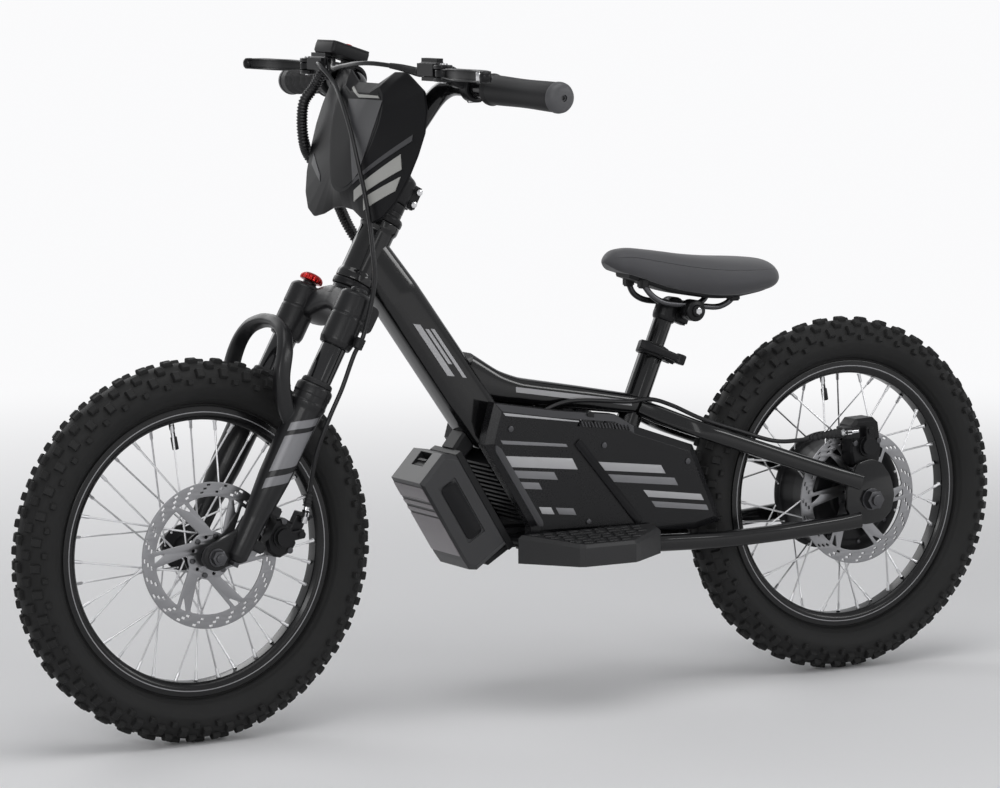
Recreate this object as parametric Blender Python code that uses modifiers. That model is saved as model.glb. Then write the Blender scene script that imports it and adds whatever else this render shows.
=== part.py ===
"""Children's electric bike: hub motor, slide-in battery, suspension fork and cable disc brakes."""

import math

import bmesh
import bpy
from mathutils import Matrix, Vector

# Clearance between two solids that seat on each other
GAP = 0.0003

# Wheels
WHEELBASE = 0.848
TYRE_RADIUS = 0.212
TYRE_HALF_WIDTH = 0.0262
TYRE_WALL = 0.003
KNOB_HEIGHT = 0.0045
KNOB_ROWS = 16
RIM_FLANGE_RADIUS = 0.1595
BEAD_RADIUS = RIM_FLANGE_RADIUS - 0.0065
RIM_HALF_WIDTH = 0.0125
RIM_WALL = 0.0018
RIM_BED_RADIUS = BEAD_RADIUS - 0.009
RIM_STEPS = 22
SPOKE_RADIUS = 0.0011
SPOKES_PER_FLANGE = 18

# Sides of a turned shape, by its size
BROAD = 18
ROUND = 14
SMALL = 12
TINY = 8

# Hubs
HUB_FLANGE_RADIUS = 0.0255
HUB_FLANGE_THICKNESS = 0.0042
HUB_FLANGE_Y = 0.028
HUB_SHELL_RADIUS = 0.0145
FRONT_AXLE_RADIUS = 0.005
MOTOR_RADIUS = 0.0645
MOTOR_FLANGE_RADIUS = 0.0705
MOTOR_LEFT_Y = 0.028
MOTOR_RIGHT_Y = 0.040
MOTOR_AXLE_RADIUS = 0.0068

# Brakes
DISC_RADIUS = 0.080
DISC_THICKNESS = 0.0019
DISC_TRACK = 0.0145
DISC_CARRIER_RADIUS = 0.026
DISC_BORE_RADIUS = 0.0105
FRONT_DISC_Y = 0.040
REAR_DISC_Y = 0.038
DISC_ARMS = 6
DISC_SLOTS = 8

# Steering and fork
HEAD_ANGLE = 61.5
FORK_OFFSET = 0.040
LEG_SPACING = 0.120
LEG_FORWARD = 0.019
STANCHION_RADIUS = 0.0140
STANCHION_WALL = 0.003
SLIDER_RADIUS = 0.0205
SLIDER_TOP = 0.214
STANCHION_LOW = SLIDER_TOP - 0.064
FORK_TRAVEL = 0.035
CROWN_SOCKET_RADIUS = 0.019
CROWN_BOTTOM = 0.262
CROWN_TOP = 0.325
STEERER_RADIUS = 0.0143
HEAD_TUBE_RADIUS = 0.020
HEAD_TUBE_BORE = 0.0165
HEAD_TUBE_LENGTH = 0.0745
HEADSET_RADIUS = 0.0225
HEADSET_HEIGHT = 0.008
SPACER_RADIUS = 0.018
SPACER_HEIGHT = 0.025
STEM_HEIGHT = 0.029
STEM_REACH = 0.040
DROPOUT_THICKNESS = 0.008
FRONT_HUB_WIDTH = 0.101

# Handlebar
BAR_RADIUS = 0.0111
BAR_HALF_WIDTH = 0.315
BAR_RISE = 0.0995
GRIP_RADIUS = 0.016
GRIP_LENGTH = 0.130
GRIP_FLANGE_RADIUS = 0.021
PERCH_Y = BAR_HALF_WIDTH - GRIP_LENGTH - 0.029
BAR_BEND_Y = PERCH_Y - 0.058
DISPLAY_Y = PERCH_Y - 0.036
LEFT_HOSE_Y = PERCH_Y - 0.051
RIGHT_HOSE_Y = PERCH_Y - 0.018

# Frame
DOWN_TUBE_WIDTH = 0.046
DOWN_TUBE_DEPTH = 0.050
TOP_TUBE_WIDTH = 0.038
TUBE_WALL = 0.0025
TUBE_CHAMFER = 0.008
SEAT_ANGLE = 67.4
SEAT_TUBE_RADIUS = 0.0143
SEAT_POST_RADIUS = 0.0111
SEAT_TUBE_TOP_Z = 0.4035
SEAT_TOP_Z = 0.452
STAY_WIDTH = 0.016
STAY_HEIGHT = 0.019
REAR_HUB_WIDTH = 0.122
REAR_DROPOUT_THICKNESS = 0.006

# Saddle
SADDLE_LENGTH = 0.238
SADDLE_NOSE_X = -0.0965
SADDLE_HALF_WIDTH = 0.070
RAIL_RADIUS = 0.0035
RAIL_Y = 0.022

# Body and battery
BATTERY_ANGLE = 59.0
BATTERY_WIDTH = 0.075
BATTERY_DEPTH = 0.055
BATTERY_LENGTH = 0.134
PANEL_WALL = 0.0025
PANEL_OUTER_Y = 0.052
PANEL_INNER_Y = 0.0325
HEAT_SINK_ANGLE = 56.2
HEAT_SINK_WIDTH = 0.057
HEAT_SINK_LENGTH = 0.086
HEAT_SINK_DEPTH = 0.022
HEAT_SINK_RIBS = 12
FOOTREST_OUTER_Y = 0.115
FOOTREST_TOP_Z = 0.2045
FOOTREST_WALL = 0.003

# Colour, roughness and metallic value of each finish
BLACK_PAINT = ("black_paint", (0.012, 0.012, 0.013), 0.28, 0.0)
BLACK_PLASTIC = ("black_plastic", (0.020, 0.020, 0.021), 0.55, 0.0)
PANEL_PLASTIC = ("panel_plastic", (0.018, 0.018, 0.020), 0.35, 0.0)
GREY_PLASTIC = ("grey_plastic", (0.060, 0.060, 0.064), 0.50, 0.0)
TYRE_RUBBER = ("tyre_rubber", (0.022, 0.022, 0.023), 0.80, 0.0)
GRIP_RUBBER = ("grip_rubber", (0.015, 0.015, 0.016), 0.70, 0.0)
BLACK_ALLOY = ("black_alloy", (0.016, 0.016, 0.017), 0.32, 0.6)
STEEL = ("steel", (0.56, 0.56, 0.57), 0.25, 1.0)
DISC_STEEL = ("disc_steel", (0.62, 0.62, 0.63), 0.30, 1.0)
RED_ANODISED = ("red_anodised", (0.52, 0.015, 0.012), 0.30, 0.7)
SADDLE_COVER = ("saddle_cover", (0.040, 0.040, 0.042), 0.62, 0.0)

parts = None
cutters = None


def start():
    """Empty the scene and make the collections for the parts and the cutters."""
    global parts, cutters
    for old in list(bpy.data.objects):
        bpy.data.objects.remove(old)
    parts = bpy.data.collections.new("kids_electric_bike")
    cutters = bpy.data.collections.new("cutters")
    bpy.context.scene.collection.children.link(parts)
    bpy.context.scene.collection.children.link(cutters)


def finish_material(finish):
    """Return the Principled material of a finish, made once."""
    name, colour, roughness, metallic = finish
    found = bpy.data.materials.get(name)
    if found:
        return found
    made = bpy.data.materials.new(name)
    made.use_nodes = True
    shader = made.node_tree.nodes["Principled BSDF"]
    shader.inputs["Base Color"].default_value = (*colour, 1.0)
    shader.inputs["Roughness"].default_value = roughness
    shader.inputs["Metallic"].default_value = metallic
    return made


def add(name, mesh, place=None, finish=None):
    """Put a mesh in the scene as a part, or as a working shape when it has no finish."""
    piece = bpy.data.objects.new(name, mesh)
    piece.matrix_world = place or Matrix.Identity(4)
    if finish:
        mesh.materials.clear()
        mesh.materials.append(finish_material(finish))
        parts.objects.link(piece)
    else:
        piece.hide_render = True
        piece.display_type = "WIRE"
        cutters.objects.link(piece)
    return piece


def from_bmesh(work, name="shape", place=None, finish=None):
    """Turn a bmesh into an object, with its faces pointing out."""
    work.normal_update()
    bmesh.ops.recalc_face_normals(work, faces=work.faces)
    mesh = bpy.data.meshes.new(name)
    work.to_mesh(mesh)
    work.free()
    return add(name, mesh, place, finish)


def bake(piece):
    """Replace a piece's mesh by the one that its modifiers give."""
    bpy.context.view_layer.update()
    view = bpy.context.evaluated_depsgraph_get()
    mesh = bpy.data.meshes.new_from_object(piece.evaluated_get(view))
    piece.modifiers.clear()
    piece.data = mesh
    work = bmesh.new()
    work.from_mesh(mesh)
    bmesh.ops.remove_doubles(work, verts=work.verts, dist=0.000002)
    bmesh.ops.recalc_face_normals(work, faces=work.faces)
    work.to_mesh(mesh)
    work.free()
    return piece


def combine(piece, others, operation, keep=False):
    """Join other shapes to a piece, or cut them out of it, one after another."""
    for other in others:
        step = piece.modifiers.new(operation.lower(), "BOOLEAN")
        step.operation = operation
        step.solver = "EXACT"
        step.object = other
        bake(piece)
        if not keep:
            bpy.data.objects.remove(other)
    return piece


def join(piece, *others):
    return combine(piece, others, "UNION")


def cut(piece, *others, keep=False):
    return combine(piece, others, "DIFFERENCE", keep)


def dress(piece, name, finish):
    """Name a worked shape, give it its finish and move it from the cutters to the parts."""
    cutters.objects.unlink(piece)
    parts.objects.link(piece)
    piece.hide_render = False
    piece.display_type = "TEXTURED"
    piece.name = name
    piece.data.name = name
    piece.data.materials.clear()
    piece.data.materials.append(finish_material(finish))
    for face in piece.data.polygons:
        face.material_index = 0
    piece.data.shade_smooth()
    piece.data.set_sharp_from_angle(angle=math.radians(35))
    return piece


def copy(piece):
    """Return a working copy of a shape."""
    return add("shape", piece.data.copy(), piece.matrix_world.copy())


def at(x, y, z):
    return Matrix.Translation((x, y, z))


def along(direction, origin=(0, 0, 0)):
    """Place whose local Z points along a direction and whose local Y stays near the bike's +Y."""
    z = Vector(direction).normalized()
    side = Vector((0, 1, 0)) if abs(z.y) < 0.99 else Vector((1, 0, 0))
    x = side.cross(z).normalized()
    y = z.cross(x)
    place = Matrix((x, y, z)).transposed().to_4x4()
    place.translation = origin
    return place


def turned(profile, steps, place=None, phase=0.0, closed=True):
    """Turn a profile of (radius, height) points about the place's Z axis."""
    work = bmesh.new()
    verts = []
    for radius, height in profile:
        verts.append(work.verts.new((radius * math.cos(phase), radius * math.sin(phase), height)))
    for first, second in zip(verts, verts[1:]):
        work.edges.new((first, second))
    if closed:
        work.edges.new((verts[-1], verts[0]))
    mesh = bpy.data.meshes.new("turned")
    work.to_mesh(mesh)
    work.free()
    piece = add("shape", mesh, place)
    screw = piece.modifiers.new("turn", "SCREW")
    screw.axis = "Z"
    screw.angle = math.tau
    screw.steps = steps
    screw.render_steps = steps
    screw.use_merge_vertices = True
    screw.merge_threshold = 0.00001
    return bake(piece)


def rod(radius, low, high, steps=SMALL, place=None):
    """Cylinder along the place's Z from low to high."""
    work = bmesh.new()
    bmesh.ops.create_cone(work, cap_ends=True, segments=steps, radius1=radius, radius2=radius,
                          depth=high - low, matrix=at(0, 0, (low + high) / 2))
    return from_bmesh(work, place=place)


def bore(radius, low, high, steps=SMALL, place=None):
    """Cutter whose flats clear a round rod of the given radius by GAP."""
    return rod((radius + GAP) / math.cos(math.pi / steps), low, high, steps, place)


def ring(outer, inner, low, high, steps=ROUND, place=None, chamfer=0.0):
    """Plain ring along the place's Z, with chamfered outer edges when asked."""
    profile = [(outer, high - chamfer), (outer, low + chamfer)]
    if chamfer:
        profile = [(outer - chamfer, high)] + profile + [(outer - chamfer, low)]
    return turned(profile + [(inner, low), (inner, high)], steps, place)


def disk(radius, low, high, steps=ROUND, place=None, chamfer=0.001):
    """Solid disk along the place's Z with chamfered rims."""
    return turned([(0, high), (radius - chamfer, high), (radius, high - chamfer), (radius, low + chamfer),
                   (radius - chamfer, low), (0, low)], steps, place, closed=False)


def block(low, high, place=None, bevel=0.0):
    """Box between two corners, with bevelled edges when asked."""
    low, high = Vector(low), Vector(high)
    work = bmesh.new()
    bmesh.ops.create_cube(work, size=1.0)
    for vert in work.verts:
        for axis in range(3):
            vert.co[axis] = high[axis] if vert.co[axis] > 0 else low[axis]
    if bevel:
        bmesh.ops.bevel(work, geom=work.edges[:], offset=bevel, segments=1, affect="EDGES")
    return from_bmesh(work, place=place)


def tube(points, radius, resolution=2, place=None):
    """Wire or tube of one radius along a list of points, with filled caps."""
    curve = bpy.data.curves.new("tube", "CURVE")
    curve.dimensions = "3D"
    curve.bevel_depth = radius
    curve.bevel_resolution = resolution
    curve.use_fill_caps = True
    line = curve.splines.new("POLY")
    line.points.add(len(points) - 1)
    for target, point in zip(line.points, points):
        target.co = (*point, 1.0)
    return curve_to_shape(curve, place)


def plate(outlines, thickness, place=None):
    """Flat plate with holes: closed outlines in the place's XY plane, thickness along its Z."""
    curve = bpy.data.curves.new("plate", "CURVE")
    curve.dimensions = "2D"
    curve.fill_mode = "BOTH"
    curve.extrude = thickness / 2
    for outline in outlines:
        line = curve.splines.new("POLY")
        line.points.add(len(outline) - 1)
        for target, (x, y) in zip(line.points, outline):
            target.co = (x, y, 0.0, 1.0)
        line.use_cyclic_u = True
    return curve_to_shape(curve, place)


def curve_to_shape(curve, place):
    """Make a curve a mesh, weld its caps and remove the curve."""
    holder = bpy.data.objects.new("curve", curve)
    cutters.objects.link(holder)
    bpy.context.view_layer.update()
    view = bpy.context.evaluated_depsgraph_get()
    mesh = bpy.data.meshes.new_from_object(holder.evaluated_get(view))
    bpy.data.objects.remove(holder)
    work = bmesh.new()
    work.from_mesh(mesh)
    bmesh.ops.remove_doubles(work, verts=work.verts, dist=0.00001)
    return from_bmesh(work, place=place)


def loft(rings, place=None):
    """Skin through rings of equally many points, closed at both ends."""
    work = bmesh.new()
    rows = [[work.verts.new(point) for point in points] for points in rings]
    count = len(rows[0])
    for row, following in zip(rows, rows[1:]):
        for index in range(count):
            after = (index + 1) % count
            work.faces.new((row[index], row[after], following[after], following[index]))
    work.faces.new(rows[0])
    work.faces.new(rows[-1])
    return from_bmesh(work, place=place)


def beam(stations, grow=0.0, stretch=0.0, side=(0, 1, 0)):
    """Box tube with chamfered corners through stations of (centre, width, height, chamfer).

    The width lies along side, which is across the bike unless another is given; grow is added
    all round and stretch lengthens both ends.
    """
    centres = [Vector(station[0]) for station in stations]
    if stretch:
        centres[0] += (centres[0] - centres[1]).normalized() * stretch
        centres[-1] += (centres[-1] - centres[-2]).normalized() * stretch
    rings = []
    for index, centre in enumerate(centres):
        before = centres[max(index - 1, 0)]
        after = centres[min(index + 1, len(centres) - 1)]
        heading = (after - before).normalized()
        across = Vector(side)
        across = (across - heading * across.dot(heading)).normalized()
        upward = heading.cross(across)
        width, height, chamfer = stations[index][1:4]
        half_w, half_h = width / 2 + grow, height / 2 + grow
        chamfer = min(chamfer, half_w * 0.8, half_h * 0.8)
        corners = [(half_w - chamfer, half_h), (half_w, half_h - chamfer),
                   (half_w, chamfer - half_h), (half_w - chamfer, -half_h),
                   (chamfer - half_w, -half_h), (-half_w, chamfer - half_h),
                   (-half_w, half_h - chamfer), (chamfer - half_w, half_h)]
        rings.append([centre + across * a + upward * b for a, b in corners])
    return loft(rings)


def arc(radius, start, end, count, centre=(0, 0)):
    """Points of a circular arc between two angles in degrees."""
    points = []
    for index in range(count):
        turn = math.radians(start + (end - start) * index / (count - 1))
        points.append((centre[0] + radius * math.cos(turn), centre[1] + radius * math.sin(turn)))
    return points


def circle(radius, count, centre=(0, 0), phase=0.0):
    return arc(radius, phase, phase + 360 - 360 / count, count, centre)


def smooth_route(points, step):
    """Points a step apart along the smooth curve that passes through the chosen ones."""
    knots = [Vector(point) for point in points]
    knots = [knots[0] * 2 - knots[1]] + knots + [knots[-1] * 2 - knots[-2]]
    dense = []
    for a, b, c, d in zip(knots, knots[1:], knots[2:], knots[3:]):
        for index in range(24):
            t = index / 24
            dense.append((b * 2 + (c - a) * t + (a * 2 - b * 5 + c * 4 - d) * t * t
                          + (b * 3 - a - c * 3 + d) * t * t * t) / 2)
    dense.append(knots[-2])
    length = sum((q - p).length for p, q in zip(dense, dense[1:]))
    count = max(2, round(length / step))
    route, walked, target = [dense[0]], 0.0, length / count
    for p, q in zip(dense, dense[1:]):
        run = (q - p).length
        while walked + run >= target - 1e-9 and len(route) < count:
            route.append(p.lerp(q, (target - walked) / run))
            target += length / count
        walked += run
    route.append(dense[-1])
    return route


def mirrored(piece):
    """Copy of a shape on the other side of the bike."""
    other = copy(piece)
    work = bmesh.new()
    work.from_mesh(other.data)
    work.transform(other.matrix_world)
    work.transform(Matrix.Scale(-1, 4, (0, 1, 0)))
    work.normal_update()
    bmesh.ops.recalc_face_normals(work, faces=work.faces)
    work.to_mesh(other.data)
    work.free()
    other.matrix_world = Matrix.Identity(4)
    return other


# Places that several pieces share
TYRE_STEPS = KNOB_ROWS * 2
AXLE_Z = (TYRE_RADIUS - KNOB_HEIGHT) * math.cos(math.pi / TYRE_STEPS) + KNOB_HEIGHT
FRONT_X = WHEELBASE / 2
REAR_X = -WHEELBASE / 2
HEAD_TURN = math.radians(HEAD_ANGLE)
STEER_UP = Vector((-math.cos(HEAD_TURN), 0, math.sin(HEAD_TURN)))
STEER_FORWARD = Vector((math.sin(HEAD_TURN), 0, math.cos(HEAD_TURN)))
STEER_ORIGIN = Vector((FRONT_X, 0, AXLE_Z)) - STEER_FORWARD * FORK_OFFSET
FORK = along(STEER_UP, STEER_ORIGIN)
SEAT_TURN = math.radians(SEAT_ANGLE)
SEAT_UP = Vector((-math.cos(SEAT_TURN), 0, math.sin(SEAT_TURN)))
SEAT_FOOT = Vector((-0.1644, 0, 0.400))
FRONT_WHEEL = at(FRONT_X, 0, AXLE_Z) @ Matrix.Rotation(-math.pi / 2, 4, "X")
REAR_WHEEL = at(REAR_X, 0, AXLE_Z) @ Matrix.Rotation(-math.pi / 2, 4, "X")
BATTERY_TURN = math.radians(BATTERY_ANGLE)
BATTERY_UP = Vector((math.cos(BATTERY_TURN), 0, math.sin(BATTERY_TURN)))
BATTERY = along(BATTERY_UP, (0.0523, 0, 0.1923))
SINK_TURN = math.radians(HEAT_SINK_ANGLE)
SINK_UP = Vector((math.cos(SINK_TURN), 0, math.sin(SINK_TURN)))
SINK = along(SINK_UP, (0.0255, 0, 0.211))
LEG_Y = LEG_SPACING / 2
RACE_TOP = CROWN_TOP + 0.010
HEAD_LOW = RACE_TOP + GAP + HEADSET_HEIGHT + GAP
HEAD_HIGH = HEAD_LOW + HEAD_TUBE_LENGTH
SPACER_TOP = HEAD_HIGH + GAP + SPACER_HEIGHT
STEM_LOW = SPACER_TOP + GAP
STEM_TOP = STEM_LOW + STEM_HEIGHT
CLAMP_S = STEM_LOW + 0.0165
SEAT_TOP = (SEAT_TUBE_TOP_Z - SEAT_FOOT.z) / SEAT_UP.z
SEAT = along(SEAT_UP, SEAT_FOOT)


def from_head(x, y, z):
    """Point given from the steering axis's foot, for what moves with the front of the bike."""
    return STEER_ORIGIN + Vector((x, y, z))


def from_rear(x, y, z):
    """Point given from the rear axle's middle, with y from the bike's middle."""
    return Vector((REAR_X + x, y, AXLE_Z + z))


def seat_place(height):
    """Seat frame moved along the seat tube."""
    return along(SEAT_UP, SEAT_FOOT + SEAT_UP * height)


# Wheels

def tyre(name, place):
    """Knobbly tyre: elliptical carcass, blocks on its tread and a bore that the rim closes."""
    low = RIM_FLANGE_RADIUS + 0.002
    tread = TYRE_RADIUS - KNOB_HEIGHT
    first = math.radians(14)
    last = math.radians(158)
    half_height = (tread - low) / (math.cos(first) - math.cos(last))
    middle = tread - half_height * math.cos(first)
    bead_half = RIM_HALF_WIDTH - RIM_WALL - GAP * 2
    side = []
    for degrees in (14, 46, 72, 112, 158):
        turn = math.radians(degrees)
        side.append((middle + half_height * math.cos(turn), TYRE_HALF_WIDTH * math.sin(turn)))
    side[-1] = (side[-1][0], bead_half - 0.0002)
    side.append((BEAD_RADIUS, bead_half))
    profile = [(radius, -y) for radius, y in reversed(side)] + side
    shape = turned(profile, TYRE_STEPS, place, phase=math.pi / TYRE_STEPS)
    work = bmesh.new()
    work.from_mesh(shape.data)
    blocks = []
    for face in work.faces:
        centre = face.calc_center_median()
        reach = math.hypot(centre.x, centre.y)
        if reach < middle or abs(face.normal.z) > 0.97:
            continue
        turn = (math.degrees(math.atan2(centre.y, centre.x)) + 270) % 360
        step = round(turn / (360 / TYRE_STEPS)) % TYRE_STEPS
        slope = math.degrees(math.atan2(abs(centre.z) / TYRE_HALF_WIDTH,
                                        (reach - middle) / half_height))
        if step % 2:
            continue
        row_of_three = step % 4 == 0
        if row_of_three and (slope < 14 or 46 < slope < 72) or not row_of_three and 14 < slope < 46:
            blocks.append(face)
    raised = bmesh.ops.extrude_discrete_faces(work, faces=blocks)["faces"]
    for face in raised:
        outward = face.normal.copy()
        for vert in face.verts:
            vert.co += outward * KNOB_HEIGHT
    work.to_mesh(shape.data)
    work.free()
    hollow = []
    for degrees in (35, 100, 150):
        turn = math.radians(degrees)
        hollow.append((middle + (half_height - TYRE_WALL) * math.cos(turn),
                       (TYRE_HALF_WIDTH - TYRE_WALL) * math.sin(turn)))
    bore_half = bead_half - TYRE_WALL
    hollow[-1] = (hollow[-1][0], bore_half)
    hollow.append((BEAD_RADIUS - 0.003, bore_half))
    inner = [(radius, -y) for radius, y in reversed(hollow)] + hollow
    cut(shape, turned(inner, RIM_STEPS, place))
    return dress(shape, name, TYRE_RUBBER)


def rim(name, place):
    """Deep alloy rim with two flanges and a bed for the spoke nipples."""
    seat = BEAD_RADIUS - GAP * 3
    half = RIM_HALF_WIDTH
    profile = [(RIM_FLANGE_RADIUS, half), (seat - 0.003, half), (RIM_BED_RADIUS, half - 0.003),
               (RIM_BED_RADIUS, 0.003 - half), (seat - 0.003, -half), (RIM_FLANGE_RADIUS, -half),
               (RIM_FLANGE_RADIUS, RIM_WALL - half), (seat, RIM_WALL - half),
               (seat, half - RIM_WALL), (RIM_FLANGE_RADIUS, half - RIM_WALL)]
    return dress(turned(profile, RIM_STEPS, place), name, BLACK_ALLOY)


def spokes(place, seat_radius, flange_left, flange_right, spread):
    """Laced spokes of both flanges as one shape of separate prisms.

    Half of each flange's spokes lean one way near its outer face and half the other way near its
    inner face, with a flat side towards the ones that they cross.
    """
    work = bmesh.new()
    end_radius = RIM_BED_RADIUS * math.cos(math.pi / RIM_STEPS) - GAP * 2
    pitch = 360 / SPOKES_PER_FLANGE
    for side, flange in ((1, flange_left), (-1, flange_right)):
        for index in range(SPOKES_PER_FLANGE):
            lean = 1 if index % 2 else -1
            rim_turn = pitch * index + (0 if side > 0 else pitch / 2)
            hub_turn = rim_turn - lean * spread
            lift = lean * (HUB_FLANGE_THICKNESS / 2 - SPOKE_RADIUS - 0.0001)
            rim_y = 0.0025 + lean * 0.0018
            start = Vector((seat_radius * math.cos(math.radians(hub_turn)),
                            seat_radius * math.sin(math.radians(hub_turn)),
                            side * (flange + lift)))
            end = Vector((end_radius * math.cos(math.radians(rim_turn)),
                          end_radius * math.sin(math.radians(rim_turn)), side * rim_y))
            run = end - start
            away = Vector((0, 0, side * lean))
            z = run.normalized()
            y = (away - z * away.dot(z)).normalized()
            matrix = Matrix((y.cross(z), y, z)).transposed().to_4x4()
            matrix.translation = (start + end) / 2
            bmesh.ops.create_cone(work, cap_ends=True, segments=3, radius1=SPOKE_RADIUS,
                                  radius2=SPOKE_RADIUS, depth=run.length, matrix=matrix)
    return from_bmesh(work, place=place)


def front_hub():
    bore = FRONT_AXLE_RADIUS + 0.0008
    left, right = HUB_FLANGE_Y, -HUB_FLANGE_Y
    face = FRONT_DISC_Y - DISC_THICKNESS / 2 - GAP
    half = HUB_FLANGE_THICKNESS / 2
    profile = [(0.0185, face), (0.0185, left + 0.004), (HUB_SHELL_RADIUS, left + half),
               (HUB_FLANGE_RADIUS, left + half), (HUB_FLANGE_RADIUS, left - half),
               (HUB_SHELL_RADIUS, left - 0.004),
               (HUB_SHELL_RADIUS, right + 0.004), (HUB_FLANGE_RADIUS, right + half),
               (HUB_FLANGE_RADIUS, right - half), (HUB_SHELL_RADIUS - 0.002, right - 0.004),
               (HUB_SHELL_RADIUS - 0.003, -face), (bore, -face), (bore, face)]
    shell = turned(profile, SMALL, FRONT_WHEEL)
    lacing = spokes(FRONT_WHEEL, HUB_FLANGE_RADIUS - 0.003, HUB_FLANGE_Y, HUB_FLANGE_Y, 60)
    return dress(join(shell, lacing), "front_hub", STEEL)


def motor_shell():
    """Drum of the hub motor with spoke flanges, side covers and a disc boss."""
    bore = MOTOR_AXLE_RADIUS + 0.0008
    face = REAR_DISC_Y - DISC_THICKNESS / 2 - GAP
    left, right = MOTOR_LEFT_Y, -MOTOR_RIGHT_Y
    radius, flange = MOTOR_RADIUS, MOTOR_FLANGE_RADIUS
    profile = [(0.0185, face), (0.0185, left + 0.001), (radius - 0.006, left - 0.001),
               (flange, left - 0.003), (flange, left - 0.003 - HUB_FLANGE_THICKNESS),
               (radius, left - 0.009), (radius, right + 0.012),
               (flange, right + 0.006 + HUB_FLANGE_THICKNESS), (flange, right + 0.006),
               (0.032, right), (bore, right), (bore, face)]
    shell = turned(profile, BROAD, REAR_WHEEL)
    lacing = spokes(REAR_WHEEL, MOTOR_FLANGE_RADIUS - 0.003, left - 0.003 - HUB_FLANGE_THICKNESS / 2,
                    -right - 0.006 - HUB_FLANGE_THICKNESS / 2, 20)
    return dress(join(shell, lacing), "motor_shell", BLACK_ALLOY)


def axle_shape(radius, end, steps, place, left, right):
    """Axle along the wheel's axis with stepped shoulders, turned in one piece.

    The shoulders of each side are (radius, start, end) from the middle outwards.
    """
    profile = [(0, end), (radius, end)]
    for wide, low, high in reversed(left):
        profile += [(radius, high), (wide, high), (wide, low), (radius, low)]
    for wide, low, high in right:
        profile += [(radius, -low), (wide, -low), (wide, -high), (radius, -high)]
    return turned(profile + [(radius, -end), (0, -end)], steps, place, closed=False)


def motor_axle():
    """Fixed axle that the drum turns round, with its shoulders and nuts."""
    half = REAR_HUB_WIDTH / 2
    outside = half + REAR_DROPOUT_THICKNESS + GAP
    nut = (0.0118, outside, outside + 0.011)
    left = [(0.0098, REAR_DISC_Y + 0.010, half - GAP), nut]
    right = [(0.0098, MOTOR_RIGHT_Y + 0.002, half - GAP), nut]
    return dress(axle_shape(MOTOR_AXLE_RADIUS, 0.082, TINY, REAR_WHEEL, left, right), "motor_axle", STEEL)


def disc(name, place, y):
    """Brake disc: slotted braking track on six swept arms round a carrier."""
    outlines = [circle(DISC_RADIUS, 28), circle(DISC_BORE_RADIUS, TINY)]
    inner = DISC_RADIUS - DISC_TRACK
    pitch = 360 / DISC_ARMS
    sweep = 26
    for index in range(DISC_ARMS):
        turn = index * pitch
        outlines.append(arc(inner, turn + 8, turn + pitch - 8, 3)
                        + arc(DISC_CARRIER_RADIUS, turn + pitch - 14 - sweep, turn + 14 - sweep, 2))
    for index in range(DISC_SLOTS):
        turn = 360 / DISC_SLOTS * index
        low = DISC_RADIUS - (0.0055 if index % 2 else 0.0085)
        outlines.append(arc(low, turn - 2.6, turn + 2.6, 2)
                        + arc(low - 0.003, turn + 2.6, turn - 2.6, 2))
    return dress(plate(outlines, DISC_THICKNESS, place @ at(0, 0, y)), name, DISC_STEEL)


# Fork and steering

def fork_crown():
    """Forged crown with the steerer and both stanchions pressed in."""
    half = [(0.060, 0.290), (0.045, 0.290), (0.020, 0.303), (0.0, 0.305)]
    top = [(0.0, 0.333), (0.022, 0.333), (0.040, 0.322), (0.060, 0.322)]
    lower = [(y, s) for y, s in half] + [(-y, s) for y, s in reversed(half[:-1])]
    upper = [(-y, s) for y, s in reversed(top[1:])] + top
    outline = lower + upper
    rings = []
    for t, shrink in ((-0.0155, 0.90), (-0.010, 1.0), (0.022, 1.0), (0.034, 0.90)):
        rings.append([(t, y * (0.96 if shrink < 1 else 1.0), 0.3175 + (s - 0.3175) * shrink)
                      for y, s in outline])
    crown = loft(rings, FORK)
    join(crown, rod(STEERER_RADIUS, 0.310, STEM_TOP - 0.001, SMALL, FORK))
    join(crown, rod(HEAD_TUBE_RADIUS, 0.320, RACE_TOP, ROUND, FORK))
    for side in (1, -1):
        leg = FORK @ at(LEG_FORWARD, side * LEG_Y, 0)
        socket = turned([(0, CROWN_TOP), (0.0175, CROWN_TOP), (CROWN_SOCKET_RADIUS, 0.3225),
                         (CROWN_SOCKET_RADIUS, 0.266), (0.0175, CROWN_BOTTOM),
                         (0, CROWN_BOTTOM)], SMALL, leg, closed=False)
        join(crown, socket)
        join(crown, rod(STANCHION_RADIUS, STANCHION_LOW, CROWN_TOP - 0.010, SMALL, leg))
        cut(crown, rod(STANCHION_RADIUS - STANCHION_WALL, STANCHION_LOW - 0.006, SLIDER_TOP - 0.009, TINY,
                       leg))
    join(crown, turned([(0, 0.331), (0.008, 0.331), (0.0095, 0.329), (0.0095, 0.320), (0, 0.320)],
                       TINY, FORK @ at(LEG_FORWARD, LEG_Y, 0), closed=False))
    join(crown, *clip())
    return dress(crown, "fork_crown", BLACK_ALLOY)


# Rear face of the two lugs that carry the front caliper, in the fork's frame
LUG_END = -0.0065


def cable_clip():
    """Place of the hose clip on the left crown socket, along the hose."""
    return FORK @ at(0.0040, 0.0820, 0.2745)


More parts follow.
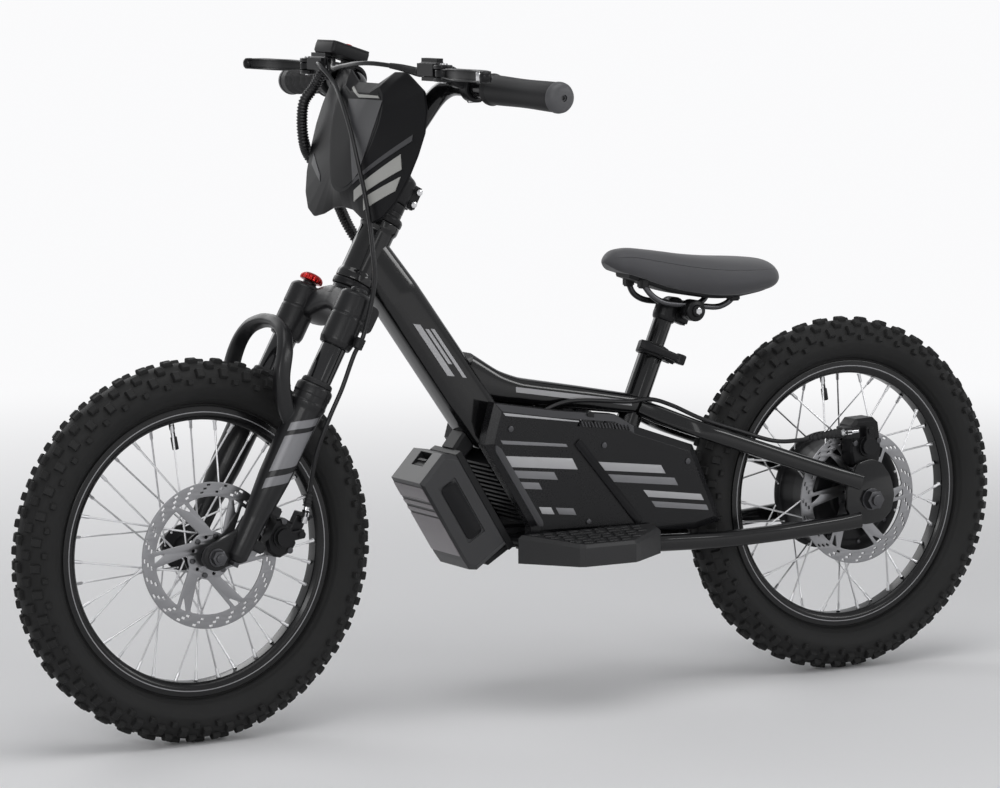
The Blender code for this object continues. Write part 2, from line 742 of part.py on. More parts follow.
def fork_lowers():
    """Sliders, arch and dropouts of the fork in one casting."""
    body = None
    for side in (1, -1):
        leg = FORK @ at(LEG_FORWARD, side * LEG_Y, 0)
        slider = turned([(0, SLIDER_TOP), (0.0175, SLIDER_TOP), (SLIDER_RADIUS, SLIDER_TOP - 0.003),
                         (SLIDER_RADIUS, 0.191), (0.0188, 0.189), (0.0175, 0.105),
                         (0.0125, 0.055), (0.0115, 0.006), (0, 0.006)],
                        SMALL, leg, closed=False)
        outline = ([(0.0085, 0.050), (0.0085, 0.008)]
                   + arc(0.0150, 240, 375, 5, (FORK_OFFSET, 0)) + [(0.044, 0.016), (0.0295, 0.034),
                                                                  (0.0295, 0.050)])
        centre_y = side * (FRONT_HUB_WIDTH + DROPOUT_THICKNESS) / 2
        web = plate([outline], DROPOUT_THICKNESS,
                    FORK @ at(0, centre_y, 0) @ Matrix.Rotation(math.pi / 2, 4, "X"))
        join(slider, web)
        body = join(body, slider) if body else slider
    path = []
    for t, y, s in ((0.024, 0.060, 0.168), (0.047, 0.0625, 0.183), (0.0625, 0.062, 0.205),
                    (0.070, 0.056, 0.232), (0.0725, 0.040, 0.252), (0.0725, 0.018, 0.2605),
                    (0.0725, 0.0, 0.262)):
        path.append((t, y, s))
    path += [(t, -y, s) for t, y, s in reversed(path[:-1])]
    join(body, tube(smooth_route(path, 0.026), 0.0078, 1, FORK))
    for low, high in ((0.066, 0.078), (0.024, 0.036)):
        join(body, block((LUG_END, 0.0515, low), (LEG_FORWARD, 0.0635, high), FORK))
    for side in (1, -1):
        leg = FORK @ at(LEG_FORWARD, side * LEG_Y, 0)
        cut(body, bore(STANCHION_RADIUS, STANCHION_LOW - FORK_TRAVEL - 0.005, SLIDER_TOP + 0.01, SMALL, leg))
    slot = FRONT_AXLE_RADIUS + 0.0004
    cut(body, rod(slot, -0.08, 0.08, TINY, FRONT_WHEEL))
    cut(body, block((FORK_OFFSET - slot, -0.08, -0.03), (FORK_OFFSET + slot, 0.08, 0), FORK))
    return dress(body, "fork_lowers", BLACK_PAINT)


def front_axle():
    """Axle with its cones and outer nuts."""
    half = FRONT_HUB_WIDTH / 2
    outside = half + DROPOUT_THICKNESS + GAP
    shoulders = [(0.0085, FRONT_DISC_Y + 0.002, half - GAP), (0.0088, outside, outside + 0.0085)]
    return dress(axle_shape(FRONT_AXLE_RADIUS, 0.069, TINY, FRONT_WHEEL, shoulders, shoulders),
                 "front_axle", STEEL)


def fork_knob():
    """Ribbed adjuster on the right fork leg."""
    outline = []
    for index in range(ROUND):
        turn = 360 / ROUND * index
        outline.append(arc(0.0132 if index % 2 else 0.0118, turn, turn + 1, 2)[0])
    place = FORK @ at(LEG_FORWARD, -LEG_Y, CROWN_TOP + GAP + 0.005)
    knob = plate([outline], 0.010, place)
    join(knob, rod(0.0085, 0.004, 0.0075, TINY, place))
    return dress(knob, "fork_knob", RED_ANODISED)


def head_tube_solid(grow=0.0):
    """Outside of the head tube with its swaged ends."""
    r = HEAD_TUBE_RADIUS + grow
    low, high = HEAD_LOW - grow, HEAD_HIGH + grow
    return turned([(0, high), (r + 0.002, high), (r + 0.002, high - 0.008), (r, high - 0.012),
                   (r, low + 0.012), (r + 0.002, low + 0.008), (r + 0.002, low), (0, low)],
                  ROUND, FORK, closed=False)


def head_tube():
    shape = cut(head_tube_solid(), rod(HEAD_TUBE_BORE, HEAD_LOW - 0.01, HEAD_HIGH + 0.01, ROUND, FORK))
    return dress(shape, "head_tube", BLACK_PAINT)


def headsets():
    hole = (STEERER_RADIUS + GAP) / math.cos(math.pi / ROUND)
    low = RACE_TOP + GAP
    lower = ring(HEADSET_RADIUS, hole, low, low + HEADSET_HEIGHT, ROUND, FORK, 0.0015)
    upper = turned([(0.0165, SPACER_TOP), (SPACER_RADIUS, SPACER_TOP - 0.0015),
                    (SPACER_RADIUS, HEAD_HIGH + 0.010), (HEADSET_RADIUS, HEAD_HIGH + 0.007),
                    (HEADSET_RADIUS, HEAD_HIGH + GAP), (hole, HEAD_HIGH + GAP),
                    (hole, SPACER_TOP)], ROUND, FORK)
    return (dress(lower, "headset_lower", BLACK_ALLOY), dress(upper, "headset_upper", BLACK_ALLOY))


def bar_centre():
    """Centre of the handlebar clamp, in world space."""
    return FORK @ Vector((STEM_REACH, 0, CLAMP_S))


def stem():
    """Stem body with the steerer clamp, its pinch bolts and the rear half of the bar clamp."""
    low, high = STEM_LOW, STEM_TOP
    shape = turned([(0, high + 0.006), (0.010, high + 0.006), (0.0150, high + 0.003), (0.0188, high),
                    (0.0188, low), (0, low)], SMALL, FORK, closed=False)
    join(shape, block((0.005, -0.015, low + 0.002), (0.034, 0.015, high - 0.002), FORK))
    join(shape, block((0.025, -0.023, low + 0.0005), (STEM_REACH - GAP, 0.023, high + 0.003), FORK,
                      0.002))
    join(shape, block((-0.0265, -0.010, low + 0.001), (-0.010, 0.010, high - 0.001), FORK, 0.0015))
    cut(shape, bore(STEERER_RADIUS, low - 0.01, high, SMALL, FORK))
    cut(shape, block((-0.03, -0.001, low - 0.01), (-0.012, 0.001, high + 0.01), FORK))
    bolts = FORK @ at(-0.0215, 0, 0) @ Matrix.Rotation(-math.pi / 2, 4, "X")
    for s in (low + 0.007, high - 0.007):
        join(shape, rod(0.0030, -0.0125, 0.0125, 6, bolts @ at(0, -s, 0)))
    across = FORK @ at(STEM_REACH, 0, CLAMP_S) @ Matrix.Rotation(-math.pi / 2, 4, "X")
    cut(shape, bore(BAR_RADIUS, -0.03, 0.03, SMALL, across))
    return dress(shape, "stem", BLACK_ALLOY)


def stem_faceplate():
    """Front half of the bar clamp with four bolt heads."""
    low, high = STEM_LOW, STEM_TOP
    shape = block((STEM_REACH + GAP, -0.022, low + 0.001), (STEM_REACH + 0.0155, 0.022, high + 0.0025),
                  FORK, 0.003)
    across = FORK @ at(STEM_REACH, 0, CLAMP_S) @ Matrix.Rotation(-math.pi / 2, 4, "X")
    cut(shape, bore(BAR_RADIUS, -0.03, 0.03, SMALL, across))
    cut(shape, block((STEM_REACH + 0.010, -0.010, low - 0.01), (STEM_REACH + 0.02, 0.010, high + 0.01),
                     FORK))
    return dress(shape, "stem_faceplate", BLACK_ALLOY)


def bar_points():
    """Route of the handlebar's left half, from the clamp to its end."""
    middle = bar_centre()
    top = middle.z + BAR_RISE
    return [Vector((middle.x, 0.0, middle.z)), Vector((middle.x, 0.038, middle.z)),
            Vector((middle.x - 0.0415, BAR_BEND_Y, top - 0.0005)),
            Vector((middle.x - 0.0625, BAR_HALF_WIDTH, top - 0.0095))]


def bar_frame(side):
    """Place on the straight outer part of the bar: Z outward, origin at |y| of PERCH_Y."""
    inner, outer = bar_points()[2:4]
    share = (PERCH_Y - inner.y) / (outer.y - inner.y)
    start = inner.lerp(outer, share)
    heading = outer - inner
    return along((heading.x, side * heading.y, heading.z), (start.x, side * start.y, start.z))


def rounded(points, radius, count):
    """Replace each inner corner of a route by an arc-like run of points."""
    route = [points[0]]
    for before, corner, after in zip(points, points[1:], points[2:]):
        start = corner + (before - corner).normalized() * radius
        end = corner + (after - corner).normalized() * radius
        for index in range(count + 1):
            t = index / count
            route.append(start * (1 - t) ** 2 + corner * 2 * t * (1 - t) + end * t ** 2)
    route.append(points[-1])
    return route


def handlebar():
    half = bar_points()
    other = [Vector((p.x, -p.y, p.z)) for p in reversed(half[1:])]
    route = rounded(other + half[1:], 0.0135, 3)
    return dress(tube(route, BAR_RADIUS, 3), "handlebar", BLACK_PAINT)


def bar_end(side):
    """Distance from the perch to the bar's end along the bar."""
    inner, outer = bar_points()[2:4]
    return (outer - inner).length * (BAR_HALF_WIDTH - PERCH_Y) / (outer.y - inner.y)


def grip(side):
    """Grip pushed over the bar's end: a flange, a waisted middle and a closed end."""
    length, r = GRIP_LENGTH, GRIP_RADIUS
    place = bar_frame(side) @ at(0, 0, bar_end(side) + 0.003 - length)
    hole = (BAR_RADIUS + GAP) / math.cos(math.pi / SMALL)
    floor = length - 0.003 + GAP
    return turned([(0, length), (r - 0.003, length), (r, length - 0.003), (r, 0.100), (r - 0.0012, 0.092),
                   (r - 0.0012, 0.022), (r, 0.006), (GRIP_FLANGE_RADIUS, 0.0045), (GRIP_FLANGE_RADIUS, 0),
                   (hole, 0), (hole, floor), (0, floor)], SMALL, place, closed=False)


def throttle_housing():
    """Housing of the twist throttle, clamped on the bar inboard of the twist grip."""
    start = bar_end(-1) + 0.003 - GRIP_LENGTH - GAP
    place = bar_frame(-1) @ at(0, 0, start)
    shape = disk(0.0200, -0.018, 0, SMALL, place, 0.0015)
    join(shape, block((-0.020, -0.008, -0.016), (-0.012, 0.008, -0.003), place))
    return dress(cut(shape, bore(BAR_RADIUS, -0.03, 0.01, SMALL, place)), "throttle_housing",
                 BLACK_PLASTIC)


def lever_pivot(side):
    """Pivot of a brake lever in world space."""
    middle = bar_frame(side).translation
    return Vector((middle.x + 0.040, side * (PERCH_Y + 0.004), middle.z + 0.016))


def perch(side):
    """Lever perch: bar clamp, arm to the pivot and the barrel that the hose leaves from."""
    place = bar_frame(side)
    shape = rod(0.0160, -0.007, 0.007, SMALL, place)
    pivot = lever_pivot(side)
    root = place.translation
    arm = beam([((root.x + 0.012, side * PERCH_Y, root.z + 0.009), 0.020, 0.012, 0.003),
                ((pivot.x - 0.010, side * (PERCH_Y - 0.004), pivot.z), 0.024, 0.015, 0.004),
                ((pivot.x + 0.004, side * (PERCH_Y - 0.006), pivot.z), 0.020, 0.014, 0.004)])
    join(shape, arm)
    reach = abs(hose_end(side).y)
    barrel_y = sorted((side * (reach + 0.010), side * (PERCH_Y - 0.002)))
    barrel = at(pivot.x - 0.002, 0, pivot.z) @ Matrix.Rotation(-math.pi / 2, 4, "X")
    join(shape, rod(0.0062, *barrel_y, TINY, barrel))
    tip = sorted((side * reach, side * (reach + 0.012)))
    join(shape, rod(0.0042, *tip, 6, barrel))
    cut(shape, bore(BAR_RADIUS, -0.03, 0.03, SMALL, place))
    eye = at(*pivot)
    cut(shape, rod(0.0095, -0.0045, 0.0045, SMALL, eye))
    cut(shape, block((0, min(side * 0.001, side * 0.03), -0.0045),
                     (0.03, max(side * 0.001, side * 0.03), 0.0045), eye))
    return shape


def brake_lever(side):
    """Two-finger lever blade with its pivot eye."""
    pivot = lever_pivot(side)
    stations = []
    for forward, out, width, height in ((0.000, 0.001, 0.012, 0.007), (0.003, 0.020, 0.011, 0.007),
                                        (0.011, 0.050, 0.011, 0.007), (0.010, 0.090, 0.011, 0.008),
                                        (0.016, 0.120, 0.010, 0.009)):
        stations.append(((pivot.x + forward, pivot.y + side * out, pivot.z), width, height, 0.002))
    blade = beam(stations, side=(1, 0, 0))
    return join(blade, rod(0.0090, -0.0041, 0.0041, SMALL, at(*pivot)))


def display():
    """Small display with its bar clamp, screen hood and a pocket for the button."""
    middle = bar_frame(-1).translation
    inner = bar_points()[2]
    place = at(inner.x + 0.0117, -DISPLAY_Y, middle.z + 0.0321) @ Matrix.Rotation(math.radians(-18), 4, "Y")
    shape = block((-0.024, -0.024, -0.0075), (0.024, 0.024, 0.0075), place, 0.003)
    join(shape, block((-0.020, -0.006, -0.028), (-0.004, 0.006, -0.005), place))
    clamp = along(bar_frame(-1).col[2].to_3d(), bar_on_axis(-1, DISPLAY_Y))
    join(shape, rod(0.0155, -0.006, 0.006, SMALL, clamp))
    cut(shape, bore(BAR_RADIUS, -0.03, 0.03, SMALL, clamp))
    cut(shape, block((-0.019, -0.020, 0.0066), (0.019, 0.008, 0.0100), place))
    cut(shape, rod(0.0042, 0.0030, 0.012, TINY, place @ at(0.001, 0.0150, 0)))
    button = rod(0.0038, 0.0048, 0.0088, TINY, place @ at(0.001, 0.0150, 0))
    return dress(shape, "display", BLACK_PLASTIC), dress(button, "power_button", RED_ANODISED)


def bar_on_axis(side, y):
    """Point on the straight outer part of the bar at a distance from the bike's middle."""
    inner, outer = bar_points()[2:4]
    point = inner.lerp(outer, (y - inner.y) / (outer.y - inner.y))
    return Vector((point.x, side * y, point.z))


def number_plate():
    """Faceted front plate: a raised middle shield in a swept outline, as a 3 mm moulding."""
    foot = Vector((0.040, 0, 0.390))
    rise = Vector((0.037, 0, 0.180)).normalized()
    outward = Vector((rise.z, 0, -rise.x))
    half = [(0.0, 0.163), (0.024, 0.163), (0.050, 0.176), (0.072, 0.178), (0.108, 0.160),
            (0.120, 0.140), (0.126, 0.115), (0.124, 0.090), (0.117, 0.060), (0.107, 0.036),
            (0.090, 0.018), (0.070, 0.011), (0.048, 0.013), (0.024, 0.022), (0.0, 0.024)]
    inner = [(0.0, 0.150), (0.022, 0.150), (0.040, 0.158), (0.050, 0.150), (0.056, 0.135),
             (0.056, 0.120), (0.054, 0.110), (0.050, 0.095), (0.040, 0.072), (0.032, 0.058),
             (0.026, 0.049), (0.020, 0.044), (0.014, 0.041), (0.007, 0.039), (0.0, 0.038)]
    widest = max(y for y, h in half)

    def depth(y, h, lift):
        return 0.0150 * (1 - (y / widest) ** 2) * (0.35 + 0.65 * h / 0.178) + lift

    def ring_of(points, lift):
        full = points + [(-y, h) for y, h in reversed(points[1:-1])]
        return [foot + rise * h + Vector((0, y, 0)) + outward * depth(y, h, lift) for y, h in full]

    rings = [ring_of(half, 0.0), ring_of(inner, 0.008)]
    work = bmesh.new()
    rows = [[work.verts.new(point) for point in points] for points in rings]
    count = len(rows[0])
    for index in range(count):
        after = (index + 1) % count
        work.faces.new((rows[0][index], rows[0][after], rows[1][after], rows[1][index]))
    work.faces.new(rows[1])
    shape = from_bmesh(work, place=FORK)
    if sum((face.normal for face in shape.data.polygons), Vector()).dot(outward) < 0:
        shape.data.flip_normals()
    shell = shape.modifiers.new("wall", "SOLIDIFY")
    shell.thickness = 0.0028
    shell.offset = -1.0
    shell.use_even_offset = True
    bake(shape)
    seat = STEM_REACH + 0.0155 + GAP
    for y in (-0.016, 0.016):
        join(shape, rod(0.004, seat, seat + 0.016, 8,
                        FORK @ at(0, y, CLAMP_S - 0.002) @ Matrix.Rotation(math.pi / 2, 4, "Y")))
    return dress(shape, "number_plate", PANEL_PLASTIC)


# Frame

def down_tube_stations():
    """Down tube from the head to the belly run under the controller."""
    head = STEER_ORIGIN + STEER_UP * 0.3783
    rear = -(HEAT_SINK_DEPTH + GAP + 0.014)
    run = [SINK @ Vector((rear, 0, HEAT_SINK_LENGTH + 0.008)), SINK @ Vector((rear, 0, 0.018))]
    wide, deep, chamfer = DOWN_TUBE_WIDTH, DOWN_TUBE_DEPTH, TUBE_CHAMFER
    neck = from_head(-0.2138, 0, 0.2863)
    return [(head, wide * 0.83, deep * 0.94, chamfer), (neck, wide - 0.001, deep, chamfer),
            ((0.060, 0, 0.3165), wide, deep + 0.002, chamfer), (run[0], wide - 0.006, 0.028, 0.005),
            (run[1], wide - 0.006, 0.028, 0.005), ((-0.032, 0, 0.2020), wide - 0.006, 0.026, 0.005),
            ((-0.094, 0, 0.1880), wide - 0.006, 0.024, 0.005)]


def top_tube_stations():
    wide = TOP_TUBE_WIDTH
    return [((0.092, 0, 0.3850), wide, 0.050, TUBE_CHAMFER), ((0.055, 0, 0.3695), wide, 0.036, TUBE_CHAMFER),
            ((0.025, 0, 0.3620), wide, 0.030, TUBE_CHAMFER), ((-0.141, 0, 0.3350), wide - 0.004, 0.024, 0.007)]


def seat_tube_solid(grow=0.0):
    low = (0.188 - SEAT_FOOT.z) / SEAT_UP.z
    return rod(SEAT_TUBE_RADIUS + grow, low, SEAT_TOP + grow, ROUND, SEAT)


def frame_tubes():
    """Main tubes, each notched round the ones that it is welded to."""
    down = beam(down_tube_stations())
    cut(down, beam(down_tube_stations(), grow=-TUBE_WALL, stretch=0.002), head_tube_solid(GAP),
        block((0, -0.05, HEAD_LOW - 0.02), (0.06, 0.05, HEAD_HIGH + 0.02), FORK),
        rod(HEADSET_RADIUS + GAP * 2, RACE_TOP - 0.02, HEAD_LOW + GAP, ROUND, FORK))
    for (x, y, z), radius, root in ((conduit_route()[-1], CONDUIT_RADIUS + 0.0008, -0.0215),
                                    (rear_hose_route()[0], 0.0045, 0.0175)):
        low, high = sorted((root, y - math.copysign(GAP, y)))
        join(down, rod(radius, low, high, TINY, at(x, 0, z) @ Matrix.Rotation(-math.pi / 2, 4, "X")))
    top = beam(top_tube_stations())
    cut(top, beam(top_tube_stations(), grow=-TUBE_WALL, stretch=0.002),
        beam(down_tube_stations(), grow=GAP), seat_tube_solid(GAP))
    seat = seat_tube_solid()
    cut(seat, bore(SEAT_POST_RADIUS, -0.30, 0.1, SMALL, SEAT), beam(down_tube_stations(), grow=GAP))
    return (dress(down, "down_tube", BLACK_PAINT), dress(top, "top_tube", BLACK_PAINT),
            dress(seat, "seat_tube", BLACK_PAINT))


def seat_stay_stations():
    wide, high = STAY_WIDTH, STAY_HEIGHT
    return [((-0.148, 0.0155, 0.3275), wide - 0.002, high + 0.003, 0.004),
            ((-0.2004, 0.0475, 0.3055), wide, high, 0.004),
            (from_rear(0.1196, 0.055, 0.0578), wide, high, 0.004),
            (from_rear(0.0399, 0.063, 0.0298), wide - 0.002, high, 0.004),
            (from_rear(0.0090, 0.064, 0.0188), wide - 0.004, high, 0.004)]


def over_stay(share, clear):
    """Point the given clearance above the left seat stay, a share of the way along its first long part."""
    bend, back = (Vector(station[0]) for station in seat_stay_stations()[1:3])
    return bend.lerp(back, share) + Vector((0, 0, STAY_HEIGHT / 2 + clear))


def chain_stay_stations():
    wide, high = STAY_WIDTH, STAY_HEIGHT
    return [((-0.086, 0.021, 0.1870), wide, high, 0.004), ((-0.130, 0.044, 0.1790), wide, high, 0.004),
            ((-0.2246, 0.050, 0.1765), wide, high, 0.004),
            (from_rear(0.1215, 0.058, -0.0312), wide, high, 0.004),
            (from_rear(0.0397, 0.062, -0.0262), wide - 0.002, high, 0.004),
            (from_rear(0.0090, 0.064, -0.0232), wide - 0.004, high, 0.004)]


def rear_dropout(grow=0.0):
    """Slotted plate at the end of the left stays, or its grown copy without the slot."""
    middle = (REAR_HUB_WIDTH + REAR_DROPOUT_THICKNESS) / 2
    outline = [(0.026, -0.022), (0.034, -0.010), (0.034, 0.016), (0.026, 0.030), (0.019, 0.044),
               (0.000, 0.048), (-0.015, 0.043), (-0.028, 0.026), (-0.034, 0.004), (-0.030, -0.016),
               (-0.016, -0.028), (0.010, -0.030)]
    centre = Vector((0.002, 0.012))
    points = []
    for x, z in outline:
        away = Vector((x, z)) - centre
        points.append(tuple(centre + away * (1 + grow / away.length)))
    place = at(REAR_X, middle, AXLE_Z) @ Matrix.Rotation(math.pi / 2, 4, "X")
    return plate([points], REAR_DROPOUT_THICKNESS + grow * 2, place)


def rear_stays():
    """Seat stays and chain stays of both sides; the chain stays carry the dropouts."""
    seat_stay = cut(beam(seat_stay_stations()), seat_tube_solid(GAP), beam(top_tube_stations(), grow=GAP),
                    rear_dropout(GAP))
    chain_stay = join(cut(beam(chain_stay_stations()), beam(down_tube_stations(), grow=GAP)), rear_dropout())
    slot = MOTOR_AXLE_RADIUS + 0.0004
    cut(chain_stay, rod(slot, 0.04, 0.08, TINY, REAR_WHEEL))
    cut(chain_stay, block((REAR_X - slot, 0.04, AXLE_Z - 0.05), (REAR_X + slot, 0.08, AXLE_Z)))
    pieces = []
    for shape, name in ((seat_stay, "seat_stay"), (chain_stay, "chain_stay")):
        pieces.append(dress(mirrored(shape), name + "_right", BLACK_PAINT))
        pieces.append(dress(shape, name + "_left", BLACK_PAINT))
    return pieces


# Seat

def seat_collar():
    """Clamp round the top of the seat tube with its bolt lugs and bolt."""
    place = seat_place(SEAT_TOP - 0.008)
    shape = rod(0.0185, -0.007, 0.007, SMALL, place)
    join(shape, block((-0.031, -0.0085, -0.0065), (-0.014, 0.0085, 0.0065), place))
    cut(shape, bore(SEAT_TUBE_RADIUS, -0.02, 0.02, ROUND, place))
    cut(shape, block((-0.04, -0.001, -0.02), (-0.010, 0.001, 0.02), place))
    bolt = place @ at(-0.025, 0, 0) @ Matrix.Rotation(-math.pi / 2, 4, "X")
    join(shape, rod(0.0028, 0.0050, 0.0172, TINY, bolt), rod(0.0055, -0.0160, -0.0075, TINY, bolt))
    return dress(shape, "seat_collar", BLACK_ALLOY)


def seat_qr_lever():
    """Quick-release lever that lies forward along the left side of the collar."""
    place = seat_place(SEAT_TOP - 0.008)
    shape = rod(0.0062, -0.0058, 0.0058, SMALL, place @ at(-0.025, 0.0238, 0))
    stations = [((-0.025, 0.0240, 0), 0.005, 0.0090, 0.0015), ((-0.008, 0.0248, 0), 0.005, 0.0090, 0.0015),
                ((0.014, 0.0232, 0), 0.0045, 0.0100, 0.0015), ((0.030, 0.0190, 0), 0.004, 0.0110, 0.0015)]
    arm = beam(stations)
    arm.matrix_world = place
    return dress(join(shape, arm), "seat_qr_lever", BLACK_PLASTIC)


def seatpost():
    """Seat post with a closed, domed top."""
    length = 0.150
    top = (SEAT_TOP_Z - SEAT_FOOT.z) / SEAT_UP.z
    r = SEAT_POST_RADIUS
    shape = turned([(0, top), (r - 0.002, top), (r, top - 0.002), (r, top - length),
                    (r - 0.002, top - length), (r - 0.002, top - 0.004), (0, top - 0.004)], SMALL, SEAT,
                   closed=False)
    return dress(shape, "seatpost", BLACK_PAINT)


def rail_points():
    """Left saddle rail, from its front end to its rear end."""
    y = RAIL_Y
    return [(-0.1405, y - 0.006, 0.4755), (-0.1490, y - 0.001, 0.4615), (-0.1640, y, 0.4530),
            (-0.2380, y, 0.4440), (-0.2500, y + 0.003, 0.4490), (-0.2560, y + 0.006, 0.4560)]


def rail_cutters(first, second):
    """Rods round the straight runs of both rails between two of their points."""
    shapes = []
    for side in (1, -1):
        start, end = [Vector((x, side * y, z)) for x, y, z in (rail_points()[first], rail_points()[second])]
        run = end - start
        shapes.append(bore(RAIL_RADIUS, -GAP * 2, run.length + 0.004, TINY, along(run, start)))
    return shapes


def saddle_clamp():
    """Band round the post with a cross bolt that grips both rails."""
    top = (SEAT_TOP_Z - SEAT_FOOT.z) / SEAT_UP.z
    place = seat_place(top)
    shape = rod(0.0140, -0.024, -0.001, SMALL, place)
    cross = at(-0.2035, 0, 0.4425) @ Matrix.Rotation(-math.pi / 2, 4, "X")
    join(shape, rod(0.0125, -0.032, -0.013, SMALL, cross), rod(0.0125, 0.013, 0.032, SMALL, cross),
         rod(0.0070, -0.036, 0.036, 6, cross))
    join(shape, block((-0.030, -0.0070, -0.020), (-0.0125, 0.0070, -0.004), place))
    cut(shape, bore(SEAT_POST_RADIUS, -0.04, 0.01, SMALL, place))
    cut(shape, *rail_cutters(2, 3))
    return dress(shape, "saddle_clamp", BLACK_ALLOY)


def saddle_sections():
    """Stations of the saddle: share of its length, half width share, top and edge height."""
    return [(0.000, 0.14, 0.5080, 0.5000), (0.035, 0.30, 0.5140, 0.4935), (0.13, 0.385, 0.5173, 0.4855),
            (0.32, 0.51, 0.5110, 0.4700), (0.50, 0.74, 0.5045, 0.4605), (0.66, 0.94, 0.5010, 0.4610),
            (0.81, 1.00, 0.4980, 0.4680), (0.92, 0.86, 0.4925, 0.4755), (0.98, 0.58, 0.4860, 0.4780),
            (1.000, 0.25, 0.4815, 0.4785)]


def saddle_at(share):
    """Half width, top and edge of the saddle at a share of its length, on smooth curves."""
    table = saddle_sections()
    for (a, *low), (b, *high) in zip(table, table[1:]):
        if share <= b:
            t = (share - a) / (b - a)
            t = t * t * (3 - 2 * t) * 0.35 + t * 0.65
            return [p + (q - p) * t for p, q in zip(low, high)]
    return list(table[-1][1:])


def cushion_shares():
    """Shares of the saddle's length at its rings, closer together at both ends."""
    count = 13
    return [(1 - math.cos(math.pi * index / count)) / 2 for index in range(count + 1)]


def saddle_cushion():
    """Crowned cushion: a domed top, sides drawn in towards the edge, a flat underside."""
    rings = []
    for share in cushion_shares():
        wide, top, edge = saddle_at(share)
        half = wide * SADDLE_HALF_WIDTH
        x = SADDLE_NOSE_X - share * SADDLE_LENGTH
        points = []
        for degrees in (0, 30, 58, 82, 104, 128):
            turn = math.radians(degrees)
            y = half * math.sin(turn) ** 0.9
            rise = math.cos(turn)
            middle = edge + (top - edge) * 0.34
            z = middle + (top - middle) * rise if rise > 0 else middle + (middle - edge) * rise * 1.62
            points.append((y, max(z, edge)))
        points.append((half * 0.62, edge))
        ring_points = [Vector((x, y, z)) for y, z in points]
        ring_points += [Vector((x, -y, z)) for y, z in reversed(points[1:])]
        rings.append(ring_points)
    return dress(loft(rings), "saddle_cushion", SADDLE_COVER)


def saddle_shell():
    """Plastic base under the cushion, with sockets for the rail ends."""
    rings = []
    for share in cushion_shares()[3:-2]:
        wide, top, edge = saddle_at(share)
        half = wide * SADDLE_HALF_WIDTH * 0.60
        x = SADDLE_NOSE_X - share * SADDLE_LENGTH
        high = edge - GAP
        rings.append([Vector((x, half, high)), Vector((x, half * 0.5, high - 0.0045)),
                      Vector((x, -half * 0.5, high - 0.0045)), Vector((x, -half, high))])
    shape = loft(rings)
    front, rear = rail_points()[0], rail_points()[-1]
    for (x, y, z), ahead, drop in ((front, 0.0070, 0.0040), (rear, 0.0080, 0.0055)):
        join(shape, block((x - ahead, -y - 0.0065, z - drop), (x + ahead, y + 0.0065, z + 0.0025)))
    cut(shape, *rail_cutters(0, 1), *rail_cutters(-1, -2))
    return dress(shape, "saddle_shell", BLACK_PLASTIC)


def saddle_rail():
    """Left saddle rail, a bent wire held by the shell at both ends."""
    route = rounded([Vector(point) for point in rail_points()], 0.004, 2)
    return tube(route, RAIL_RADIUS, 1)


# Body, battery and footrests

def panel_outline():
    """Outline of a side panel in (x, z), from its top front corner backwards."""
    return [(0.0735, 0.3552), (-0.0030, 0.3420), (-0.0836, 0.3320), (-0.1108, 0.3165), (-0.1880, 0.2900),
            (-0.2100, 0.2397), (-0.2270, 0.1990), (-0.1900, 0.1915), (-0.1300, 0.1955), (0.0270, 0.1985),
            (0.0270, 0.2110), (0.0870, 0.3080)]


def body_panel():
    """Left side panel: a tray with a sloped rim, a diagonal rib, louvres and screw bosses."""
    work = bmesh.new()
    rim_y, edge_y = PANEL_INNER_Y, PANEL_OUTER_Y - 0.006
    base = [work.verts.new((x, rim_y, z)) for x, z in panel_outline()]
    edge = [work.verts.new((x, edge_y, z)) for x, z in panel_outline()]
    for index in range(len(base)):
        after = (index + 1) % len(base)
        work.faces.new((base[index], base[after], edge[after], edge[index]))
    cap = work.faces.new(edge)
    bmesh.ops.recalc_face_normals(work, faces=work.faces)
    bmesh.ops.inset_region(work, faces=[cap], thickness=0.009, use_even_offset=True)
    for vert in cap.verts:
        vert.co.y = PANEL_OUTER_Y
    if cap.normal.y < 0:
        bmesh.ops.reverse_faces(work, faces=work.faces)
    mesh = bpy.data.meshes.new("panel")
    work.to_mesh(mesh)
    work.free()
    shape = add("shape", mesh)
    shell = shape.modifiers.new("wall", "SOLIDIFY")
    shell.thickness = PANEL_WALL
    shell.offset = -1.0
    shell.use_even_offset = True
    bake(shape)
    rib_top, rib_low = Vector((-0.0300, 0, 0.3050)), Vector((-0.1130, 0, 0.2060))
    y = PANEL_OUTER_Y
    join(shape, beam([((rib_top.x, y, rib_top.z), 0.004, 0.009, 0.001),
                      ((rib_low.x, y, rib_low.z), 0.004, 0.009, 0.001)]))
    start, end, count = Vector((-0.036, 0, 0.3290)), Vector((-0.100, 0, 0.3215)), 5
    for index in range(count):
        spot = start.lerp(end, index / (count - 1))
        louvre = at(spot.x, PANEL_OUTER_Y - 0.001, spot.z) @ Matrix.Rotation(math.radians(-30), 4, "Y")
        cut(shape, block((-0.0016, -0.012, -0.0085), (0.0016, 0.004, 0.0030), louvre))
    spots = [(0.062, 0.3190, DOWN_TUBE_WIDTH / 2), (-0.050, 0.3330, TOP_TUBE_WIDTH / 2),
             (-0.078, 0.2050, DOWN_TUBE_WIDTH / 2 - 0.003)]
    for x, z, inner in spots:
        boss = at(x, 0, z) @ Matrix.Rotation(-math.pi / 2, 4, "X")
        join(shape, rod(0.0050, inner + GAP, PANEL_OUTER_Y - PANEL_WALL / 2 - 0.001, 6, boss))
    return shape


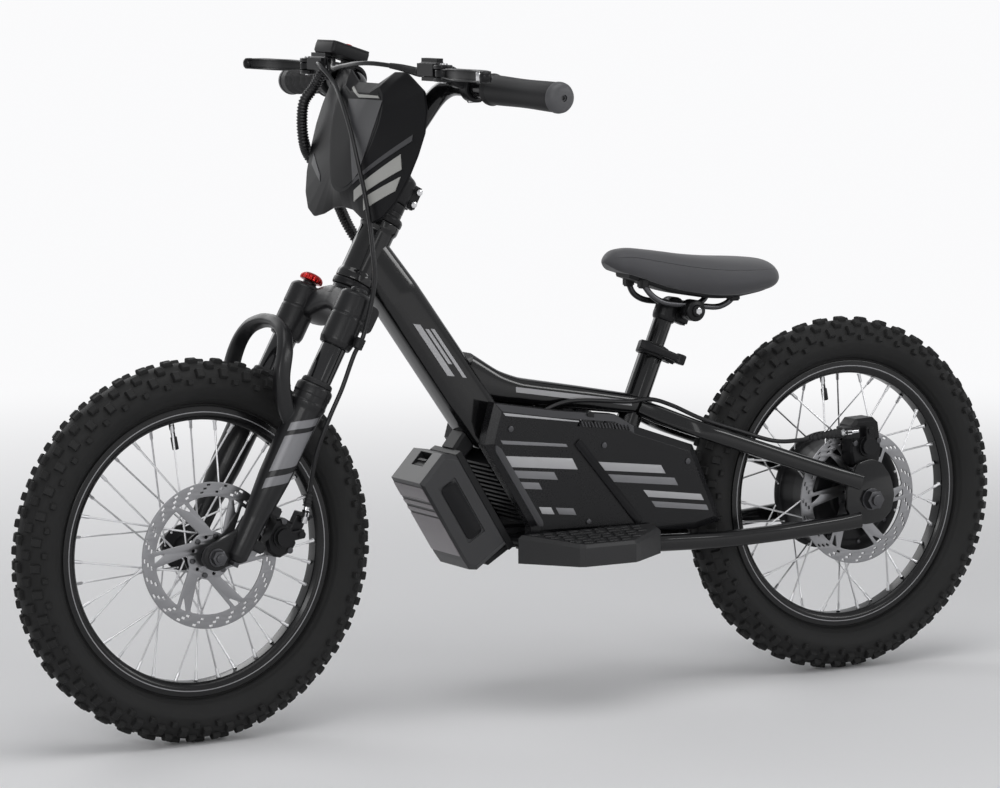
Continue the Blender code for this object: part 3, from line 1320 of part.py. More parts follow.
def controller():
    """Motor controller: a finned alloy case that fills the frame's front below the down tube."""
    half = HEAT_SINK_WIDTH / 2
    root = -HEAT_SINK_DEPTH
    shape = block((root, -half, 0), (-0.0015, half, HEAT_SINK_LENGTH), SINK)
    pitch = HEAT_SINK_LENGTH / (HEAT_SINK_RIBS + 0.5)
    for index in range(HEAT_SINK_RIBS):
        low = pitch * (index + 0.45)
        cut(shape, block((root * 0.45, -half - 0.01, low), (0.01, half + 0.01, low + pitch * 0.55), SINK))
    cut(shape, block((root - 0.01, -half - 0.01, -0.01), (root * 0.5, -half + 0.006, 0.1), SINK),
        block((root - 0.01, half - 0.006, -0.01), (root * 0.5, half + 0.01, 0.1), SINK))
    return dress(shape, "controller", BLACK_ALLOY)


def battery_outline():
    """Outline of the battery in its own frame: forward from its back, and along it."""
    length, deep = BATTERY_LENGTH, BATTERY_DEPTH
    outline = [(0, 0), (0, length - 0.0115), (0.014, length), (deep, length - 0.012),
               (deep, 0.016), (deep - 0.001, 0.003), (deep - 0.009, -0.003)]
    return outline


def battery_pack():
    """Slide-in battery: chamfered case, side recesses, grooves for the dock and a latch pocket."""
    half = BATTERY_WIDTH / 2
    rings = []
    centre = Vector((BATTERY_DEPTH / 2, BATTERY_LENGTH / 2))
    for y, shrink in ((-half, 0.92), (-half + 0.004, 1.0), (half - 0.004, 1.0), (half, 0.92)):
        points = []
        for x, z in battery_outline():
            moved = centre + (Vector((x, z)) - centre) * shrink
            points.append(Vector((max(moved.x, GAP), y, moved.y)))
        rings.append(points)
    shape = loft(rings, BATTERY)
    for side in (1, -1):
        low, high = sorted((side * (half - 0.0016), side * (half + 0.01)))
        cut(shape, block((0.016, low, 0.030), (0.040, high, BATTERY_LENGTH - 0.030), BATTERY))
        low, high = sorted((side * 0.0145, side * 0.0225))
        cut(shape, block((-0.01, low, -0.02), (0.0055, high, BATTERY_LENGTH + 0.02), BATTERY))
    cut(shape, block((0.016, -0.013, BATTERY_LENGTH - 0.017), (0.034, 0.013, BATTERY_LENGTH + 0.01),
                     BATTERY))
    cut(shape, block((-0.01, -0.008, -0.02), (0.0040, 0.008, 0.050), BATTERY))
    return dress(shape, "battery_pack", GREY_PLASTIC)


def battery_latch():
    """Sliding release catch in the pocket at the battery's upper end."""
    low = BATTERY_LENGTH - 0.0166
    shape = block((0.0204, -0.0122, low), (0.0334, 0.0122, low + 0.0100), BATTERY, 0.001)
    join(shape, block((0.0230, -0.0090, low + 0.009), (0.0265, 0.0090, low + 0.0125), BATTERY))
    return dress(shape, "battery_latch", RED_ANODISED)


def battery_dock():
    """Dock plate with two guide rails, a stop shelf and arms to the down tube and the belly."""
    top = BATTERY_LENGTH - 0.012
    shape = block((-0.0095, -0.031, -0.010), (-GAP, 0.031, top), BATTERY, 0.001)
    for side in (1, -1):
        low, high = sorted((side * 0.0150, side * 0.0220))
        join(shape, block((-0.002, low, 0.004), (0.0050, high, top - 0.010), BATTERY))
    join(shape, block((-0.004, -0.0070, 0.0210), (0.0035, 0.0070, 0.0450), BATTERY))
    join(shape, block((-0.004, -0.028, -0.010), (0.030, 0.028, -0.0036), BATTERY, 0.001))
    arm = beam([(BATTERY @ Vector((-0.0117, 0, top - 0.008)), 0.030, 0.020, 0.003),
                (BATTERY @ Vector((-0.0352, 0, top)), 0.030, 0.022, 0.003)])
    join(shape, cut(arm, beam(down_tube_stations(), grow=GAP)))
    lower = beam([((0.0480, 0, 0.1960), 0.034, 0.010, 0.003), ((0.0150, 0, 0.1900), 0.034, 0.010, 0.003),
                  ((-0.0250, 0, 0.1960), 0.034, 0.012, 0.003)])
    join(shape, cut(lower, beam(down_tube_stations(), grow=GAP)))
    return dress(shape, "battery_dock", BLACK_PLASTIC)


def footrest():
    """Left footrest: a skirted tread with raised grips and the flange that bolts it on."""
    inner, outer, top = PANEL_OUTER_Y + 0.0015, FOOTREST_OUTER_Y, FOOTREST_TOP_Z
    plan = [(0.0480, inner), (0.0020, outer - 0.003), (-0.0040, outer), (-0.0700, outer),
            (-0.0780, outer - 0.005), (-0.1280, inner + 0.020), (-0.1300, inner)]
    low = top - 0.0325

    def tread_z(y):
        return top - 0.0075 * (y - inner) / (outer - inner)

    rings = [[Vector((x, y, low)) for x, y in plan], [Vector((x, y, tread_z(y) - 0.004)) for x, y in plan]]
    centre = Vector((-0.035, (inner + outer) / 2))
    tread = []
    for x, y in plan:
        moved = centre + (Vector((x, y)) - centre) * 0.95
        tread.append(Vector((moved.x, moved.y, tread_z(moved.y))))
    rings.append(tread)
    shape = loft(rings)
    hollow = []
    for height in (low - 0.01, top - 0.0150):
        points = []
        for x, y in plan:
            moved = centre + (Vector((x, y)) - centre) * 0.88
            points.append(Vector((moved.x, moved.y, height)))
        hollow.append(points)
    cut(shape, loft(hollow))
    for row in range(3):
        for column in range(4 - row):
            x = -0.004 - column * 0.024 - (row % 2) * 0.012
            y = inner + 0.013 + row * 0.017
            stud = at(x, y, tread_z(y)) @ Matrix.Rotation(math.radians(45), 4, "Z")
            join(shape, block((-0.0050, -0.0030, -0.002), (0.0050, 0.0030, 0.0016), stud))
    join(shape, block((-0.078, 0.0004, 0.1685), (-0.016, inner + 0.010, 0.1748)))
    cut(shape, beam(down_tube_stations(), grow=GAP))
    return shape


def sides(shape, name, finish):
    """Finish a left piece and its mirror image on the right."""
    right = dress(mirrored(shape), name + "_right", finish)
    return dress(shape, name + "_left", finish), right


# Brakes

def caliper_place(wheel, degrees):
    """Wheel place turned so that its X points to a caliper, degrees above forward."""
    return wheel @ Matrix.Rotation(-math.radians(degrees), 4, "Z")


FRONT_CALIPER = caliper_place(FRONT_WHEEL, 168.5)
FRONT_REACH = 0.080
FRONT_CALIPER_Y = 0.0595
REAR_CALIPER = caliper_place(REAR_WHEEL, 88.0)
REAR_REACH = 0.0625
REAR_CALIPER_Y = REAR_HUB_WIDTH / 2 - GAP
COVER_HEIGHT = 0.004


def caliper(place, reach, inward, disc_y, outer):
    """Caliper body that straddles the disc, on a place whose X points out from the axle."""
    inner = disc_y - 0.0072
    far = DISC_RADIUS + 0.0155 - reach
    outline = [(-inward, -0.012), (-inward + 0.006, -0.019), (-0.006, -0.022), (far - 0.007, -0.019),
               (far, -0.012), (far, 0.012), (far - 0.007, 0.019), (-0.006, 0.022),
               (-inward + 0.006, 0.019), (-inward, 0.012)]
    rings = []
    for height, scale in ((inner, 0.88), (inner + 0.003, 1.0), (outer - 0.004, 1.0), (outer, 0.88)):
        rings.append([Vector((reach + px * scale, py * scale, height)) for px, py in outline])
    body = loft(rings, place)
    join(body, rod(0.0125, outer - 0.002, outer + COVER_HEIGHT, SMALL, place @ at(reach, 0, 0)))
    return cut(body, rod(DISC_RADIUS + 0.003, disc_y - 0.0025, disc_y + 0.0025, BROAD, place))


def front_barrel():
    """Ends of the front cable adjuster in world space, lower one first."""
    y = FRONT_CALIPER_Y + COVER_HEIGHT + 0.0025
    return FORK @ Vector((-0.0335, y, 0.0765)), FORK @ Vector((-0.0290, y, 0.0925))


def rear_barrel():
    """Ends of the rear cable adjuster in world space, the one on the arm's side first."""
    y = REAR_CALIPER_Y + COVER_HEIGHT + 0.0025
    return from_rear(0.0220, y, 0.0823), from_rear(0.0455, y, 0.0813)


def barrel(ends):
    low, high = ends
    run = (high - low).length
    place = along(high - low, low)
    return join(rod(0.0034, 0, run, TINY, place), rod(0.0045, run * 0.35, run * 0.75, TINY, place))


def calipers():
    """Both calipers with their adjusters; the front one seats on the fork's lugs."""
    front = caliper(FRONT_CALIPER, FRONT_REACH, 0.019, FRONT_DISC_Y, FRONT_CALIPER_Y)
    cut(front, block((LUG_END - GAP, 0.02, -0.03), (0.06, 0.09, 0.13), FORK))
    bracket = block((-0.0385, FRONT_CALIPER_Y - 0.010, 0.058), (-0.0250, FRONT_CALIPER_Y + 0.0010, 0.085),
                    FORK, 0.001)
    stay = block((-0.0385, FRONT_CALIPER_Y - 0.004, 0.0795), (-0.0250, FRONT_CALIPER_Y + 0.009, 0.085),
                 FORK, 0.001)
    join(front, bracket, stay, barrel(front_barrel()))
    rear = caliper(REAR_CALIPER, REAR_REACH, 0.026, REAR_DISC_Y, REAR_CALIPER_Y)
    bracket = block(from_rear(0.0180, REAR_CALIPER_Y - 0.012, 0.0738),
                    from_rear(0.0380, REAR_CALIPER_Y + 0.0095, 0.0873), None, 0.001)
    join(rear, bracket, barrel(rear_barrel()))
    return dress(front, "front_caliper", BLACK_ALLOY), dress(rear, "rear_caliper", BLACK_ALLOY)


def caliper_arm(name, place, reach, outer, heading):
    """Arm that the inner cable pulls round the caliper's centre."""
    low = outer + COVER_HEIGHT + GAP
    centre = place @ at(reach, 0, 0)
    arm = rod(0.0100, low, low + 0.004, SMALL, centre)
    turn = centre @ Matrix.Rotation(math.radians(heading), 4, "Z")
    join(arm, block((0.0, -0.0050, low + 0.0002), (0.0235, 0.0050, low + 0.0038), turn, 0.001))
    join(arm, rod(0.0040, low + 0.001, low + 0.0065, TINY, turn @ at(0.0190, 0, 0)))
    return dress(arm, name, BLACK_ALLOY)


# Cables

HOSE_RADIUS = 0.0025
CONDUIT_RADIUS = 0.0063
CONDUIT_BORE = 0.0040
CONDUIT_RIBS = 18


def hose_end(side):
    """Point where a brake hose leaves its perch."""
    pivot = lever_pivot(side)
    return Vector((pivot.x - 0.002, LEFT_HOSE_Y if side > 0 else -RIGHT_HOSE_Y, pivot.z))


def front_hose_route():
    """Front brake hose: over the plate, down its face, through the clip and to the caliper."""
    start = hose_end(-1) + Vector((0, GAP, 0))
    low, high = front_barrel()
    out = (high - low).normalized()
    clip = cable_clip().translation
    return [start, start + Vector((0, 0.008, 0)), from_head(-0.1829, 0.020 - RIGHT_HOSE_Y, 0.5399),
            from_head(-0.1789, 0.038 - RIGHT_HOSE_Y, 0.5359), from_head(-0.1776, -0.0700, 0.5205),
            from_head(-0.1684, -0.0330, 0.5009), from_head(-0.1604, 0.0020, 0.4722),
            from_head(-0.1511, 0.0370, 0.4383), from_head(-0.1489, 0.0560, 0.4079),
            from_head(-0.1459, 0.0740, 0.3747), from_head(-0.1455, 0.0815, 0.3431),
            from_head(-0.1456, 0.0845, 0.3078), clip + STEER_UP * 0.014, clip, clip - STEER_UP * 0.014,
            from_head(-0.1054, 0.0830, 0.1956), from_head(-0.0904, 0.0810, 0.1637),
            from_head(-0.0769, 0.0760, 0.1249), high + out * 0.018, high + out * 0.008, high + out * GAP]


def upper_hose_route():
    """Upper part of the rear brake hose: over the plate and into the conduit's mouth."""
    start = hose_end(1) - Vector((0, GAP, 0))
    mouth, inner = [Vector(point) for point in conduit_route()[:2]]
    return [start, start - Vector((0, 0.008, 0)), from_head(-0.1809, LEFT_HOSE_Y - 0.025, 0.5409),
            from_head(-0.1667, 0.0500, 0.5444), from_head(-0.1613, 0.0200, 0.5438),
            from_head(-0.1650, -0.0200, 0.5402), from_head(-0.1676, -0.0500, 0.5369),
            from_head(-0.1829, -0.0800, 0.5409), from_head(-0.1939, -DISPLAY_Y + 0.018, 0.5439),
            mouth + (mouth - inner).normalized() * 0.010, mouth, mouth + (inner - mouth).normalized() * 0.006]


def rear_hose_route():
    """Lower part of the rear brake hose: from behind the panel, along the top tube and the seat stay."""
    low, high = rear_barrel()
    out = (high - low).normalized()
    return [(0.0500, 0.0275, 0.3050), (0.0500, 0.0325, 0.3050), (0.0400, 0.0350, 0.3120),
            (0.0200, 0.0300, 0.3280), (-0.0050, 0.0260, 0.3400), (-0.0300, 0.0240, 0.3465),
            (-0.0600, 0.0235, 0.3470), (-0.1150, 0.0235, 0.3420),
            (-0.1450, 0.0245, 0.3430), (-0.1700, 0.0310, 0.3350), over_stay(0, 0.0040),
            over_stay(0.477, 0.0044), from_rear(0.1290, 0.0550, 0.0768), from_rear(0.0940, 0.0590, 0.0758),
            high + out * 0.020, high + out * 0.008, high + out * GAP]


def conduit_route():
    """Wiring conduit: from its mouth by the display, round the plate's right edge, to the down tube."""
    return [from_head(-0.1904, -DISPLAY_Y, 0.5303), from_head(-0.1859, -DISPLAY_Y - 0.0025, 0.5219),
            from_head(-0.1809, -DISPLAY_Y - 0.0050, 0.5124), from_head(-0.1694, -0.1265, 0.4969),
            from_head(-0.1669, -0.1275, 0.4746), from_head(-0.1699, -0.1290, 0.4512),
            from_head(-0.1809, -0.1370, 0.4339), from_head(-0.1939, -0.1280, 0.4129),
            from_head(-0.1989, -0.1050, 0.3839), from_head(-0.2024, -0.0840, 0.3569),
            from_head(-0.2189, -0.0670, 0.3209), from_head(-0.2320, -0.0550, 0.2869),
            from_head(-0.2379, -0.0480, 0.2649), from_head(-0.2389, -0.0390, 0.2524),
            from_head(-0.2389, -0.0345, 0.2510), from_head(-0.2389, -0.0275, 0.2510)]


def hose(route, step):
    """Hose with straight leads out of its two ends and smooth points between them."""
    middle = smooth_route(route[1:-1], step)
    return tube([Vector(route[0])] + middle + [Vector(route[-1])], HOSE_RADIUS, 2)


def wiring_conduit():
    """Corrugated conduit with its bore."""
    fine = smooth_route(conduit_route(), 0.0005)
    count = CONDUIT_RIBS * 2
    points = [fine[round(index * (len(fine) - 1) / count)] for index in range(count + 1)]
    curve = bpy.data.curves.new("conduit", "CURVE")
    curve.dimensions = "3D"
    curve.bevel_depth = CONDUIT_RADIUS
    curve.bevel_resolution = 2
    curve.use_fill_caps = True
    line = curve.splines.new("POLY")
    line.points.add(len(points) - 1)
    for index, (target, point) in enumerate(zip(line.points, points)):
        target.co = (*point, 1.0)
        target.radius = 1.0 if 1 < index < count - 1 and index % 2 else 0.80
    shape = curve_to_shape(curve, None)
    start, end = points[0], points[-1]
    bore = [start + (start - points[1]) * 0.5] + points[1:-1:2] + [end + (end - points[-2]) * 0.5]
    cut(shape, tube(bore, CONDUIT_BORE, 1))
    return dress(shape, "wiring_conduit", BLACK_PLASTIC)


def clip():
    """Hose clip fused to the crown's left socket."""
    place = cable_clip()
    shape = ring(0.0052, HOSE_RADIUS + 0.0008, -0.006, 0.006, TINY, place)
    arm = block((-0.004, -0.018, -0.004), (0.004, -0.0038, 0.004), place)
    return shape, arm


def gather(name, spot, pieces, holder=None):
    """Parent the pieces of a moving body to an empty that stands on its joint's axis."""
    empty = bpy.data.objects.new(name, None)
    empty.location = spot
    parts.objects.link(empty)
    bpy.context.view_layer.update()
    if holder:
        empty.parent = holder
        empty.matrix_parent_inverse = holder.matrix_world.inverted()
    for piece in pieces:
        piece.parent = empty
        piece.matrix_parent_inverse = Matrix.Translation(spot).inverted()
    bpy.context.view_layer.update()
    return empty


def build():
    start()
    motor = [motor_shell(), rim("rear_rim", REAR_WHEEL), tyre("rear_tyre", REAR_WHEEL),
             disc("rear_disc", REAR_WHEEL, REAR_DISC_Y)]
    front = [front_hub(), rim("front_rim", FRONT_WHEEL), tyre("front_tyre", FRONT_WHEEL),
             disc("front_disc", FRONT_WHEEL, FRONT_DISC_Y)]
    motor_axle()
    frame_tubes()
    rear_stays()
    head_tube()
    headsets()
    seat_collar()
    sides(body_panel(), "body_panel", PANEL_PLASTIC)
    sides(footrest(), "footrest", BLACK_PLASTIC)
    controller()
    battery_dock()
    front_caliper, rear_caliper = calipers()
    bar = [stem(), stem_faceplate(), handlebar(), fork_crown(), number_plate(), throttle_housing(),
           dress(grip(1), "grip_left", GRIP_RUBBER), dress(perch(1), "brake_perch_left", BLACK_ALLOY),
           dress(perch(-1), "brake_perch_right", BLACK_ALLOY)]
    screen, button = display()
    bar.append(screen)
    bar.append(dress(hose(front_hose_route(), 0.022), "brake_cable_front", BLACK_PLASTIC))
    bar.append(dress(hose(upper_hose_route(), 0.018), "brake_cable_upper", BLACK_PLASTIC))
    dress(hose(rear_hose_route(), 0.026), "brake_cable_rear", BLACK_PLASTIC)
    wiring_conduit()
    steering = gather("steering_axis", STEER_ORIGIN, bar)
    lower = gather("fork_slide", FORK @ Vector((LEG_FORWARD, 0, SLIDER_TOP)),
                   [fork_lowers(), front_axle(), front_caliper], steering)
    gather("front_wheel_axis", FRONT_WHEEL.translation, front, lower)
    gather("rear_wheel_axis", REAR_WHEEL.translation, motor)
    gather("front_arm_axis", FRONT_CALIPER @ Vector((FRONT_REACH, 0, 0)),
           [caliper_arm("front_caliper_arm", FRONT_CALIPER, FRONT_REACH, FRONT_CALIPER_Y, -4)], lower)
    gather("rear_arm_axis", REAR_CALIPER @ Vector((REAR_REACH, 0, 0)),
           [caliper_arm("rear_caliper_arm", REAR_CALIPER, REAR_REACH, REAR_CALIPER_Y, 0)])
    gather("throttle_axis", bar_frame(-1).translation, [dress(grip(-1), "throttle_grip", GRIP_RUBBER)],
           steering)
    for side, name in ((1, "left"), (-1, "right")):
        gather("lever_axis_" + name, lever_pivot(side),
               [dress(brake_lever(side), "brake_lever_" + name, BLACK_ALLOY)], steering)
    gather("button_slide", button.matrix_world.translation, [button], steering)
    gather("knob_axis", FORK @ Vector((LEG_FORWARD, -LEG_Y, CROWN_TOP)), [fork_knob()], steering)
    seat = [seatpost(), saddle_clamp(), saddle_shell(), saddle_cushion(),
            *sides(saddle_rail(), "saddle_rail", BLACK_PAINT)]
    gather("seatpost_slide", SEAT_FOOT, seat)
    gather("seat_qr_axis", seat_place(SEAT_TOP - 0.008) @ Vector((-0.025, 0.0240, 0)), [seat_qr_lever()])
    pack = gather("battery_slide", BATTERY.translation, [battery_pack()])
    gather("latch_slide", BATTERY @ Vector((0.02, 0, BATTERY_LENGTH)), [battery_latch()], pack)


build()
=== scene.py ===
import math
import bmesh
import bpy
import numpy as np
from mathutils import Matrix


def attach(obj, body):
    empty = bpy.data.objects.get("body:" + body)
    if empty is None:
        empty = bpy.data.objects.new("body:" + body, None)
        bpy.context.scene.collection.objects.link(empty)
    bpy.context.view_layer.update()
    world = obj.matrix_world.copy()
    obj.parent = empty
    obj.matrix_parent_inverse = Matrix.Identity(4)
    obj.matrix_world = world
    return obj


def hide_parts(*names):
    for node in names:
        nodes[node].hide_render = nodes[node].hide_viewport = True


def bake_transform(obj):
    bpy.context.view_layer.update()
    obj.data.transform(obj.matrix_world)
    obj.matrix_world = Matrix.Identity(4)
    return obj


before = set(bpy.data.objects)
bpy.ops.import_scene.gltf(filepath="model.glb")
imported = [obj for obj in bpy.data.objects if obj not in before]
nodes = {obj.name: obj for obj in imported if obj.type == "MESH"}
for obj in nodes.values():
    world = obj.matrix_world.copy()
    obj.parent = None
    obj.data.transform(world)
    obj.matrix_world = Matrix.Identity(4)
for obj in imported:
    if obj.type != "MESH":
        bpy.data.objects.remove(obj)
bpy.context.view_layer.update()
tau = 2 * math.pi
steered = "handlebar_and_crown"


# shapes are arrays: a shell is (points, [face arrays]), and a place is a 4x4 matrix

def unit(vectors):
    return vectors / np.linalg.norm(vectors, axis=-1, keepdims=True)


def walked(path):
    # distance along the path up to each of its points
    return np.concatenate([[0], np.cumsum(np.linalg.norm(np.diff(path, axis=0), axis=1))])


def placeAlong(direction, origin=(0, 0, 0)):
    # a 4x4 place whose Z runs along the direction and whose Y stays near the bike's left
    z = unit(np.array(direction, float))
    x = unit(np.cross((0, 1.0, 0) if abs(z[1]) < 0.99 else (1.0, 0, 0), z))
    place = np.eye(4)
    place[:3, 0], place[:3, 1], place[:3, 2], place[:3, 3] = x, np.cross(z, x), z, origin
    return place


def shift(x, y, z):
    # a place moved along the world and not turned
    place = np.eye(4)
    place[:3, 3] = x, y, z
    return place


def turn(degrees, axis):
    # rotation about one of the three axes, counted from the next axis to the one after
    a = math.radians(degrees)
    first, second = [(1, 2), (2, 0), (0, 1)]["XYZ".index(axis)]
    place = np.eye(4)
    place[first, first] = place[second, second] = math.cos(a)
    place[first, second], place[second, first] = -math.sin(a), math.sin(a)
    return place


def moved(points, place):
    # the points carried from a place to the world
    return points @ place[:3, :3].T + place[:3, 3]


def spot(place, x, y, z):
    return moved(np.array((x, y, z), float), place)


def facedOut(points, faces):
    # the signed volume of the fans of all faces says whether the shell is inside out
    volume = 0.0
    for block in faces:
        corner = points[block]
        for k in range(1, block.shape[1] - 1):
            volume += np.einsum("ij,ij->", corner[:, 0], np.cross(corner[:, k], corner[:, k + 1]))
    return (points, [block[:, ::-1] for block in faces]) if volume < 0 else (points, faces)


def gridShell(points, wrapRows=False):
    # rows by columns of points joined by quads, closed round the columns, with end caps or round the rows
    rows, cols = points.shape[:2]
    index = np.arange(rows * cols).reshape(rows, cols)
    near, far = (index, np.roll(index, -1, 0)) if wrapRows else (index[:-1], index[1:])
    quads = np.stack([near, np.roll(near, -1, 1), np.roll(far, -1, 1), far], -1)
    caps = [] if wrapRows else [index[:1, ::-1], index[-1:]]
    return facedOut(points.reshape(-1, 3), [quads.reshape(-1, 4)] + caps)


def softened(points, radius, count=4, closed=True):
    # every corner gives way to a quadratic curve that leaves and meets its sides a radius away
    points = np.asarray(points, float)

    def toward(other):
        gap = other - points
        length = np.linalg.norm(gap, axis=1, keepdims=True)
        return points + gap * np.minimum(radius / np.maximum(length, 1e-9), 0.45)

    start, end = toward(np.roll(points, 1, 0)), toward(np.roll(points, -1, 0))
    t = np.linspace(0, 1, count)[None, :, None]
    curve = start[:, None] * (1 - t) ** 2 + points[:, None] * 2 * t * (1 - t) + end[:, None] * t ** 2
    if not closed:
        curve[0], curve[-1] = points[0], points[-1]
        return np.concatenate([points[:1], curve[1:-1].reshape(-1, points.shape[1]), points[-1:]])
    return curve.reshape(-1, points.shape[1])


def turned(profile, steps, place, closed=False):
    # each (radius, height) of the profile goes round the place's Z
    profile = np.asarray(profile, float)
    angle = np.arange(steps) * tau / steps
    ring = np.stack(np.broadcast_arrays(profile[:, :1] * np.cos(angle), profile[:, :1] * np.sin(angle),
        profile[:, 1:2]), -1)
    return gridShell(moved(ring, place), wrapRows=closed)


def lathed(profile, soft, count, steps, place):
    # a profile from pole to pole, its corners softened, then turned
    return turned(softened(profile, soft, count, closed=False), steps, place)


def lathedRing(profile, soft, count, steps, place):
    # a closed profile, its corners softened, then turned
    return turned(softened(profile, soft, count), steps, place, closed=True)


def rod(radius, low, high, place, steps, soft=0.0006):
    return lathed([(0.0002, low), (radius, low), (radius, high), (0.0002, high)], soft, 3, steps, place)


def smoothPath(points, step):
    # Catmull-Rom curve through the points, then points of equal spacing along its length
    p = np.asarray(points, float)
    p = np.concatenate([[2 * p[0] - p[1]], p, [2 * p[-1] - p[-2]]])
    a, b, c, d = (p[k:len(p) - 3 + k][:, None] for k in range(4))
    t = np.arange(24)[None, :, None] / 24
    curve = (b * 2 + (c - a) * t + (a * 2 - b * 5 + c * 4 - d) * t ** 2 + (b * 3 - a - c * 3 + d) * t ** 3) / 2
    curve = np.concatenate([curve.reshape(-1, 3), p[-2:-1]])
    return respaced(curve, step)


def respaced(curve, step):
    # the curve read off again at equal steps of its length
    length = walked(curve)
    marks = np.linspace(0, length[-1], max(2, round(length[-1] / step)) + 1)
    return np.stack([np.interp(marks, length, curve[:, k]) for k in range(3)], -1)


def carried(path):
    # frames carried along a path with the least turn from one point to the next
    tangent = unit(np.gradient(path, axis=0))
    sides = [unit(np.cross(tangent[0], (0, 0, 1.0) if abs(tangent[0][2]) < 0.9 else (1.0, 0, 0)))]
    for t in tangent[1:]:
        sides.append(unit(sides[-1] - t * np.dot(sides[-1], t)))
    sides = np.array(sides)
    return sides, np.cross(tangent, sides)


def swept(path, radius, steps=12):
    # a circle, whose radius may change from point to point, carried along the path
    path = np.asarray(path, float)
    side, up = carried(path)
    angle = np.arange(steps) * tau / steps
    radius = np.broadcast_to(radius, len(path))[:, None, None]
    ring = path[:, None] + radius * (side[:, None] * np.cos(angle)[:, None] + up[:, None]
        * np.sin(angle)[:, None])
    return gridShell(ring)


def carriedBox(route, across, up, width, height, corner):
    # rounded rectangle of its own size at each point of a route, along two directions square to it
    width, height, corner = (np.asarray(v, float)[:, None] for v in (width, height, corner))
    corner = np.minimum(corner, np.minimum(width, height) * 0.46)
    angle = np.linspace(0, tau / 4, 5)
    xs, ys = [], []
    for k, (sx, sy) in enumerate(((1, 1), (-1, 1), (-1, -1), (1, -1))):
        xs.append(sx * (width / 2 - corner) + corner * np.cos(angle + k * tau / 4))
        ys.append(sy * (height / 2 - corner) + corner * np.sin(angle + k * tau / 4))
    xs, ys = np.concatenate(xs, 1)[..., None], np.concatenate(ys, 1)[..., None]
    return gridShell(route[:, None] + across[:, None] * xs + up[:, None] * ys)


def boxTube(stations, bend, step, side=(0, 1, 0)):
    # a rounded box section through (centre, width, height, corner), its bends made soft
    centre = np.array([s[0] for s in stations], float)
    sizes = np.array([s[1:4] for s in stations], float)
    route = respaced(softened(centre, bend, 7, closed=False), step)
    knots, walk = walked(centre), walked(route)
    walk *= knots[-1] / walk[-1]
    width, height, corner = (np.interp(walk, knots, sizes[:, k]) for k in range(3))
    tangent, side = unit(np.gradient(route, axis=0)), np.array(side, float)
    across = unit(side - tangent * (tangent @ side)[:, None])
    return carriedBox(route, across, np.cross(tangent, across), width, height, corner)


def fromMesh(mesh, place):
    # triangles of a Blender mesh as a shell, its doubles merged first
    work = bmesh.new()
    work.from_mesh(mesh)
    bmesh.ops.remove_doubles(work, verts=work.verts, dist=0.00001)
    bmesh.ops.recalc_face_normals(work, faces=work.faces)
    work.to_mesh(mesh)
    work.free()
    mesh.calc_loop_triangles()
    points = np.zeros(len(mesh.vertices) * 3)
    mesh.vertices.foreach_get("co", points)
    faces = np.zeros(len(mesh.loop_triangles) * 3, int)
    mesh.loop_triangles.foreach_get("vertices", faces)
    points = points.reshape(-1, 3)
    bpy.data.meshes.remove(mesh)
    return facedOut(points if place is None else moved(points, place), [faces.reshape(-1, 3)])


def plate(outlines, thickness, place, bevel):
    # flat plate with holes from outlines in the place's XY, its edges rounded by the bevel
    curve = bpy.data.curves.new("plate", "CURVE")
    curve.dimensions, curve.fill_mode = "2D", "BOTH"
    curve.extrude, curve.bevel_depth, curve.bevel_resolution = thickness / 2 - bevel, bevel, 1
    curve.offset = -bevel
    for outline in outlines:
        line = curve.splines.new("POLY")
        line.points.add(len(outline) - 1)
        flat = np.zeros((len(outline), 4))
        flat[:, :2], flat[:, 3] = outline, 1
        line.points.foreach_set("co", flat.ravel())
        line.use_cyclic_u = True
    holder = bpy.data.objects.new("plate", curve)
    bpy.context.scene.collection.objects.link(holder)
    mesh = bpy.data.meshes.new_from_object(holder.evaluated_get(bpy.context.evaluated_depsgraph_get()))
    bpy.data.objects.remove(holder)
    bpy.data.curves.remove(curve)
    return fromMesh(mesh, place)


def arcPoints(radius, start, end, count, centre=(0, 0)):
    # points on a circle between two angles in degrees
    angle = np.radians(np.linspace(start, end, count))
    return np.stack([centre[0] + radius * np.cos(angle), centre[1] + radius * np.sin(angle)], -1)


def circlePoints(radius, count, centre=(0, 0)):
    return arcPoints(radius, 0, 360 - 360 / count, count, centre)


def box(low, high, place, bevel, segments=2):
    # box between two corners with rounded edges
    low, high = np.array(low, float), np.array(high, float)
    work = bmesh.new()
    bmesh.ops.create_cube(work, size=1.0)
    for vert in work.verts:
        vert.co = [float(high[k] if vert.co[k] > 0 else low[k]) for k in range(3)]
    bmesh.ops.bevel(work, geom=work.edges[:], offset=bevel, segments=segments, affect="EDGES")
    mesh = bpy.data.meshes.new("box")
    work.to_mesh(mesh)
    work.free()
    return fromMesh(mesh, place)


def placed(shell, place):
    return moved(shell[0], place), shell[1]


def flipped(shell):
    # mirror image on the other side of the bike
    points, faces = shell
    return facedOut(points * (1, -1, 1), [block[:, ::-1] for block in faces])


def repeated(shell, places):
    # one shell set at many places, as a single shell
    points, faces = shell
    places = np.asarray(places)
    many = np.einsum("nij,pj->npi", places[:, :3, :3], points) + places[:, None, :3, 3]
    offset = np.arange(len(places))[:, None, None] * len(points)
    return many.reshape(-1, 3), [(block[None] + offset).reshape(-1, block.shape[1]) for block in faces]


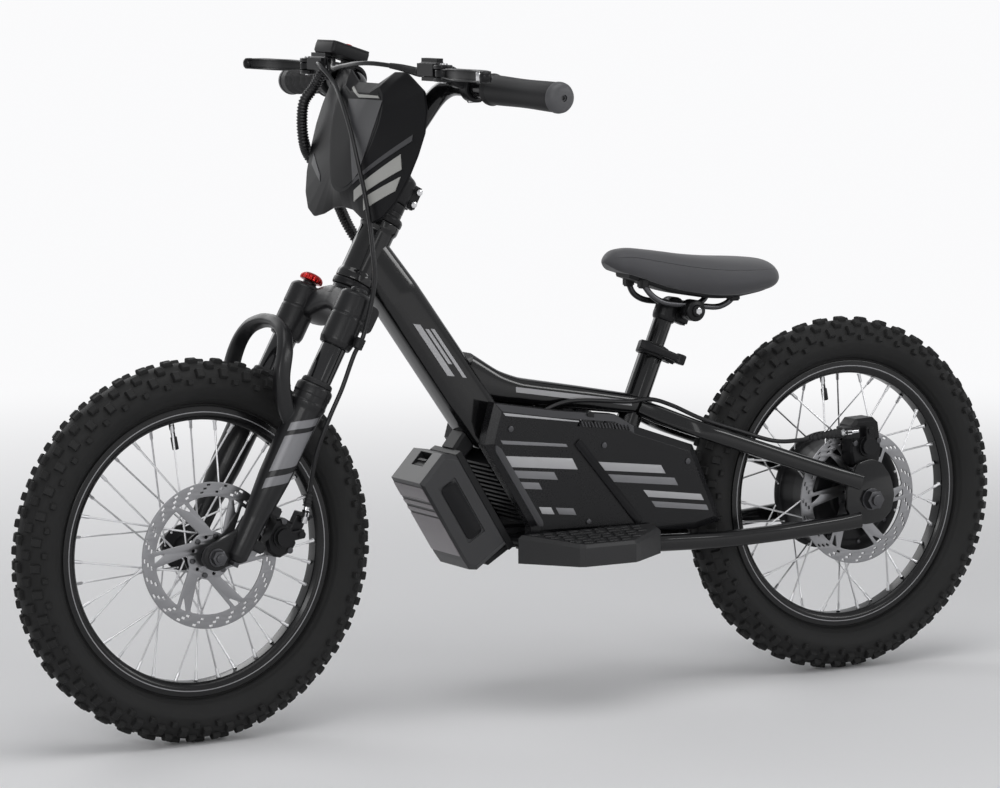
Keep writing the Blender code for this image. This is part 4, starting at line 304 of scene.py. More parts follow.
def piece(name, shells, material, body, node=None, sharp=32):
    # several shells made one object that rides on a body and may stand for a CAD node
    points, faces, start = [], [], 0
    for verts, blocks in shells:
        points.append(verts)
        for block in blocks:
            faces += (block + start).tolist()
        start += len(verts)
    mesh = bpy.data.meshes.new(name)
    mesh.from_pydata(np.concatenate(points).tolist(), [], faces)
    mesh.shade_smooth()
    mesh.set_sharp_from_angle(angle=math.radians(sharp))
    mesh.materials.append(material)
    mesh.validate()
    obj = bpy.data.objects.new(name, mesh)
    bpy.context.scene.collection.objects.link(obj)
    if body:
        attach(obj, body)
    if node:
        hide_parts(node)
    return obj


# shader groups put out only values, masks and normals that vary over a surface

def newGroup(name, inputs, outputs):
    # a shader group with number inputs, and outputs of the given kinds
    group = bpy.data.node_groups.new(name, "ShaderNodeTree")
    for label, value in inputs:
        socket = group.interface.new_socket(label, in_out="INPUT", socket_type="NodeSocketFloat")
        socket.default_value = value
    for label, kind in outputs:
        group.interface.new_socket(label, in_out="OUTPUT", socket_type=kind)
    return group, group.nodes.new("NodeGroupInput"), group.nodes.new("NodeGroupOutput")


def add(tree, kind, links=(), **settings):
    # a node with its settings, and links from sockets to its named or numbered inputs
    made = tree.nodes.new("ShaderNode" + kind)
    for key, value in settings.items():
        setattr(made, key, value)
    for target, source in links:
        if hasattr(source, "links"):
            tree.links.new(source, made.inputs[target])
        else:
            made.inputs[target].default_value = source
    return made


def maths(tree, operation, *values, clamp=False):
    return add(tree, "Math", list(enumerate(values)), operation=operation, use_clamp=clamp).outputs[0]


def mixed(tree, share, first, second):
    # colour mix of two colours or sockets
    made = add(tree, "Mix", data_type="RGBA")
    for index, source in ((0, share), (6, first), (7, second)):
        if hasattr(source, "links"):
            tree.links.new(source, made.inputs[index])
        else:
            made.inputs[index].default_value = (*source, 1.0) if index else source
    return made.outputs[2]


def makeGrain():
    # fine noise as a height, and broad noise that moves the roughness about its base
    group, given, out = newGroup("surfaceGrain", [("Fine Scale", 900), ("Broad Scale", 14), ("Base", 0.4),
        ("Spread", 0.1)], [("Roughness", "NodeSocketFloat"), ("Height", "NodeSocketFloat"),
        ("Broad", "NodeSocketFloat")])
    where = add(group, "TexCoord").outputs["Object"]
    fine = add(group, "TexNoise", [("Vector", where), ("Scale", given.outputs["Fine Scale"]), ("Detail", 3.0)])
    broad = add(group, "TexNoise", [("Vector", where), ("Scale", given.outputs["Broad Scale"]),
        ("Detail", 4.0)])
    middle = maths(group, "SUBTRACT", broad.outputs["Fac"], 0.5)
    rough = maths(group, "MULTIPLY_ADD", middle, given.outputs["Spread"], given.outputs["Base"])
    finer = maths(group, "SUBTRACT", fine.outputs["Fac"], 0.5)
    rough = maths(group, "MULTIPLY_ADD", finer, maths(group, "MULTIPLY", given.outputs["Spread"], 0.5), rough)
    group.links.new(rough, out.inputs["Roughness"])
    group.links.new(fine.outputs["Fac"], out.inputs["Height"])
    group.links.new(broad.outputs["Fac"], out.inputs["Broad"])
    return group


def makeEdge():
    # rounded normal, and a worn-edge mask where it leaves the true one, broken up by noise
    group, given, out = newGroup("softEdge", [("Radius", 0.0008), ("Wear", 0.5)],
        [("Normal", "NodeSocketVector"), ("Mask", "NodeSocketFloat")])
    bevel = add(group, "Bevel", [("Radius", given.outputs["Radius"])], samples=6)
    flat = add(group, "NewGeometry").outputs["True Normal"]
    same = add(group, "VectorMath", [(0, bevel.outputs[0]), (1, flat)],
        operation="DOT_PRODUCT").outputs["Value"]
    where = add(group, "TexCoord").outputs["Object"]
    noise = add(group, "TexNoise", [("Vector", where), ("Scale", 120.0), ("Detail", 4.0)]).outputs["Fac"]
    away = maths(group, "MULTIPLY", maths(group, "SUBTRACT", 1.0, same), 4.0)
    broken = maths(group, "MULTIPLY", away, maths(group, "SUBTRACT", noise, 0.25))
    mask = maths(group, "MULTIPLY", broken, given.outputs["Wear"], clamp=True)
    group.links.new(bevel.outputs[0], out.inputs["Normal"])
    group.links.new(mask, out.inputs["Mask"])
    return group


grainGroup, edgeGroup = makeGrain(), makeEdge()


def useGroup(tree, group, **values):
    made = tree.nodes.new("ShaderNodeGroup")
    made.node_tree = group
    for label, value in values.items():
        made.inputs[label.replace("_", " ")].default_value = value
    return made


def finish(name, colour, rough, metal=0.0, spread=0.1, fine=900, broad=14, bump=0.05, depth=0.00005, tone=0.15,
        edge=0.0, wear=0.0, worn=None, coat=0.0, coatRough=0.08, specular=0.5, sheen=0.0):
    # one material: a tone that wanders about the colour, grain in roughness and bump, soft edges
    material = bpy.data.materials.new(name)
    material.use_nodes = True
    tree = material.node_tree
    shader = tree.nodes["Principled BSDF"]
    for label, value in (("Metallic", metal), ("Coat Weight", coat), ("Coat Roughness", coatRough),
            ("Specular IOR Level", specular), ("Sheen Weight", sheen)):
        shader.inputs[label].default_value = value
    grain = useGroup(tree, grainGroup, Fine_Scale=fine, Broad_Scale=broad, Base=rough, Spread=spread)
    ramp = add(tree, "Mix", data_type="RGBA", blend_type="MIX")
    dark, light = [[max(0.0, c * (1 + k * tone)) for c in colour] + [1.0] for k in (-1, 1)]
    ramp.inputs[6].default_value, ramp.inputs[7].default_value = dark, light
    tree.links.new(grain.outputs["Broad"], ramp.inputs[0])
    colourOut, roughOut = ramp.outputs[2], grain.outputs["Roughness"]
    bumpNode = add(tree, "Bump", [("Strength", bump), ("Distance", depth), ("Height", grain.outputs["Height"])])
    if edge:
        soft = useGroup(tree, edgeGroup, Radius=edge, Wear=wear)
        tree.links.new(soft.outputs["Normal"], bumpNode.inputs["Normal"])
        if wear:
            colourOut = mixed(tree, soft.outputs["Mask"], colourOut, worn or [c * 3 + 0.02 for c in colour])
    tree.links.new(colourOut, shader.inputs["Base Color"])
    tree.links.new(roughOut, shader.inputs["Roughness"])
    tree.links.new(bumpNode.outputs[0], shader.inputs["Normal"])
    return material


paint = finish("glossBlackPaint", (0.005, 0.005, 0.0055), 0.16, spread=0.06, fine=420, bump=0.03, depth=0.0001,
    edge=0.0008, coat=0.35, coatRough=0.05, specular=0.3)
alloy = finish("satinBlackAlloy", (0.01, 0.01, 0.011), 0.33, metal=0.2, spread=0.12, fine=1500, bump=0.1,
    edge=0.0009, wear=0.3, worn=(0.12, 0.12, 0.125), tone=0.2, specular=0.25)
casting = finish("satinBlackCasting", (0.011, 0.011, 0.012), 0.36, spread=0.12, fine=900, bump=0.12,
    depth=0.0001, edge=0.001, coat=0.1, coatRough=0.12, specular=0.26)
plastic = finish("mouldedBlackPlastic", (0.01, 0.01, 0.011), 0.46, spread=0.12, fine=1300, bump=0.22,
    depth=0.0001, edge=0.0008, specular=0.25)
rimPaint = finish("rimBlack", (0.007, 0.007, 0.0075), 0.26, metal=0.1, spread=0.08, fine=800, coat=0.2,
    coatRough=0.12, specular=0.3)
rubber = finish("tyreRubber", (0.017, 0.017, 0.017), 0.62, spread=0.16, fine=1100, broad=22, bump=0.35,
    depth=0.0002, tone=0.3, specular=0.22)
gripRubber = finish("gripRubber", (0.012, 0.012, 0.013), 0.52, spread=0.12, fine=1600, bump=0.35,
    depth=0.0001, specular=0.32)
hoseRubber = finish("hoseJacket", (0.008, 0.008, 0.009), 0.33, spread=0.1, fine=900, bump=0.08, specular=0.35)
steel = finish("brightSteel", (0.6, 0.6, 0.61), 0.22, metal=1.0, spread=0.12, fine=2000, bump=0.06, tone=0.06)
spokeSteel = finish("spokeSteel", (0.78, 0.78, 0.79), 0.4, metal=1.0, spread=0.12, fine=2000,
    bump=0.05, tone=0.05)
darkSteel = finish("darkSteel", (0.085, 0.085, 0.09), 0.32, metal=0.9, spread=0.12, fine=1800, bump=0.08)
# painted highlight: a pale ring that stands for the light streak on the black rims
rimPaintedHighlight = finish("rimPaintedHighlight", (0.3, 0.3, 0.31), 0.35, metal=0.3, spread=0.08, fine=1500, bump=0.04)
red = finish("redAnodised", (0.5, 0.012, 0.01), 0.26, metal=0.65, spread=0.1, fine=1600, bump=0.08,
    edge=0.0006, wear=0.3, worn=(0.75, 0.2, 0.18))


def discFinish(name, x):
    # brushed steel whose fine lines run round the wheel's axle at x
    material = finish(name, (0.3, 0.3, 0.31), 0.3, metal=1.0, spread=0.1, fine=1500, bump=0.05, tone=0.05)
    tree = material.node_tree
    shader = tree.nodes["Principled BSDF"]
    where = add(tree, "TexCoord").outputs["Object"]
    local = add(tree, "Mapping", [("Vector", where), ("Location", (-x, 0, -axleZ))]).outputs[0]
    flat = add(tree, "VectorMath", [(0, local), (1, (1, 0, 1))], operation="MULTIPLY").outputs[0]
    reach = add(tree, "VectorMath", [(0, flat)], operation="LENGTH").outputs["Value"]
    rings = add(tree, "TexNoise", [("W", maths(tree, "MULTIPLY", reach, 2200.0)), ("Scale", 1.0),
        ("Detail", 2.0)], noise_dimensions="1D").outputs["Fac"]
    tree.links.new(maths(tree, "MULTIPLY_ADD", rings, 0.22, 0.24), shader.inputs["Roughness"])
    lines = add(tree, "Bump", [("Strength", 0.12), ("Distance", 0.00004), ("Height", rings)])
    tree.links.new(lines.outputs[0], shader.inputs["Normal"])
    return material


axleZ = 0.211
# the line and its place on the rim's side give the width and radius of a painted highlight ring
wheel = {"x": 0.424, "tread": 0.2065, "low": 0.1615, "half": 0.0262, "knob": 0.0045, "rows": 44,
    "flange": 0.1595, "paintedHighlightAt": 0.1524, "line": 0.0011, "rimHalf": 0.0125, "bed": 0.144,
    "spokeRadius": 0.00108, "perFlange": 18, "nipple": (0.0019, 0.011), "head": (0.0021, 0.0032)}


def wheelPlace(x):
    # Z along the axle, towards the bike's left
    return shift(x, 0, axleZ) @ turn(-90, "X")


def tyre(name, x, body, node):
    # ellipse (radius = middle + rise cos a, across = half sin a) with raised lines, turned round the axle
    w = wheel
    rise = (w["tread"] - w["low"]) / (1 - math.cos(math.radians(158)))
    middle = w["tread"] - rise
    a = np.radians(np.linspace(-158, 158, 65))
    degrees = np.abs(np.degrees(a))
    lines = sum(0.0007 * np.exp(-((degrees - at) / 2.2) ** 2) for at in (96, 132, 149))
    profile = np.stack([middle + (rise + lines) * np.cos(a), (w["half"] + lines) * np.sin(a)], -1)
    bead = [(w["flange"] - 0.006, 0.01), (w["flange"] - 0.006, -0.01)]
    place = wheelPlace(x)
    shells = [turned(np.concatenate([profile, bead]), 144, place, closed=True)]
    kinds = [((0.005, 0.003), (8.5,), 0), ((0.0043, 0.0052), (58,), 0), ((0.0044, 0.0044), (33,), 1),
        ((0.003, 0.0028), (79,), 1)]
    for (long, wide), angles, odd in kinds:
        size = np.array([(1.08, -0.0012), (1.0, w["knob"] - 0.0009), (0.82, w["knob"])])
        corner = np.array([(-1, -1), (1, -1), (1, 1), (-1, 1)], float) * (long, wide)
        rings = np.concatenate([size[:, None, :1] * corner[None], np.repeat(size[:, None, 1:], 4, 1)], -1)
        block = gridShell(rings)
        across = np.radians(np.array([s * angle for angle in angles for s in (1, -1)]))
        around = (np.arange(w["rows"]) + odd * 0.5) * tau / w["rows"]
        p, t = (v.ravel() for v in np.meshgrid(across, around))
        t = t + np.where(p > 0, 0.25, -0.25) * 0.1 * tau / w["rows"]
        out = unit(np.stack([np.cos(p) * w["half"], np.sin(p) * rise], -1))
        places = np.zeros((len(p), 4, 4))
        places[:, :3, 0] = np.stack([-np.sin(t), np.cos(t), 0 * t], -1)
        places[:, :3, 2] = np.stack([out[:, 0] * np.cos(t), out[:, 0] * np.sin(t), out[:, 1]], -1)
        places[:, :3, 1] = np.cross(places[:, :3, 2], places[:, :3, 0])
        reach = middle + rise * np.cos(p)
        places[:, :3, 3] = np.stack([reach * np.cos(t), reach * np.sin(t), w["half"] * np.sin(p)], -1)
        places[:, 3, 3] = 1
        shells.append(repeated(block, place @ places))
    piece(name, shells, rubber, body, node, sharp=38)


def rim(name, x, body, node):
    # deep box rim with two hooked flanges, its profile turned round the axle
    w = wheel
    half, seat = w["rimHalf"], w["flange"] - 0.0075
    side = [(w["flange"], half - 0.0018), (w["flange"], half), (seat - 0.002, half),
        (seat - 0.0045, half - 0.0012), (w["bed"], half - 0.0042)]
    inner = [(seat, -half + 0.0018), (seat, half - 0.0018)]
    profile = np.array(side + [(r, -y) for r, y in reversed(side)] + inner)
    shells = [lathedRing(profile, 0.0012, 4, 160, wheelPlace(x))]
    # a thin pale ring on each side wall is a painted highlight streak, not a part of the rim
    line = [(w["paintedHighlightAt"] + w["line"], half - 0.0002), (w["paintedHighlightAt"] + w["line"], half + 0.0002),
        (w["paintedHighlightAt"], half + 0.0002), (w["paintedHighlightAt"], half - 0.0002)]
    paintedHighlightBands = [turned([(r, side * y) for r, y in line], 160, wheelPlace(x), closed=True) for side in (1, -1)]
    piece(name + "_painted_highlight", paintedHighlightBands, rimPaintedHighlight, body)
    piece(name, shells, rimPaint, body, node)


def lacing(name, x, seat, flangeLeft, flangeRight, spread, body, node):
    # each spoke, nipple and head is a unit form stretched along the run from its flange to the rim's bed
    w, place = wheel, wheelPlace(x)
    count = w["perFlange"]
    index = np.arange(count)
    lean = np.where(index % 2, 1.0, -1.0)
    starts, ends = [], []
    for side, flange in ((1, flangeLeft), (-1, flangeRight)):
        rimTurn = index * tau / count + (0 if side > 0 else tau / count / 2)
        hubTurn = rimTurn - lean * math.radians(spread)
        y = side * (flange + lean * 0.0012)
        starts.append(np.stack([seat * np.cos(hubTurn), seat * np.sin(hubTurn), y], -1))
        bed = w["bed"] - 0.0004
        ends.append(np.stack([bed * np.cos(rimTurn), bed * np.sin(rimTurn),
            side * (0.0025 + lean * 0.0018)], -1))
    start, end = np.concatenate(starts), np.concatenate(ends)
    run = end - start
    length = np.linalg.norm(run, axis=1)
    z = run / length[:, None]
    sideways = unit(np.cross(z, (0, 0, 1.0)))

    def stretched(radius, origin, reach):
        places = np.zeros((len(z), 4, 4))
        places[:, :3, 0], places[:, :3, 1] = sideways * radius, np.cross(z, sideways) * radius
        places[:, :3, 2], places[:, :3, 3] = z * reach[:, None], origin
        places[:, 3, 3] = 1
        return place @ places

    angle = np.arange(8) * tau / 8
    forms = [gridShell(np.array([[(r * math.cos(q), r * math.sin(q), h) for q in angle] for r, h in form]))
        for form in (((1, 0), (1, 1)), ((0.55, 0), (1, 0.12), (1, 0.8), (1.35, 0.9), (1.35, 1)),
        ((0.2, -0.6), (0.8, -0.45), (1, 0), (0.8, 0.45), (0.2, 0.6)))]
    nipple, nippleLength = w["nipple"]
    head, headLength = w["head"]
    shells = [repeated(forms[0], stretched(w["spokeRadius"], start, length)),
        repeated(forms[1], stretched(nipple, end - z * nippleLength, np.full(len(z), nippleLength))),
        repeated(forms[2], stretched(head, start, np.full(len(z), headLength)))]
    piece(name, shells, spokeSteel, body, node, sharp=45)


def frontHub():
    # two flanges on a waisted shell, a closed profile turned round the axle, with the disc bolts in a ring
    place = wheelPlace(wheel["x"])
    half, flange, shell = 0.0021, 0.0255, 0.0135
    profile = [(0.006, 0.0388), (0.018, 0.0388), (0.018, 0.033), (shell + 0.004, 0.0302),
        (flange, 0.028 + half), (flange, 0.028 - half), (shell + 0.001, 0.0235), (shell - 0.001, 0.01),
        (shell - 0.001, -0.01), (shell + 0.001, -0.0235), (flange, -0.028 + half), (flange, -0.028 - half),
        (shell, -0.0305), (0.0115, -0.0388), (0.006, -0.0388)]
    shells = [lathedRing(profile, 0.0008, 4, 56, place)]
    bolt = rod(0.003, 0, 0.0022, np.eye(4), 12)
    bolts = [place @ turn(60 * k + 12, "Z") @ shift(0.022, 0, 0.0412) for k in range(6)]
    piece("front_hub_shell", shells, alloy, "front_wheel", "front_hub")
    piece("front_disc_bolts", [repeated(bolt, bolts)], darkSteel, "front_wheel")


def motorShell():
    # drum with a flange at each edge and stepped covers, a closed profile turned round the axle
    place = wheelPlace(-wheel["x"])
    radius, flange, left, right = 0.0645, 0.0705, 0.028, -0.04
    profile = [(0.0078, 0.0366), (0.0185, 0.0366), (0.0185, left + 0.003), (0.03, left + 0.0018),
        (0.0325, left + 0.0004), (0.052, left), (0.0545, left - 0.0014), (radius - 0.004, left - 0.0016),
        (flange, left - 0.0032), (flange, left - 0.0072), (radius + 0.0015, left - 0.009),
        (radius, left - 0.012), (radius - 0.0012, -0.004), (radius, right + 0.014),
        (radius + 0.0015, right + 0.0115), (flange, right + 0.0102), (flange, right + 0.006),
        (radius - 0.004, right + 0.004), (0.056, right + 0.0022), (0.034, right + 0.0014), (0.031, right),
        (0.0078, right)]
    shells = [lathedRing(profile, 0.0012, 4, 96, place)]
    screw = rod(0.0026, -0.001, 0.0012, np.eye(4), 12)
    around = [place @ turn(45 * k + 10, "Z") @ shift(0.0575, 0, left - 0.0014) for k in range(8)]
    around += [place @ turn(45 * k + 10, "Z") @ shift(0.0585, 0, right + 0.0032) @ turn(180, "X")
        for k in range(8)]
    around += [place @ turn(60 * k + 12, "Z") @ shift(0.022, 0, 0.0392) for k in range(6)]
    piece("motor_screws", [repeated(screw, around)], darkSteel, "rear_wheel")
    piece("motor_drum", shells, alloy, "rear_wheel", "motor_shell")


def disc(name, x, y, body, node):
    # round plate with six swept windows, a small window in each arm and slots in slanting threes
    outer, track, carrier = 0.08, 0.0645, 0.0265
    outlines = [circlePoints(outer, 120), circlePoints(0.0105, 32)]
    for k in range(6):
        a = 60 * k
        window = np.concatenate([arcPoints(track, a + 7.5, a + 52.5, 11), arcPoints(carrier, a + 24, a - 4, 5)])
        outlines.append(softened(window, 0.003, 4))
        slit = [arcPoints(track + 0.001, a - 3.4, a + 3.4, 3), arcPoints(track - 0.01, a - 4.5, a - 6.5, 2)]
        outlines.append(softened(np.concatenate(slit), 0.0012, 3))
        outlines.append(circlePoints(0.0021, 10, arcPoints(0.0205, a + 42, a + 42, 1)[0]))
    for k in range(24):
        for row, reach in enumerate((0.077, 0.0732, 0.0694)):
            a = 15 * k + row * 3.4
            outlines.append(np.concatenate([arcPoints(reach + 0.0012, a - 1.8, a + 1.8, 3),
                arcPoints(reach - 0.0012, a + 2.0, a - 1.6, 3)]))
    shells = [plate(outlines, 0.0019, wheelPlace(x) @ shift(0, 0, y), 0.00015)]
    piece(name, shells, discFinish(name + "Steel", x), body, node)


for end, x, body in (("front", wheel["x"], "front_wheel"), ("rear", -wheel["x"], "rear_wheel")):
    tyre(end + "_tyre_rubber", x, body, end + "_tyre")
    rim(end + "_rim_alloy", x, body, end + "_rim")
    valve = wheelPlace(x) @ turn(100, "Z") @ turn(90, "Y")
    stem = [rod(0.003, -0.1445, -0.136, valve, 16), rod(0.0024, -0.138, -0.118, valve, 16),
        rod(0.0036, -0.128, -0.114, valve, 12)]
    piece(end + "_valve", stem, gripRubber, body, None)
frontHub()
motorShell()
lacing("front_spokes", wheel["x"], 0.0225, 0.028, 0.028, 60, "front_wheel", "front_hub")
lacing("rear_spokes", -wheel["x"], 0.0675, 0.0229, 0.0319, 20, "rear_wheel", "motor_shell")
disc("front_disc_rotor", wheel["x"], 0.04, "front_wheel", "front_disc")
disc("rear_disc_rotor", -wheel["x"], 0.038, "rear_wheel", "rear_disc")
print("wheels made")

# places shared by the fork, the bar and the frame

headTurn = math.radians(61.5)
steerUp = np.array([-math.cos(headTurn), 0, math.sin(headTurn)])
steerForward = np.array([math.sin(headTurn), 0, math.cos(headTurn)])
steerOrigin = np.array([0.424, 0, axleZ]) - steerForward * 0.04
fork = placeAlong(steerUp, steerOrigin)
raceTop, headLow, headHigh, spacerTop = 0.335, 0.3436, 0.4181, 0.4434
stemLow, stemTop, clampS, stemReach = 0.4437, 0.4727, 0.4602, 0.04
legForward, legY = 0.019, 0.06
clipAt = spot(fork, 0.004, 0.082, 0.2745)
barMiddle = spot(fork, stemReach, 0, clampS)
barTop = barMiddle[2] + 0.0995
barKnots = np.array([barMiddle, barMiddle + (0, 0.038, 0), (barMiddle[0] - 0.0415, 0.098, barTop - 0.0005),
    (barMiddle[0] - 0.0625, 0.315, barTop - 0.0095)])
seatTurn = math.radians(67.4)
seatUp = np.array([-math.cos(seatTurn), 0, math.sin(seatTurn)])
seatFoot = np.array([-0.1644, 0, 0.4])
seatFrame = placeAlong(seatUp, seatFoot)


grip = {"perch": 0.156, "end": 0.315, "past": 0.003, "length": 0.13}


def barFrame(side, y=grip["perch"]):
    # on the straight outer part of the bar, y from the middle, Z outward
    inner, outer = barKnots[2:4]
    start = inner + (outer - inner) * (y - inner[1]) / (outer[1] - inner[1])
    return placeAlong((outer - inner) * (1, side, 1), start * (1, side, 1))


def gripPlace(side):
    # a grip starts its own length back from a point just past the bar's end
    inner, outer = barKnots[2:4]
    end = np.linalg.norm(outer - inner) * (grip["end"] - grip["perch"]) / (outer[1] - inner[1])
    return barFrame(side) @ shift(0, 0, end + grip["past"] - grip["length"])


def leg(side):
    # a fork leg's own axis, Z up the leg
    return fork @ shift(legForward, side * legY, 0)


def forkCrown():
    # crown arms as a rounded box carried from leg to leg over the steerer
    shells = []
    arm = [((0.005, -0.062, 0.3055), 0.036, 0.031, 0.007), ((0.004, -0.042, 0.306), 0.037, 0.032, 0.008),
        ((0.002, -0.02, 0.3165), 0.04, 0.031, 0.009), ((0.001, 0.0, 0.319), 0.042, 0.029, 0.009),
        ((0.002, 0.02, 0.3165), 0.04, 0.031, 0.009), ((0.004, 0.042, 0.306), 0.037, 0.032, 0.008),
        ((0.005, 0.062, 0.3055), 0.036, 0.031, 0.007)]
    shells.append(placed(boxTube(arm, 0.014, 0.003, (1, 0, 0)), fork))
    shells.append(rod(0.0143, 0.31, stemTop - 0.001, fork, 40))
    shells.append(lathed([(0.0002, 0.322), (0.0225, 0.322), (0.0215, 0.329), (0.02, 0.331), (0.02, raceTop),
        (0.0002, raceTop)], 0.001, 4, 48, fork))
    for side in (1, -1):
        socket = [(0.0002, 0.3262), (0.014, 0.3262), (0.0165, 0.3245), (0.019, 0.3215), (0.019, 0.3),
            (0.0182, 0.298), (0.019, 0.296), (0.019, 0.268), (0.0172, 0.262), (0.0002, 0.262)]
        shells.append(lathed(socket, 0.0014, 4, 48, leg(side)))
    shells.append(rod(0.008, 0.325, 0.33, leg(-1), 28, 0.0008))
    cap = [(0.0002, 0.3315), (0.008, 0.3315), (0.0098, 0.3295), (0.0098, 0.326), (0.0002, 0.326)]
    shells.append(lathed(cap, 0.0008, 4, 40, leg(1)))
    piece("crown_forging", shells, casting, steered, "fork_crown")
    tubes = [rod(0.014, 0.15, 0.2635, leg(side), 48) for side in (1, -1)]
    piece("fork_stanchions", tubes, stanchionPaint, steered, "fork_crown")
    clip = placeAlong(steerUp, clipAt)
    ring = lathedRing([(0.0033, -0.006), (0.0055, -0.006), (0.0055, 0.006), (0.0033, 0.006)],
        0.0006, 3, 28, clip)
    web = box((-0.0042, -0.021, -0.0042), (0.0042, -0.0042, 0.0042), clip, 0.001)
    piece("hose_clip", [ring, web], plastic, steered)


def forkLowers():
    # turned sliders with a waist, dropout plates, caliper lugs and an arch carried through soft bends
    shells = []
    for side in (1, -1):
        slider = [(0.0145, 0.2142), (0.0188, 0.2142), (0.0207, 0.2115), (0.0207, 0.203), (0.0201, 0.202),
            (0.0201, 0.195), (0.0207, 0.1935), (0.0203, 0.19), (0.019, 0.185), (0.0184, 0.15), (0.0176, 0.105),
            (0.0158, 0.082), (0.013, 0.056), (0.0118, 0.03), (0.0112, 0.01), (0.006, 0.0045), (0.0002, 0.004),
            (0.0002, 0.21), (0.0145, 0.21)]
        shells.append(lathedRing(slider, 0.0016, 4, 48, leg(side)))
        centre = side * (0.101 + 0.008) / 2
        outline = np.concatenate([[(0.0085, 0.055), (0.0085, 0.01), (0.024, -0.004)],
            arcPoints(0.015, 215, 380, 12, (0.04, 0)), [(0.045, 0.018), (0.031, 0.036), (0.03, 0.055)]])
        place = fork @ shift(0, centre, 0) @ turn(90, "X")
        shells.append(plate([softened(outline, 0.003, 4)], 0.0078, place, 0.001))
    path = [(0.022, 0.06, 0.166), (0.036, 0.0615, 0.172), (0.051, 0.0625, 0.187), (0.0625, 0.062, 0.206),
        (0.069, 0.057, 0.232), (0.0722, 0.043, 0.2505), (0.073, 0.02, 0.26), (0.073, 0, 0.262)]
    path = np.array(path + [(t, -y, s) for t, y, s in reversed(path[:-1])])
    route = smoothPath(path, 0.003)
    share = np.abs(np.linspace(-1, 1, len(route)))
    width = 0.018 - 0.0035 * (1 - share) ** 2
    height = 0.013 + 0.003 * share ** 3
    tangent = unit(np.gradient(route, axis=0))
    out = unit(np.cross(tangent, (1.0, 0, 0.25)))
    arch = carriedBox(route, np.cross(out, tangent), out, width, height, np.full(len(route), 0.0045))
    shells.append(placed(arch, fork))
    for low, high in ((0.066, 0.078), (0.024, 0.036)):
        shells.append(box((-0.0065, 0.0515, low), (legForward, 0.0635, high), fork, 0.0018, 3))
    piece("fork_lower_casting", shells, casting, "sliders", "fork_lowers")
    seals = [lathedRing([(0.0142, 0.2145), (0.0178, 0.2145), (0.0172, 0.219), (0.0158, 0.2205),
        (0.0142, 0.2205)], 0.0006, 3, 48, leg(side)) for side in (1, -1)]
    piece("fork_seals", seals, gripRubber, "sliders")
    plugs = [rod(0.006, -0.0005, 0.004, leg(side), 6, 0.0004) for side in (1, -1)]
    piece("fork_foot_bolts", plugs, darkSteel, "sliders")


def handlebar():
    # a tube of one radius through soft bends
    knots = np.concatenate([(barKnots[1:] * (1, -1, 1))[::-1], barKnots[1:]])
    route = respaced(softened(knots, 0.03, 10, closed=False), 0.004)
    piece("handlebar_tube", [swept(route, 0.0111, 32)], paint, steered, "handlebar")


def endCap(side):
    # domed cap over the grip's closed end, with a socket in its middle
    profile = [(0.0155, 0.1195), (0.0167, 0.1197), (0.0167, 0.1222), (0.016, 0.1256), (0.0143, 0.1285),
        (0.0114, 0.1301), (0.0082, 0.1308), (0.0038, 0.1309), (0.0036, 0.1292), (0.0023, 0.129),
        (0.0021, 0.1274), (0.0002, 0.1274), (0.0002, 0.1262), (0.011, 0.1262), (0.015, 0.124)]
    return turned(np.array(profile)[::-1], 56, gripPlace(side), closed=True)


def gripShape(side, ribDepth, flange):
    # closed soft end, a waisted body with fine rings where they have depth, and a thin flange
    z = np.linspace(0.0075, 0.118, 180)
    body = 0.0156 + 0.0004 * np.cos((z - 0.006) / 0.112 * tau)
    ribs = ribDepth * np.clip(np.cos(z * tau / 0.0042), -0.3, 1) * ((z > 0.016) & (z < 0.105))
    profile = [(0.0112, 0.0), (flange, 0.0), (flange + 0.0003, 0.0022), (flange - 0.0003, 0.0046),
        (0.0165, 0.0062)]
    profile += list(zip(body + ribs, z))
    profile += [(0.0158, 0.1185), (0.0163, 0.1192), (0.0163, 0.1215), (0.0156, 0.125), (0.014, 0.1278),
        (0.0112, 0.1295), (0.008, 0.1302), (0.0036, 0.1303), (0.0034, 0.129), (0.0022, 0.1288), (0.002, 0.127),
        (0.0002, 0.127)]
    return turned(np.array(profile)[::-1], 64, gripPlace(side))


